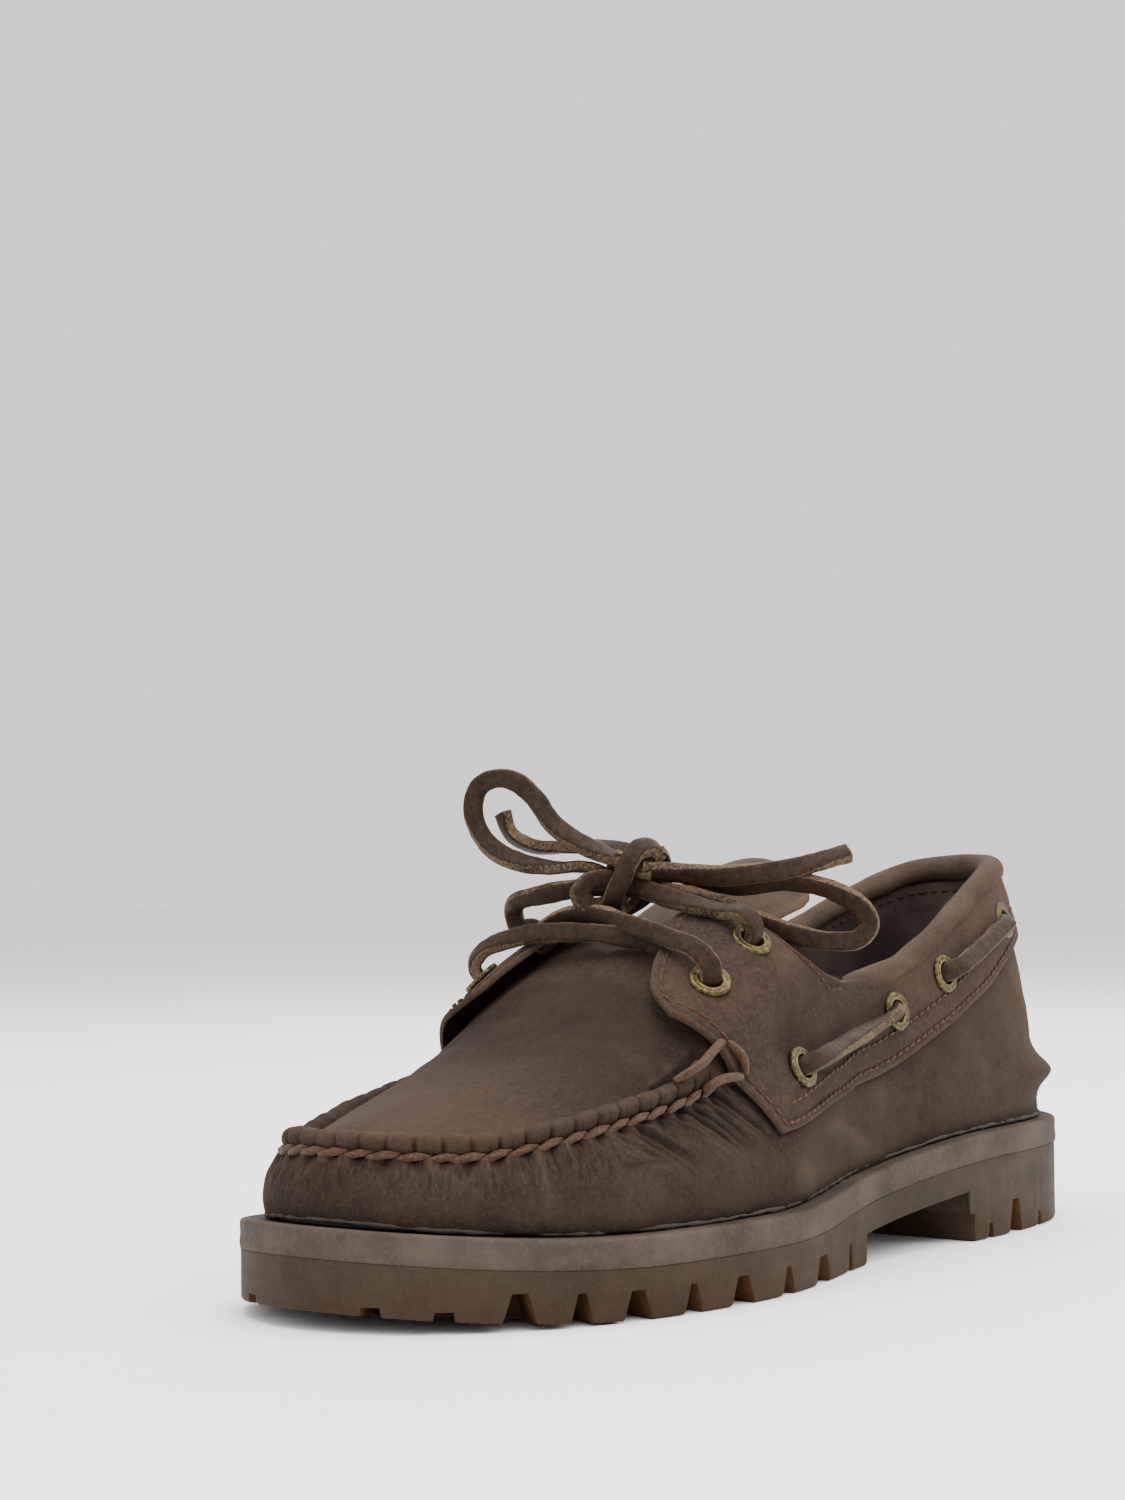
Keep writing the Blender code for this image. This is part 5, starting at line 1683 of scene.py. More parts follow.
    def outsole(self, rubber: bpy.types.Material, cut_rubber: bpy.types.Material) -> bpy.types.Object:
        """Cuts notches, cross grooves and the heel's step into a plate, and rounds its edges.

        Args:
            rubber: Finish of the moulded faces.
            cut_rubber: Finish inside the notches and grooves.

        Returns:
            The outsole.
        """
        breaks = (self.heel_breast / self.last.length, self.forefoot_rear / self.last.length)
        turn = (1 - np.cos(np.linspace(0, math.pi, 150))) / 2
        kept = [s for s in turn if all(abs(s - b) > 0.002 for b in breaks)]
        stations = np.array(sorted(kept + [b + d for b in breaks for d in (-0.0008, 0.0008)]))
        top = self.last.welt_top
        obj = self.plate("outsole_rubber", [
            (self.rounding, self.bottom),
            (0.0002, lambda x: self.bottom(x) + self.rounding),
            (0.0002, lambda x: top(x) - self.band_height),
        ], stations)
        obj.data.materials.append(rubber)
        notches = [self.notch(side, row) for side in Side for row in self.NOTCHES]
        grooves = []
        outer, inner = self.last.side_points(self.lug_reach + 0.006, np.linspace(0, 1, 200))
        for station in self.GROOVES:
            x = self.last.back + station * self.last.length
            high, low = np.interp(x, outer[:, 0], outer[:, 1]), np.interp(x, inner[:, 0], inner[:, 1])
            z = float(self.last.tread_bottom(x))
            grooves.append(self.box((x - self.groove / 2, low, z - 0.001), (x + self.groove / 2, high, z + 0.0045)))
        breast = self.last.back + self.heel_breast
        wide = self.last.ball_width
        lift = self.box((breast - self.top_lift_setback, -wide, -0.001), (breast + 0.001, wide, self.top_lift))
        for name, boxes in (("notches", notches), ("grooves", grooves), ("lift", [lift])):
            tool = face_outwards(add_mesh(name, *self.cutter(boxes)))
            tool.data.materials.append(cut_rubber if name != "lift" else rubber)
            cut_away(obj, tool)
        bevel = obj.modifiers.new("edges", "BEVEL")
        bevel.width = self.edge_bevel
        bevel.segments = 2
        bevel.limit_method = "ANGLE"
        bevel.angle_limit = math.radians(42)
        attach(obj, "root")
        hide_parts("outsole")
        return obj

    def box(self, low: tuple, high: tuple) -> Array:
        """Corners of an upright box.

        Args:
            low: Its lowest corner.
            high: Its highest corner.

        Returns:
            Eight corners.
        """
        return np.array([(x, y, z) for x in (low[0], high[0]) for y in (low[1], high[1]) for z in (low[2], high[2])])


def cut_away(obj: bpy.types.Object, tool: bpy.types.Object) -> None:
    """Cuts one object with another, which is then removed; the cut takes the tool's material.

    Args:
        obj: What is cut.
        tool: What it is cut with.
    """
    modifier = obj.modifiers.new("cut", "BOOLEAN")
    modifier.operation = "DIFFERENCE"
    modifier.solver = "EXACT"
    modifier.material_mode = "TRANSFER"
    modifier.object = tool
    view = bpy.context.evaluated_depsgraph_get()
    mesh = bpy.data.meshes.new_from_object(obj.evaluated_get(view))
    obj.modifiers.clear()
    obj.data = mesh
    bpy.data.objects.remove(tool, do_unlink=True)


# Upper


@dataclass
class Seam:
    """The moccasin seam's measures, shared by the ridge, its gathers and its thread."""

    last: Last
    start: float = 0.680
    ramp: float = 0.020
    ridge_height: float = 0.0050
    ridge_width: float = 0.0046
    pitch: float = 0.00645

    def __post_init__(self) -> None:
        """Measures the seam line from its outer end round the toe to its inner end."""
        self.rings = np.linspace(
            float(self.last.ring_of(self.start - 0.01, Side.LATERAL)),
            float(self.last.ring_of(self.start - 0.01, Side.MEDIAL)) + 1,
            1500,
        )
        self.line = self.last.skin(self.rings, 1.0)
        self.run = lengths_along(self.line)

    def along(self, ring: Array) -> Array:
        """Distance along the seam of a place on the ring, from the seam's outer end.

        Args:
            ring: Place round the sole.

        Returns:
            The distance, which goes on beyond both ends.
        """
        rate = self.run[-1] / (self.rings[-1] - self.rings[0])
        inside = np.interp(ring, self.rings, self.run)
        return inside + rate * (np.minimum(ring - self.rings[0], 0) + np.maximum(ring - self.rings[-1], 0))

    def share(self, station: Array) -> Array:
        """Share of its full height that the ridge has at a station.

        Args:
            station: Station as a share of the length.

        Returns:
            From 0 behind the seam to 1 along it.
        """
        return smooth_step((station - self.start) / self.ramp)


@dataclass
class Upper:
    """The hollow upper: wall, ridge and plug in nubuck outside, lining leather inside."""

    last: Last
    seam: Seam
    eyelets: Eyelets
    finishes: Finishes
    wall: float = 0.0020
    throat_tip: float = 0.653
    half_rear: int = 150
    half_front: int = 226
    inner_step: int = 6

    # Rows up the wall, and rows of the ridge as inset and rise in shares of its width and height
    RIDGE = (
        (0.0008, 0.02), (0.0004, 0.14), (-0.0001, 0.30), (-0.0006, 0.50), (-0.0007, 0.72), (-0.0002, 0.92),
        (0.0008, 1.04), (0.0019, 1.08), (0.0029, 0.99), (0.0036, 0.80), (0.0041, 0.52), (0.0049, 0.20),
    )
    # Side, station and place where a fold starts, the same where it ends, half width and height in millimetres
    FOLDS = (
        (Side.LATERAL, (0.735, 0.96), (0.655, 0.42), 3.0, -1.0), (Side.LATERAL, (0.712, 0.98), (0.640, 0.50), 2.2, 0.8),
        (Side.LATERAL, (0.758, 0.94), (0.690, 0.40), 3.4, 0.8), (Side.LATERAL, (0.700, 0.70), (0.600, 0.25), 3.6, -0.9),
        (Side.LATERAL, (0.660, 0.40), (0.560, 0.14), 4.0, 0.9), (Side.LATERAL, (0.560, 0.30), (0.470, 0.10), 3.2, -0.9),
        (Side.LATERAL, (0.520, 0.38), (0.430, 0.16), 3.0, 0.8), (Side.LATERAL, (0.470, 0.30), (0.400, 0.12), 2.6, -0.7),
        (Side.LATERAL, (0.400, 0.34), (0.320, 0.20), 3.6, 0.6), (Side.LATERAL, (0.250, 0.50), (0.160, 0.22), 5.0, -0.6),
        (Side.LATERAL, (0.110, 0.55), (0.050, 0.28), 4.0, 0.6), (Side.LATERAL, (0.800, 0.55), (0.740, 0.20), 4.0, -0.6),
        (Side.LATERAL, (0.880, 0.60), (0.900, 0.20), 5.0, 0.5), (Side.MEDIAL, (0.735, 0.96), (0.660, 0.42), 3.0, -0.9),
        (Side.MEDIAL, (0.700, 0.80), (0.620, 0.30), 3.4, 0.8), (Side.MEDIAL, (0.560, 0.34), (0.470, 0.12), 3.4, -0.8),
        (Side.MEDIAL, (0.480, 0.40), (0.380, 0.16), 3.4, 0.7), (Side.MEDIAL, (0.250, 0.50), (0.150, 0.24), 5.0, -0.6),
        (Side.LATERAL, (0.690, 1.20), (0.745, 1.90), 3.2, -0.9), (Side.LATERAL, (0.730, 1.18), (0.775, 1.80), 3.6, 0.7),
        (Side.MEDIAL, (0.690, 1.20), (0.740, 1.90), 3.0, -0.7), (Side.MEDIAL, (0.750, 1.20), (0.800, 1.85), 4.0, 0.6),
    )

    def columns(self) -> tuple[Array, int]:
        """Places on the ring of the columns, so that inner and outer ones meet on the ridge line.

        Returns:
            The places, and the number of columns on the outer side.
        """
        throat = {}
        for side, heel in ((Side.LATERAL, 0.0), (Side.MEDIAL, 1.0)):
            rings = np.linspace(heel, self.last.toe_ring, 1500)
            stations = self.last.station(self.last.skin(rings, 2.0)[..., 0])
            order = np.argsort(stations)
            throat[side] = (stations[order], rings[order])
        start = float(np.interp(self.throat_tip, *throat[Side.LATERAL]))
        front = np.linspace(start, self.last.toe_ring, self.half_front + 1)[:-1]
        rear = np.linspace(0, 1, self.half_rear + 1)[:-1]
        lateral = np.r_[start * rear, front]
        medial_start = float(np.interp(self.throat_tip, *throat[Side.MEDIAL]))
        stations = self.last.station(self.last.skin(front, 2.0)[..., 0])
        medial = np.r_[1 - (1 - medial_start) * rear, np.interp(stations, *throat[Side.MEDIAL])]
        return np.r_[lateral, self.last.toe_ring, medial[:0:-1]], len(lateral)

    def places(self, rings: Array) -> tuple[Array, Array]:
        """Place up the rib of each point of each column.

        Args:
            rings: The columns.

        Returns:
            The places as rows by columns, and each column's share of the ridge.
        """
        station = self.last.ring_station(rings)
        foot, top = self.last.skin(rings, 1.0), self.last.skin(rings, 2.0)
        span = np.linalg.norm((top - foot)[:, :2], axis=1)
        at_top = self.last.station(top[:, 0])
        edge = np.where(at_top >= self.throat_tip - 1e-4, 2.0, self.last.free_edge(station))
        wall = np.r_[np.linspace(0, 0.80, 34), np.linspace(0.80, 1.0, 13)[1:]]
        steps = np.linspace(0, 1, len(self.RIDGE) + 1)[1:]
        ridge = [1 + (self.seam.ridge_width * 1.12 * s / span) ** (1 / self.last.rib_ease) for s in steps]
        plug = [ridge[-1] + (2.0 - ridge[-1]) * t for t in np.linspace(0, 1, 46)[1:]]
        front = np.array([np.full(len(rings), row) for row in wall] + ridge + plug)
        self.wall_rows = len(wall)
        front = np.where(front > 1, 1 + (front - 1) * (edge - 1), front)
        even = np.linspace(0, 1, len(front))[:, None] * edge
        rear = smooth_step((0.62 - station) / 0.14)
        return front * (1 - rear) + even * rear, self.seam.share(station)

    def raise_ridge(self, rings: Array, base: Array, share: Array) -> Array:
        """Moves the ridge's rows to its section, creased at each stitch.

        Args:
            rings: The columns.
            base: The skin's points as rows by columns.
            share: Each column's share of the ridge.

        Returns:
            The points with the ridge.
        """
        inward = self.last.around(self.last.inward, rings)
        along = self.seam.along(rings)
        phase = 2 * math.pi * along / self.seam.pitch
        pinch = 0.5 + 0.5 * np.cos(phase + 0.5 * line_noise(along, 0.02, 3))
        tall = 1 - 0.03 * pinch**14 + 0.05 * line_noise(along, 0.009, 4)
        moved = base.copy()
        first = self.wall_rows - 1
        seam = base[first]
        for step, (inset, rise) in enumerate(self.RIDGE):
            row = first + step
            crease = 0.0009 * pinch**14 * max(0.0, 1 - abs(rise - 0.45) / 0.85) * (inset < 0.002)
            wave = 0.0004 * line_noise(along, 0.008, 8) * (rise > 0.6)
            target = seam.copy()
            target[:, :2] += inward * (inset + crease + wave)[:, None]
            target[:, 2] += rise * self.seam.ridge_height * tall
            moved[row] += (target - base[row]) * share[:, None]
        return moved

    def relief(self, rings: Array, places: Array, base: Array, share: Array) -> Array:
        """Height that the leather's own folds add along the normal.

        Gathers under the stitches are a cosine of the distance along the seam; pleats and fine creases are ridged
        noise stretched up the wall; the listed folds are bells across a line.

        Args:
            rings: The columns.
            places: Places up the rib as rows by columns.
            base: The skin's points.
            share: Each column's share of the ridge.

        Returns:
            Heights as rows by columns.
        """
        along = self.seam.along(rings)[None, :] + 0 * places
        station = self.last.ring_station(rings)[None, :] + 0 * places
        below = np.clip(1 - places, 0, 1)
        depth = below * 0.040
        wall = places <= 1.0
        phase = 2 * math.pi * along / self.seam.pitch
        gather = -0.00085 * np.cos(phase) * bell(below / 0.15) * wall * share
        toe = smooth_step((station - 0.80) / 0.08)
        lines = lattice_noise(np.stack([along, depth * 0.16, 0 * along], axis=-1), 0.0024, 11)
        fine = 0.00070 * lines * toe * smooth_step((0.62 - below) / 0.4) * smooth_step(below / 0.05) * wall
        side = smooth_step((station - 0.585) / 0.05) * smooth_step((0.83 - station) / 0.06)
        slanted = along + self.slant(rings, below)
        pleat = lattice_noise(np.stack([slanted, depth * 0.10, 0 * along], axis=-1), 0.0036, 12)
        pleats = 0.0020 * (0.28 - np.abs(pleat)) * side * smooth_step((0.66 - below) / 0.40) * wall
        soft = 0.00055 * lattice_noise(base, 0.024, 13) + 0.00024 * lattice_noise(base, 0.009, 14)
        soft = soft + 0.00008 * lattice_noise(base, 0.0032, 15)
        calm = 0.35 + 0.65 * smooth_step((0.90 - station) / 0.25)
        height = gather + fine + pleats + soft * calm - 0.0009 * self.pleat_lines(rings, places)
        pocket = smooth_step((places - 1.14) / 0.05) * smooth_step((1.42 - places) / 0.2) * share
        height = height - 0.00035 * np.cos(phase) * pocket * (places > 1.1)
        return height + self.folds(rings, places, base)

    def slant(self, rings: Array, below: Array) -> Array:
        """How far the pleats lean back along the seam: more and more below it, on both sides of the toe.

        Args:
            rings: The columns.
            below: Share of the wall's rib below the seam, as rows by columns.

        Returns:
            Distances along the seam.
        """
        return np.where(rings[None, :] < self.last.toe_ring, 1, -1) * 0.040 * below * 0.80

    def pleat_lines(self, rings: Array, places: Array) -> Array:
        """Sharp valleys of the pleats, one or two to a stitch, that start at the seam and fade down the wall.

        Args:
            rings: The columns.
            places: Places up the rib as rows by columns.

        Returns:
            Depth of the valleys as shares, rows by columns.
        """
        below = np.clip(1 - places, 0, 1)
        at = self.seam.along(rings)[None, :] + self.slant(rings, below)
        at = at + 0.0009 * line_noise(at, 0.011, 16)
        station = self.last.ring_station(rings)[None, :]
        side = smooth_step((station - 0.575) / 0.03) * smooth_step((0.86 - station) / 0.08)
        strength = 0.5 + 0.5 * line_noise(at, 0.010, 17)
        main = (0.5 + 0.5 * np.cos(2 * math.pi * at / self.seam.pitch)) ** 5
        second = (0.5 - 0.5 * np.cos(2 * math.pi * at / self.seam.pitch)) ** 6
        reach = smooth_step((0.42 + 0.22 * strength - below) / 0.34) * smooth_step(below / 0.03)
        valley = np.maximum(main * (0.55 + 0.45 * strength), 0.8 * second * strength)
        return valley * side * reach * (places <= 1.0)

    def folds(self, rings: Array, places: Array, base: Array) -> Array:
        """Height of the listed folds.

        Args:
            rings: The columns; not used.
            places: Places up the rib.
            base: The skin's points.

        Returns:
            Heights.
        """
        total = np.zeros(places.shape)
        for side, start, end, width, height in self.FOLDS:
            ends = []
            for station, place in (start, end):
                ends.append(self.last.skin(float(self.last.ring_of(station, side)), place))
            a, b = ends
            line = b - a
            share = np.clip(((base - a) @ line) / np.dot(line, line), 0, 1)
            bend = 0.0016 * np.sin(share * 5.0 + height * 3)
            nearest = a + share[..., None] * line
            nearest[..., 0] += bend
            distance = np.linalg.norm(base - nearest, axis=-1)
            total += height * MM * bell(distance / (width * MM)) * np.sin(math.pi * np.clip(share, 0.12, 0.88)) ** 0.5
        return total

    def build(self, panel: "Panel") -> bpy.types.Object:
        """Builds the outer skin with its relief, the inner face and the rims between them.

        Args:
            panel: The panel, whose edge shades the leather beside it.

        Returns:
            The upper.
        """
        rings, half = self.columns()
        places, share = self.places(rings)
        rows, count = places.shape
        base = self.last.skin(rings[None, :], places)
        normal = self.grid_normals(base)
        height = self.relief(rings, places, base, share)
        covered = panel.covers(rings, places)
        height = height * (1 - covered) - 0.0004 * covered
        height[-1] *= 0.4
        joined = np.arange(self.half_rear, half)
        height[-1, count - joined] = height[-1, joined]
        ridged = self.raise_ridge(rings, base, share)
        outer = ridged + normal * height[..., None]
        outer = self.eyelets.pits(outer, normal, 0.0013, 0.0031, 0.0042)
        inner_rows = np.r_[np.arange(0, rows - 1, self.inner_step), rows - 1]
        inner = (base - normal * self.wall + normal * (0.3 * height)[..., None])[inner_rows]
        inner[0, :, 2] = base[0, :, 2]
        index = np.arange(rows * count).reshape(rows, count)
        index[-1, count - joined] = index[-1, joined]
        under = rows * count + np.arange(len(inner_rows) * count).reshape(-1, count)
        under[-1, count - joined] = under[-1, joined]
        faces = [self.quads(index), self.quads(under)[:, ::-1]]
        across = np.roll(np.arange(count), -1)
        faces.append(np.stack([index[0, across], index[0], under[0], under[0, across]], axis=-1))
        open_columns = np.r_[np.arange(self.half_rear), np.arange(count - self.half_rear, count)]
        over = (open_columns + 1) % count
        faces.append(
            np.stack([index[-1, open_columns], index[-1, over], under[-1, over], under[-1, open_columns]], axis=-1)
        )
        every = np.vstack([outer.reshape(-1, 3), inner.reshape(-1, 3)])
        quads = np.vstack(faces)
        used, renumbered = np.unique(quads, return_inverse=True)
        obj = add_mesh("upper_shell", every[used], renumbered.reshape(quads.shape), 75)
        obj = face_outwards(obj)
        wear, shade = self.surface_values(rings, places, height, share, panel)
        fill = np.zeros(len(inner_rows) * count)
        set_attribute(obj, "wear", np.r_[wear.ravel(), fill][used])
        set_attribute(obj, "shade", np.r_[shade.ravel(), fill][used])
        along, drop, crease = self.crease_values(rings, places, share, covered)
        for name, values in (("run", along), ("drop", drop), ("crease", crease)):
            set_attribute(obj, name, np.r_[values.ravel(), fill][used])
        obj.data.materials.append(self.finishes.nubuck)
        obj.data.materials.append(self.finishes.lining)
        obj.data.polygons.foreach_set("material_index", self.lined(obj, used, rows * count))
        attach(obj, "root")
        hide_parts("upper")
        return obj

    def crease_values(self, rings: Array, places: Array, share: Array, covered: Array) -> tuple:
        """Where the finish draws its fine creases, as bumps and as painted shade in their valleys.

        Args:
            rings: The columns.
            places: Places up the rib.
            share: Each column's share of the ridge.
            covered: Where the panel lies over the leather.

        Returns:
            Distance along the seam, distance below it and strength, as rows by columns.
        """
        along = self.seam.along(rings)[None, :] + 0 * places
        below = np.clip(1 - places, 0, 1)
        drop = below * 0.040
        station = self.last.ring_station(rings)[None, :]
        side = smooth_step((station - 0.55) / 0.08) * smooth_step((0.83 - station) / 0.06)
        slant = self.slant(rings, below) * side
        strength = smooth_step((0.80 - below) / 0.55) * smooth_step((station - 0.54) / 0.08) * (places <= 1.06)
        ridge = (places > 1.0) * (places < 1.12) * share * 0.8
        return along + slant, drop, np.maximum(strength * (1 - covered) * (1 - 0.35 * side), ridge)

    def quads(self, index: Array) -> Array:
        """Quads of a grid of vertex numbers that closes round the shoe, without the collapsed ones.

        Args:
            index: Vertex numbers as rows by columns.

        Returns:
            Quads.
        """
        next_column = np.roll(index, -1, 1)
        quads = np.stack([index[:-1], next_column[:-1], next_column[1:], index[1:]], axis=-1).reshape(-1, 4)
        return quads[(quads[:, 2] != quads[:, 3])]

    def lined(self, obj: bpy.types.Object, used: Array, outer_count: int) -> Array:
        """Material number of each face: 1 where every corner is on the inner face.

        Args:
            obj: The upper.
            used: Old number of each vertex.
            outer_count: Number of vertices of the outer skin.

        Returns:
            One number a face.
        """
        inside = used >= outer_count
        starts = np.empty(len(obj.data.polygons), np.int32)
        corners = np.empty(len(obj.data.loops), np.int32)
        obj.data.polygons.foreach_get("loop_start", starts)
        obj.data.loops.foreach_get("vertex_index", corners)
        return np.logical_and.reduceat(inside[corners], starts).astype(np.int32)

    def grid_normals(self, points: Array) -> Array:
        """Normals of a grid that closes round the shoe, facing out.

        Args:
            points: Points as rows by columns.

        Returns:
            Unit vectors.
        """
        across = np.roll(points, -1, 1) - np.roll(points, 1, 1)
        upward = np.gradient(points, axis=0)
        normal = np.cross(upward, across)
        size = np.linalg.norm(normal, axis=-1, keepdims=True)
        normal = normal / np.maximum(size, 1e-12)
        top = normal[-2].copy()
        count = points.shape[1]
        joined = np.arange(self.half_rear, (count + 1) // 2)
        both = top[joined] + top[(count - joined) % count]
        both /= np.linalg.norm(both, axis=-1, keepdims=True)
        normal[-1, joined] = both
        normal[-1, (count - joined) % count] = both
        return normal

    def surface_values(self, rings: Array, places: Array, height: Array, share: Array, panel: "Panel") -> tuple:
        """Wear, painted highlight and painted shade of the outer skin.

        Args:
            rings: The columns.
            places: Places up the rib.
            height: The relief.
            share: Each column's share of the ridge.
            panel: The panel.

        Returns:
            Wear with painted highlight, and painted shade, as rows by columns.
        """
        row = np.arange(len(places))[:, None]
        first = self.wall_rows - 1
        lip = bell((row - first - 5.2) / 1.8) * share
        crest = np.clip(height / 0.0006 - 0.35, 0, 1) * 0.5
        station = self.last.ring_station(rings)[None, :]
        on_plug = smooth_step((places - 1.2) / 0.1) * share
        # Painted highlight: the front of the plug lighter, where the top light falls
        plug = on_plug * 0.30 * smooth_step((station - 0.80) / 0.12)
        # Painted highlight: the heel lighter
        heel = 0.34 * smooth_step((0.26 - station) / 0.22) * (places <= 1.0)
        wear = np.clip(0.30 * lip + crest + plug + heel, 0, 1)
        # Painted shade: darker at the foot of the wall
        foot = bell(places / 0.055)
        # Painted shade in the relief's hollows and over the middle and rear of the plug
        hollow_painted_shade = np.clip(-height / 0.0007 - 0.80, 0, 1) * 0.6
        hollow_painted_shade = np.maximum(hollow_painted_shade, 0.62 * on_plug * smooth_step((0.90 - station) / 0.13))
        # Painted shade: dark lines at the ridge's outer foot, in its creases at each stitch, in the gap along its crest
        # and at its foot on the plug
        ridge_painted_shade = bell((row - first - 0.5) / 1.3) * share * 0.8
        pinch = (0.5 + 0.5 * np.cos(2 * math.pi * self.seam.along(rings) / self.seam.pitch)) ** 9
        ridge_painted_shade = np.maximum(ridge_painted_shade, 1.0 * pinch * bell((row - first - 3.5) / 3.6) * share)
        ridge_painted_shade = np.maximum(ridge_painted_shade, 0.8 * bell((row - first - 7.4) / 0.8) * share)
        ridge_painted_shade = np.maximum(ridge_painted_shade, 0.7 * bell((row - first - len(self.RIDGE) + 0.5) / 1.3) * share)
        # Painted shade under the panel's lower edge
        edge = panel.edge_places(rings)
        under = smooth_step((places - edge[None, :] + 0.05) / 0.05) * (places < edge[None, :] + 0.1)
        # Painted shade in the pleats' valleys
        valley = 0.75 * self.pleat_lines(rings, places)
        shade = np.clip(0.9 * foot + hollow_painted_shade + ridge_painted_shade + 0.7 * under + valley, 0, 1)
        return wear, shade


def capsule(length: float, width: float, twist: float, rows: int = 16, sides: int = 10) -> tuple[Array, Array]:
    """One stitch along its X axis: a pointed ellipse whose strands wind round it as shallow helical furrows.

    Args:
        length: Its length.
        width: Its width.
        twist: Turns of the strands over its length.
        rows: Number of rings.
        sides: Points round each ring.

    Returns:
        Points and quads, with both poles drawn together.
    """
    t = np.linspace(0, 1, rows)[:, None]
    angle = np.linspace(0, 2 * math.pi, sides, endpoint=False)[None, :]
    radius = width / 2 * np.maximum(np.sin(math.pi * t), 0.0) ** 0.50
    strand = 1 - 0.20 * np.abs(np.cos(1.5 * (angle - 2 * math.pi * twist * t)))
    x = length * (t - 0.5) + 0 * angle
    y, z = radius * strand * np.cos(angle), radius * strand * np.sin(angle)
    droop = -0.12 * width * (2 * t - 1) ** 2
    points = np.stack([x, y, z + droop], axis=-1).reshape(-1, 3)
    return points, grid_faces(rows, sides, round_columns=True)


@dataclass
class Stitching:
    """Stitches laid along a line on a surface."""

    length: float
    width: float
    pitch: float
    tilt: float
    twist: float
    rows: int = 16
    sides: int = 10

    def lay(self, name: str, line: Array, outwards: Array, material: bpy.types.Material, seed: int) -> bpy.types.Object:
        """Places stitches at an even pitch along a line.

        Args:
            name: The object's name.
            line: Points in order, close together.
            outwards: The surface's normal at each point.
            material: The thread's finish.
            seed: Number that picks their unevenness.

        Returns:
            The stitches as one object.
        """
        run = lengths_along(line)
        at = np.arange(self.pitch / 2, run[-1], self.pitch)
        chance = np.random.default_rng(seed)
        at = at + chance.normal(0, self.pitch * 0.03, len(at))
        read = lambda values, where: np.column_stack([np.interp(where, run, values[:, k]) for k in range(3)])
        places, out = read(line, at), read(outwards, at)
        ahead = read(line, at + self.length / 3) - read(line, at - self.length / 3)
        ahead /= np.linalg.norm(ahead, axis=1, keepdims=True)
        out -= ahead * np.sum(out * ahead, axis=1, keepdims=True)
        out /= np.linalg.norm(out, axis=1, keepdims=True)
        side = np.cross(out, ahead)
        lean = np.radians(self.tilt + chance.normal(0, 3.0, len(at)))[:, None]
        turned = ahead * np.cos(lean) + side * np.sin(lean)
        frames = np.stack([turned, np.cross(out, turned), out], axis=1)
        frames *= (1 + chance.normal(0, 0.05, len(at)))[:, None, None]
        points, faces = capsule(self.length, self.width, self.twist, self.rows, self.sides)
        obj = face_outwards(repeated(name, points, faces, frames, places))
        obj.data.materials.append(material)
        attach(obj, "root")
        return obj


@dataclass
class SeamThread:
    """The thick thread of the moccasin seam, with its knotted end on the outer side."""

    last: Last
    seam: Seam
    material: bpy.types.Material
    diameter: float = 0.0023

    # Threads at the seam's outer end: ring, place up the rib and height over the skin
    ENDS = (
        ((0.3473, 1.163, 0.0030), (0.3430, 1.145, 0.0045), (0.3373, 1.135, 0.0054), (0.3288, 1.150, 0.0046),
         (0.3217, 1.160, 0.0034), (0.3167, 1.152, 0.0015)),
        ((0.3162, 1.140, 0.0015), (0.3178, 1.125, 0.0036), (0.3158, 1.085, 0.0040), (0.3145, 1.047, 0.0040),
         (0.3127, 1.015, 0.0030), (0.3092, 0.988, 0.0010)),
        ((0.3347, 1.005, 0.0010), (0.3337, 1.025, 0.0026), (0.3275, 1.027, 0.0034), (0.3218, 0.980, 0.0040),
         (0.3153, 0.968, 0.0030)),
    )

    def build(self) -> list[bpy.types.Object]:
        """Lays the stitches on the ridge's outer base and on its inner side.

        Returns:
            The thread's objects.
        """
        station = self.last.ring_station(self.seam.rings)
        kept = (self.seam.run > 0.004) & (self.seam.run < self.seam.run[-1] - 0.004)
        rings = self.seam.rings[kept]
        out = self.last.normal(rings, 0.93)
        inward = self.last.around(self.last.inward, rings)
        outer = self.last.skin(rings, 0.985) + out * 0.0004
        outer[:, 2] += 0.0004
        rope = Stitching(0.0083, 0.0022, self.seam.pitch, 11.0, 0.55, 20, 18)
        objects = [rope.lay("seam_stitches", outer, out, self.material, 21)]
        inner = self.seam.line[kept].copy()
        inner[:, :2] += inward * 0.0058
        inner[:, 2] += 0.0016
        up = np.column_stack([inward * 0.75, np.full(len(inward), 0.66)])
        small = Stitching(0.0034, 0.0011, self.seam.pitch, -14.0, 1.2)
        objects.append(small.lay("seam_stitches_inner", inner, up, self.material, 22))
        for number, knots in enumerate(self.ENDS):
            ring, place, height = np.array(knots).T
            path = smooth_route(self.last.offset(ring, place, height), 0.0003)
            share = np.linspace(0, 1, len(path))
            size = self.diameter / 2 * (0.55 + 0.45 * np.sin(math.pi * share) ** 0.4)
            end = tube(f"seam_thread_end_{number + 1}", path, size, 16)
            end.data.materials.append(self.material)
            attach(end, "root")
            objects.append(end)
        log.info("seam thread along stations %.2f to %.2f", station.min(), station.max())
        return objects


# Panel


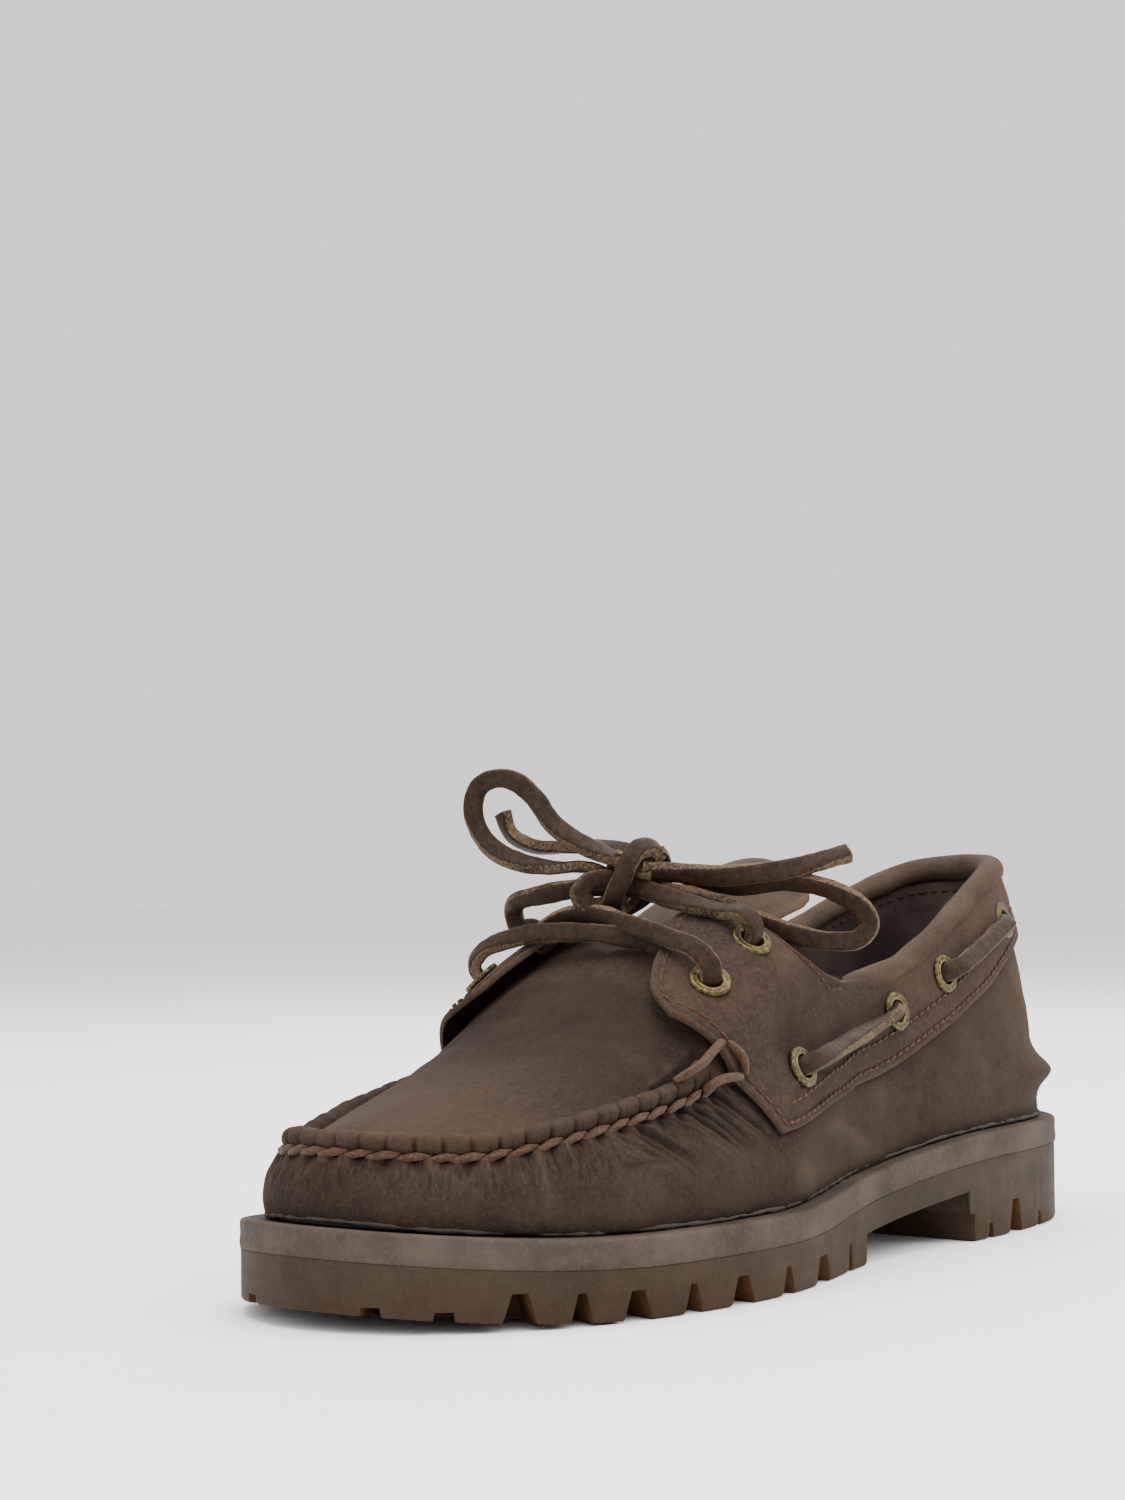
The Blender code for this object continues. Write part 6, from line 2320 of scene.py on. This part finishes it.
@dataclass
class Panel:
    """The side panel: eyestays and collar band in one strip, with rubbed edges and rows of stitches."""

    last: Last
    eyelets: Eyelets
    finishes: Finishes
    thickness: float = 0.0016
    rounding: float = 0.0009
    edge_row: float = 0.0027
    low_row: float = 0.0031
    second_row: float = 0.0086
    row_groove: float = 0.00032
    columns: int = 520
    inner_rows: int = 40

    # Station and place up the rib at the lower edge, then the same at the upper edge
    RIBS = (
        (0.628, 0.53, 0.703, 1.42), (0.620, 0.53, 0.699, 1.54), (0.607, 0.52, 0.682, 1.63), (0.585, 0.51, 0.645, 1.70),
        (0.550, 0.50, 0.600, 1.77), (0.515, 0.48, 0.566, 1.56), (0.485, 0.46, 0.532, 1.27), (0.462, 0.46, 0.495, 1.08),
        (0.435, 0.46, 0.457, 1.00), (0.380, 0.49, 0.390, 1.00), (0.330, 0.53, 0.330, 1.00), (0.285, 0.55, 0.285, 1.00),
        (0.240, 0.58, 0.240, 1.00), (0.190, 0.60, 0.190, 1.00), (0.145, 0.64, 0.145, 1.00), (0.080, 0.69, 0.080, 1.00),
        (0.020, 0.70, 0.020, 1.00),
    )

    def __post_init__(self) -> None:
        """Draws the curves through the rib table, from the outer front edge round the heel to the inner one."""
        ribs = []
        for side, rows in ((Side.LATERAL, self.RIBS), (Side.MEDIAL, self.RIBS[::-1])):
            for low_station, low_place, top_station, top_place in rows:
                low, top = float(self.last.ring_of(low_station, side)), float(self.last.ring_of(top_station, side))
                ribs.append((low, low_place, top, top_place))
        ribs = np.array(ribs)
        run = np.r_[0, np.cumsum(np.abs(np.diff(ribs[:, 2])) + np.abs(np.diff(ribs[:, 0])) + 0.004)]
        self.curves = [Curve(run / run[-1], ribs[:, k]) for k in range(4)]

    def at(self, along: Array, across: Array) -> tuple[Array, Array]:
        """Ring and place of a point of the panel.

        Args:
            along: Share of the way from the outer front edge to the inner one.
            across: Share of the way from the lower edge to the upper one.

        Returns:
            Ring and place up the rib.
        """
        low_ring, low_place, top_ring, top_place = (curve(along) for curve in self.curves)
        return low_ring * (1 - across) + top_ring * across, low_place * (1 - across) + top_place * across

    def edge_places(self, rings: Array) -> Array:
        """Place up the rib of the panel's lower edge at places on the ring.

        Args:
            rings: Places round the sole.

        Returns:
            Places up the rib, above any rib where there is no panel.
        """
        along = np.linspace(0, 1, 800)
        low_ring, low_place = self.curves[0](along), self.curves[1](along)
        order = np.argsort(low_ring)
        wrapped = np.where(rings > self.last.toe_ring, rings - 1, rings)
        return np.interp(wrapped, low_ring[order], low_place[order], left=3.0, right=3.0)

    def covers(self, rings: Array, places: Array) -> Array:
        """How far a grid of the upper lies under the panel: 1 under it, easing to 0 beside it.

        A point is inside the panel's outline in ring and place if a ray from it crosses the outline an odd number
        of times; the answer is then averaged with its neighbours.

        Args:
            rings: The columns.
            places: Places up the rib as rows by columns.

        Returns:
            Shares as rows by columns.
        """
        along = np.linspace(0, 1, 140)
        low = np.column_stack([self.curves[0](along), self.curves[1](along)])
        top = np.column_stack([self.curves[2](along), self.curves[3](along)])[::-1]
        top[:, 1] = np.where(top[:, 1] < 1.002, 1.6, top[:, 1])
        outline = np.vstack([low, top])
        ring = np.where(rings > self.last.toe_ring, rings - 1, rings)[None, :] + 0 * places
        inside = np.zeros(places.shape, bool)
        for (x0, y0), (x1, y1) in zip(outline, np.roll(outline, -1, 0)):
            crossed = (x0 > ring) != (x1 > ring)
            slope = (y1 - y0) / (x1 - x0) if x1 != x0 else 0.0
            inside ^= crossed & (places > y0 + slope * (ring - x0))
        share = inside.astype(float)
        for _ in range(6):
            share = (share + np.roll(share, 1, 1) + np.roll(share, -1, 1)) / 3
            share[1:-1] = (share[:-2] + share[1:-1] + share[2:]) / 3
        return np.maximum(share, inside)

    def grid(self) -> tuple[Array, Array]:
        """Shares along and across at which the panel has points, close together at its edges.

        Returns:
            Both as columns by rows.
        """
        close = np.array([0, 0.0002, 0.0005, 0.0009, 0.0016])
        middle = np.linspace(0, 1, self.columns)
        along = np.r_[close / 0.62, middle[(middle > 0.0035) & (middle < 0.9965)], 1 - close[::-1] / 0.62]
        ring, place = self.at(along[:, None], np.linspace(0, 1, 30)[None, :])
        line = self.last.over_panel(ring, place, np.zeros(ring.shape))
        width = np.sum(np.linalg.norm(np.diff(line, axis=1), axis=2), axis=1)[:, None]
        inside = np.linspace(0, 1, self.inner_rows)[None, 1:-1]
        start, end = close[None, :] / width, 1 - close[None, ::-1] / width
        across = np.hstack([start, start[:, -1:] + (end[:, :1] - start[:, -1:]) * inside, end])
        return np.broadcast_to(along[:, None], across.shape), across

    def distances(self, points: Array) -> tuple[Array, Array, Array]:
        """Distance of each point from the lower edge, the upper edge and the nearer end.

        Args:
            points: The panel's face as columns by rows.

        Returns:
            The three distances.
        """
        across = np.linalg.norm(np.diff(points, axis=1), axis=2)
        low = np.cumsum(np.c_[np.zeros(len(points)), across], axis=1)
        along = np.linalg.norm(np.diff(points, axis=0), axis=2)
        front = np.cumsum(np.vstack([np.zeros(points.shape[1]), along]), axis=0)
        return low, low[:, -1:] - low, np.minimum(front, front[-1:] - front)

    def build(self) -> bpy.types.Object:
        """Builds the panel as two faces that meet in a rounded edge, with furrows under the stitches.

        Returns:
            The panel.
        """
        along, across = self.grid()
        ring, place = self.at(along, across)
        face = self.last.over_panel(ring, place, np.zeros(ring.shape))
        low, top, front = self.distances(face)
        edge = np.minimum(np.minimum(low, top), front)
        round_off = np.sqrt(np.clip(1 - (1 - np.clip(edge / self.rounding, 0, 1)) ** 2, 0, 1))
        station = self.last.ring_station(ring)
        rear = smooth_step((0.455 - station) / 0.01)
        row = bell((edge - self.edge_row) / 0.0006) * (1 - rear * (top < 0.004))
        row = np.maximum(row, bell((low - self.second_row) / 0.0006) * smooth_step((0.60 - station) / 0.01))
        swell = 0.00055 * lattice_noise(face, 0.020, 41) + 0.00028 * lattice_noise(face, 0.007, 42)
        swell = swell + 0.00010 * lattice_noise(face, 0.0028, 43)
        curl = 0.0003 * bell(edge / 0.003) * (0.5 + 0.5 * lattice_noise(face, 0.018, 44))
        rise = self.thickness * (0.30 + 0.70 * round_off) - self.row_groove * row
        held = np.maximum(bell((edge - self.edge_row) / 0.0024), bell((low - self.second_row) / 0.0024))
        held = np.maximum(held, rear * smooth_step((0.0075 - top) / 0.003))
        swell = swell * (1 - 0.85 * held) * smooth_step(edge / 0.002)
        outer = self.last.over_panel(ring, place, rise + swell + curl * (1 - rear * (top < 0.008)))
        outwards = self.last.normal(ring, place)
        outer = self.eyelets.pits(outer, outwards, 0.0026, 0.0031, 0.0042)
        under = self.last.over_panel(ring, place, np.minimum(curl, 0.0004))
        columns, rows = ring.shape
        index = np.arange(columns * rows).reshape(columns, rows)
        size = columns * rows
        faces = [grid_faces(columns, rows), (grid_faces(columns, rows) + size)[:, ::-1]]
        rim = np.r_[index[:, 0], index[-1, 1:], index[-2::-1, -1], index[0, -2:0:-1]]
        after = np.roll(rim, -1)
        faces.append(np.stack([rim, after, after + size, rim + size], axis=-1))
        obj = face_outwards(add_mesh("side_panel_leather", np.vstack([outer.reshape(-1, 3), under.reshape(-1, 3)]),
                                     np.vstack(faces), 75))
        crest = np.clip(swell / 0.0006, 0, 1) * 0.3
        # Painted highlight: the rear of the panel lighter
        heel = 0.24 * smooth_step((0.34 - station) / 0.2)
        # Painted shade over the middle of the panel
        middle = 0.34 * bell((station - 0.52) / 0.09) * (place < 1.2)
        wear = np.clip(bell(edge / 0.0008) * 0.42 + crest + heel, 0, 1)
        # Painted shade in the stitch furrows and the swell's hollows
        shade = np.clip(middle + 0.55 * row + np.clip(-swell / 0.0006, 0, 1) * 0.4, 0, 1)
        set_attribute(obj, "wear", np.r_[wear.ravel(), np.zeros(size)])
        # Painted shade of 0.3 on the panel's under face
        set_attribute(obj, "shade", np.r_[shade.ravel(), np.full(size, 0.3)])
        obj.data.materials.append(self.finishes.panel)
        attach(obj, "root")
        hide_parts("side_panel")
        return obj

    def inset_line(self, distance: float, second: bool = False) -> tuple[Array, Array]:
        """A line on the panel at a distance inside its edges.

        Args:
            distance: The distance.
            second: Whether it is the second row, which runs along the lower edge alone.

        Returns:
            Points and normals.
        """
        along = np.linspace(0, 1, 900)
        ring, place = self.at(along[:, None], np.linspace(0, 1, 30)[None, :])
        face = self.last.over_panel(ring, place, np.zeros(ring.shape))
        width = np.sum(np.linalg.norm(np.diff(face, axis=1), axis=2), axis=1)
        reach = distance / np.array([lengths_along(face[:, 0])[-1], lengths_along(face[:, -1])[-1]])
        low_share = distance / width
        if second:
            station = self.last.ring_station(self.curves[0](along))
            kept = station < 0.598
            shares = np.column_stack([along[kept], low_share[kept]])
        else:
            low_side = (along > reach[0]) & (along < 1 - reach[0])
            station = self.last.ring_station(self.curves[2](along))
            high_side = (along > reach[1]) & (along < 1 - reach[1]) & (station > 0.462)
            rise = np.linspace(float(low_share[0]), 1 - float(low_share[0]), 60)
            reaches = reach[0] + (reach[1] - reach[0]) * rise
            left = high_side & (along < 0.5)
            right = high_side & (along > 0.5)
            shares = np.vstack([
                np.column_stack([along[left], 1 - low_share[left]])[::-1],
                np.column_stack([reaches, rise])[::-1],
                np.column_stack([along[low_side], low_share[low_side]]),
                np.column_stack([1 - reaches, rise]),
                np.column_stack([along[right], 1 - low_share[right]])[::-1],
            ])
        ring, place = self.at(shares[:, 0], shares[:, 1])
        line = self.last.over_panel(ring, place, np.full(len(ring), self.thickness + 0.00005))
        return line, self.last.normal(ring, place)

    def stitches(self) -> list[bpy.types.Object]:
        """Lays the rows of fine stitches.

        Returns:
            The rows.
        """
        fine = Stitching(0.0029, 0.00085, 0.0034, 4.0, 1.2, 9, 8)
        rows = []
        for name, distance, second, seed in (("panel_stitches", self.edge_row, False, 51),
                                             ("panel_stitches_second", self.second_row, True, 52)):
            line, out = self.inset_line(distance, second)
            rows.append(fine.lay(name, line, out, self.finishes.fine_thread, seed))
        return rows


# Collar, tongue and joint


@dataclass
class Collar:
    """The padded roll inside the collar."""

    last: Last
    material: bpy.types.Material
    thread: bpy.types.Material
    roll: float = 0.0070
    depth: float = 0.0074
    outer: float = 0.0032
    notch: float = 0.457
    row_place: float = 0.888
    row_depth: float = 0.0023

    def build(self) -> bpy.types.Object:
        """Sweeps a soft round section along the inside of the collar, drawn in a little at intervals.

        Returns:
            The roll.
        """
        start = float(self.last.ring_of(self.notch + 0.012, Side.LATERAL))
        end = float(self.last.ring_of(self.notch + 0.012, Side.MEDIAL))
        rings = np.linspace(start, end, 520)
        heel = bell(rings / 0.045)
        path = self.last.offset(rings, np.full(len(rings), 0.966), self.outer + 0.0012 * heel - self.depth / 2)
        run = lengths_along(path)
        taper = smooth_step(run / 0.022) * smooth_step((run[-1] - run) / 0.022)
        out = self.last.normal(rings, 0.96)
        out[:, 2] = 0
        out /= np.linalg.norm(out, axis=1, keepdims=True)
        up = np.tile((0.0, 0.0, 1.0), (len(rings), 1))
        angle = np.linspace(0, 2 * math.pi, 30, endpoint=False)
        c, s = np.cos(angle)[None, :, None], np.sin(angle)[None, :, None]
        soft = (1 + 0.06 * line_noise(run, 0.010, 61))[:, None, None]
        wide = self.depth / 2 * ((0.35 + 0.65 * taper) * (1 + 0.16 * heel))[:, None, None] * soft
        tall = self.roll / 2 * ((0.45 + 0.55 * taper) * (1 + 0.25 * heel))[:, None, None] * soft
        drop = 0.0016 * (1 - taper)[:, None, None]
        ring = np.sign(c) * np.abs(c) ** 1.0 * wide * out[:, None] + (np.sign(s) * np.abs(s) ** 1.0 * tall) * up[:, None]
        points = path[:, None] + ring - drop * up[:, None]
        points += 0.00012 * lattice_noise(points, 0.006, 60)[..., None] * out[:, None]
        faces = grid_faces(len(rings), 30, round_columns=True).tolist()
        last = (len(rings) - 1) * 30
        faces += [tuple(range(30))[::-1], tuple(range(last, last + 30))]
        obj = face_outwards(add_mesh("collar_padding", points.reshape(-1, 3), faces, 70))
        points = np.empty(len(obj.data.vertices) * 3)
        obj.data.vertices.foreach_get("co", points)
        points = points.reshape(-1, 3)
        set_attribute(obj, "wear", 0.25 + 0.3 * lattice_noise(points, 0.006, 62))
        set_attribute(obj, "shade", np.zeros(len(points)))
        obj.data.materials.append(self.material)
        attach(obj, "root")
        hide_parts("collar_roll")
        return obj

    def stitches(self) -> bpy.types.Object:
        """Lays the row that holds the roll's inner edge down on the lining.

        Returns:
            The row.
        """
        rings = np.linspace(
            float(self.last.ring_of(self.notch, Side.LATERAL)), float(self.last.ring_of(self.notch, Side.MEDIAL)), 700
        )
        line = self.last.offset(rings, np.full(len(rings), self.row_place), np.full(len(rings), -self.row_depth))
        row = Stitching(0.0028, 0.00085, 0.0034, 4.0, 1.2, 9, 8)
        return row.lay("collar_stitches", line, -self.last.normal(rings, self.row_place), self.thread, 64)


@dataclass
class Tongue:
    """The leather tongue that rises out of the throat."""

    last: Last
    material: bpy.types.Material
    thickness: float = 0.0024
    half_width: float = 0.0215
    tip_height: float = 0.1045
    arch: float = 0.0105
    wall: float = 0.0020

    # Station, share of the half width, share of the rise to the tip
    SECTIONS = (
        (0.690, 0.62, 0.00), (0.665, 0.80, 0.00), (0.635, 0.92, 0.00), (0.600, 0.98, 0.00), (0.565, 1.00, 0.03),
        (0.530, 1.00, 0.20), (0.495, 1.00, 0.48), (0.465, 0.98, 0.76), (0.442, 0.94, 0.93), (0.428, 0.84, 0.98),
        (0.421, 0.66, 1.00),
    )

    def under(self, flat: Array) -> Array:
        """Height of the upper's inner face over places on the floor, from the nearest points of the skin.

        Args:
            flat: X and Y as (..., 2).

        Returns:
            Heights.
        """
        rings, places = np.linspace(0, 1, 700, endpoint=False), np.linspace(1.02, 2.0, 60)
        cloud = self.last.offset(rings[:, None], places[None, :], -(self.wall + 4 * self.last.gap)).reshape(-1, 3)
        near = (np.abs(cloud[:, 0] - 0.01) < 0.075) & (np.abs(cloud[:, 1]) < 0.05)
        cloud = cloud[near]
        heights = np.empty(flat.shape[:-1])
        for i in np.ndindex(heights.shape):
            distance = np.hypot(cloud[:, 0] - flat[i][0], cloud[:, 1] - flat[i][1])
            nearest = np.argpartition(distance, 6)[:6]
            weight = 1 / (distance[nearest] + 4e-4)
            heights[i] = np.sum(weight * cloud[nearest, 2]) / np.sum(weight)
        return heights

    def build(self) -> bpy.types.Object:
        """Builds the tongue as two faces with a rounded edge, waved where it is free.

        Returns:
            The tongue.
        """
        table = np.array(self.SECTIONS)[::-1]
        half, rise = Curve(table[:, 0], table[:, 1]), Curve(table[:, 0], table[:, 2])
        station = np.r_[0.421, 0.4215, 0.4225, 0.424, np.linspace(0.426, 0.690, 70)][:, None]
        t = np.sin(np.linspace(-math.pi / 2, math.pi / 2, 46))[None, :] + 0 * station
        x = self.last.back + station * self.last.length + 0 * t
        reach = t * half(station) * self.half_width
        middle = self.last.middle(x)
        seat = self.under(np.stack([x, middle + reach], axis=-1))
        crown = self.under(np.stack([x[:, 0], middle[:, 0]], axis=-1))[:, None]
        tip = self.tip_height - float(crown[0, 0])
        up = rise(station)
        free = crown - self.arch * (reach / self.half_width) ** 2
        top = seat * (1 - up) + free * up + up * tip
        edge = np.minimum(1 - np.abs(t), (station - 0.421) * 8)
        round_off = np.sqrt(np.clip(1 - (1 - np.clip(edge / 0.05, 0, 1)) ** 2, 0, 1))
        points = np.stack([x, middle + reach, top], axis=-1)
        wave = up * (0.0007 * lattice_noise(points, 0.016, 63) + 0.0003 * lattice_noise(points, 0.006, 64))
        upper, lower = points.copy(), points.copy()
        half_thick = self.thickness / 2
        upper[..., 2] += wave - half_thick + half_thick * (0.3 + 0.7 * round_off)
        lower[..., 2] += wave - half_thick - half_thick * (0.3 + 0.7 * round_off)
        rows, columns = t.shape
        size = rows * columns
        index = np.arange(size).reshape(rows, columns)
        faces = [grid_faces(rows, columns), (grid_faces(rows, columns) + size)[:, ::-1]]
        rim = np.r_[index[:, 0], index[-1, 1:], index[-2::-1, -1], index[0, -2:0:-1]]
        after = np.roll(rim, -1)
        faces.append(np.stack([rim, after, after + size, rim + size], axis=-1))
        obj = add_mesh("tongue_leather", np.vstack([upper.reshape(-1, 3), lower.reshape(-1, 3)]), np.vstack(faces), 70)
        face_outwards(obj)
        wear = np.clip(0.22 + 0.8 * bell(edge / 0.05) + 0.4 * np.clip(wave / 0.0007, 0, 1), 0, 1)
        set_attribute(obj, "wear", np.r_[wear.ravel(), wear.ravel()])
        set_attribute(obj, "shade", np.zeros(2 * size))
        obj.data.materials.append(self.material)
        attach(obj, "root")
        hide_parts("tongue")
        return obj


@dataclass
class Joint:
    """Dust and lint packed into the joint between upper and band."""

    last: Last
    material: bpy.types.Material
    radius: float = 0.00055

    def build(self) -> bpy.types.Object:
        """Sweeps an uneven thread of lint round the foot of the wall.

        Returns:
            The lint.
        """
        rings = np.linspace(0, 1, 1400, endpoint=False)
        path = self.last.offset(rings, np.full(1400, 0.006), np.zeros(1400))
        run = lengths_along(path)
        path[:, 2] += 0.0002 + 0.0002 * line_noise(run, 0.004, 66)
        _, side, across = frames_along(path, closed=True)
        angle = np.linspace(0, 2 * math.pi, 8, endpoint=False)
        size = self.radius * (0.8 + 0.45 * line_noise(run, 0.0022, 67))[:, None, None]
        ring = np.cos(angle)[None, :, None] * side[:, None] + np.sin(angle)[None, :, None] * across[:, None]
        faces = grid_faces(1400, 8, True, True)
        obj = face_outwards(add_mesh("joint_lint", (path[:, None] + size * ring).reshape(-1, 3), faces, 70))
        obj.data.materials.append(self.material)
        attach(obj, "root")
        return obj


def main() -> None:
    """Builds the shoe in order and logs each piece."""
    logging.basicConfig(level=logging.INFO, format="%(name)s: %(message)s")
    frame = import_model()
    log.info("frame with %d nodes", len(frame) if hasattr(frame, "__len__") else 0)
    studio = Studio()
    studio.camera()
    finishes = Finishes()
    last = Last()
    eyelets = Eyelets(last, finishes.brass)
    lace = Lace(last, eyelets, finishes.lace)
    lace.tie_bow()
    lace.lace_up()
    log.info("lace")
    sole = Sole(last)
    sole.outsole(finishes.gum, finishes.amber)
    sole.band(finishes.band)
    log.info("sole")
    seam = Seam(last)
    panel = Panel(last, eyelets, finishes)
    Upper(last, seam, eyelets, finishes).build(panel)
    log.info("upper")
    SeamThread(last, seam, finishes.seam_thread).build()
    panel.build()
    panel.stitches()
    log.info("panel")
    collar = Collar(last, finishes.panel, finishes.fine_thread)
    collar.build()
    collar.stitches()
    Tongue(last, finishes.panel).build()
    Joint(last, finishes.grime).build()
    eyelets.build()
    log.info("collar, tongue, joint and eyelets")
    insole = bpy.data.objects["insole"]
    for place in insole.material_slots:
        place.material = finishes.lining
    studio.lights(finishes.floor)
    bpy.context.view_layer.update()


if __name__ == "__main__":
    main()
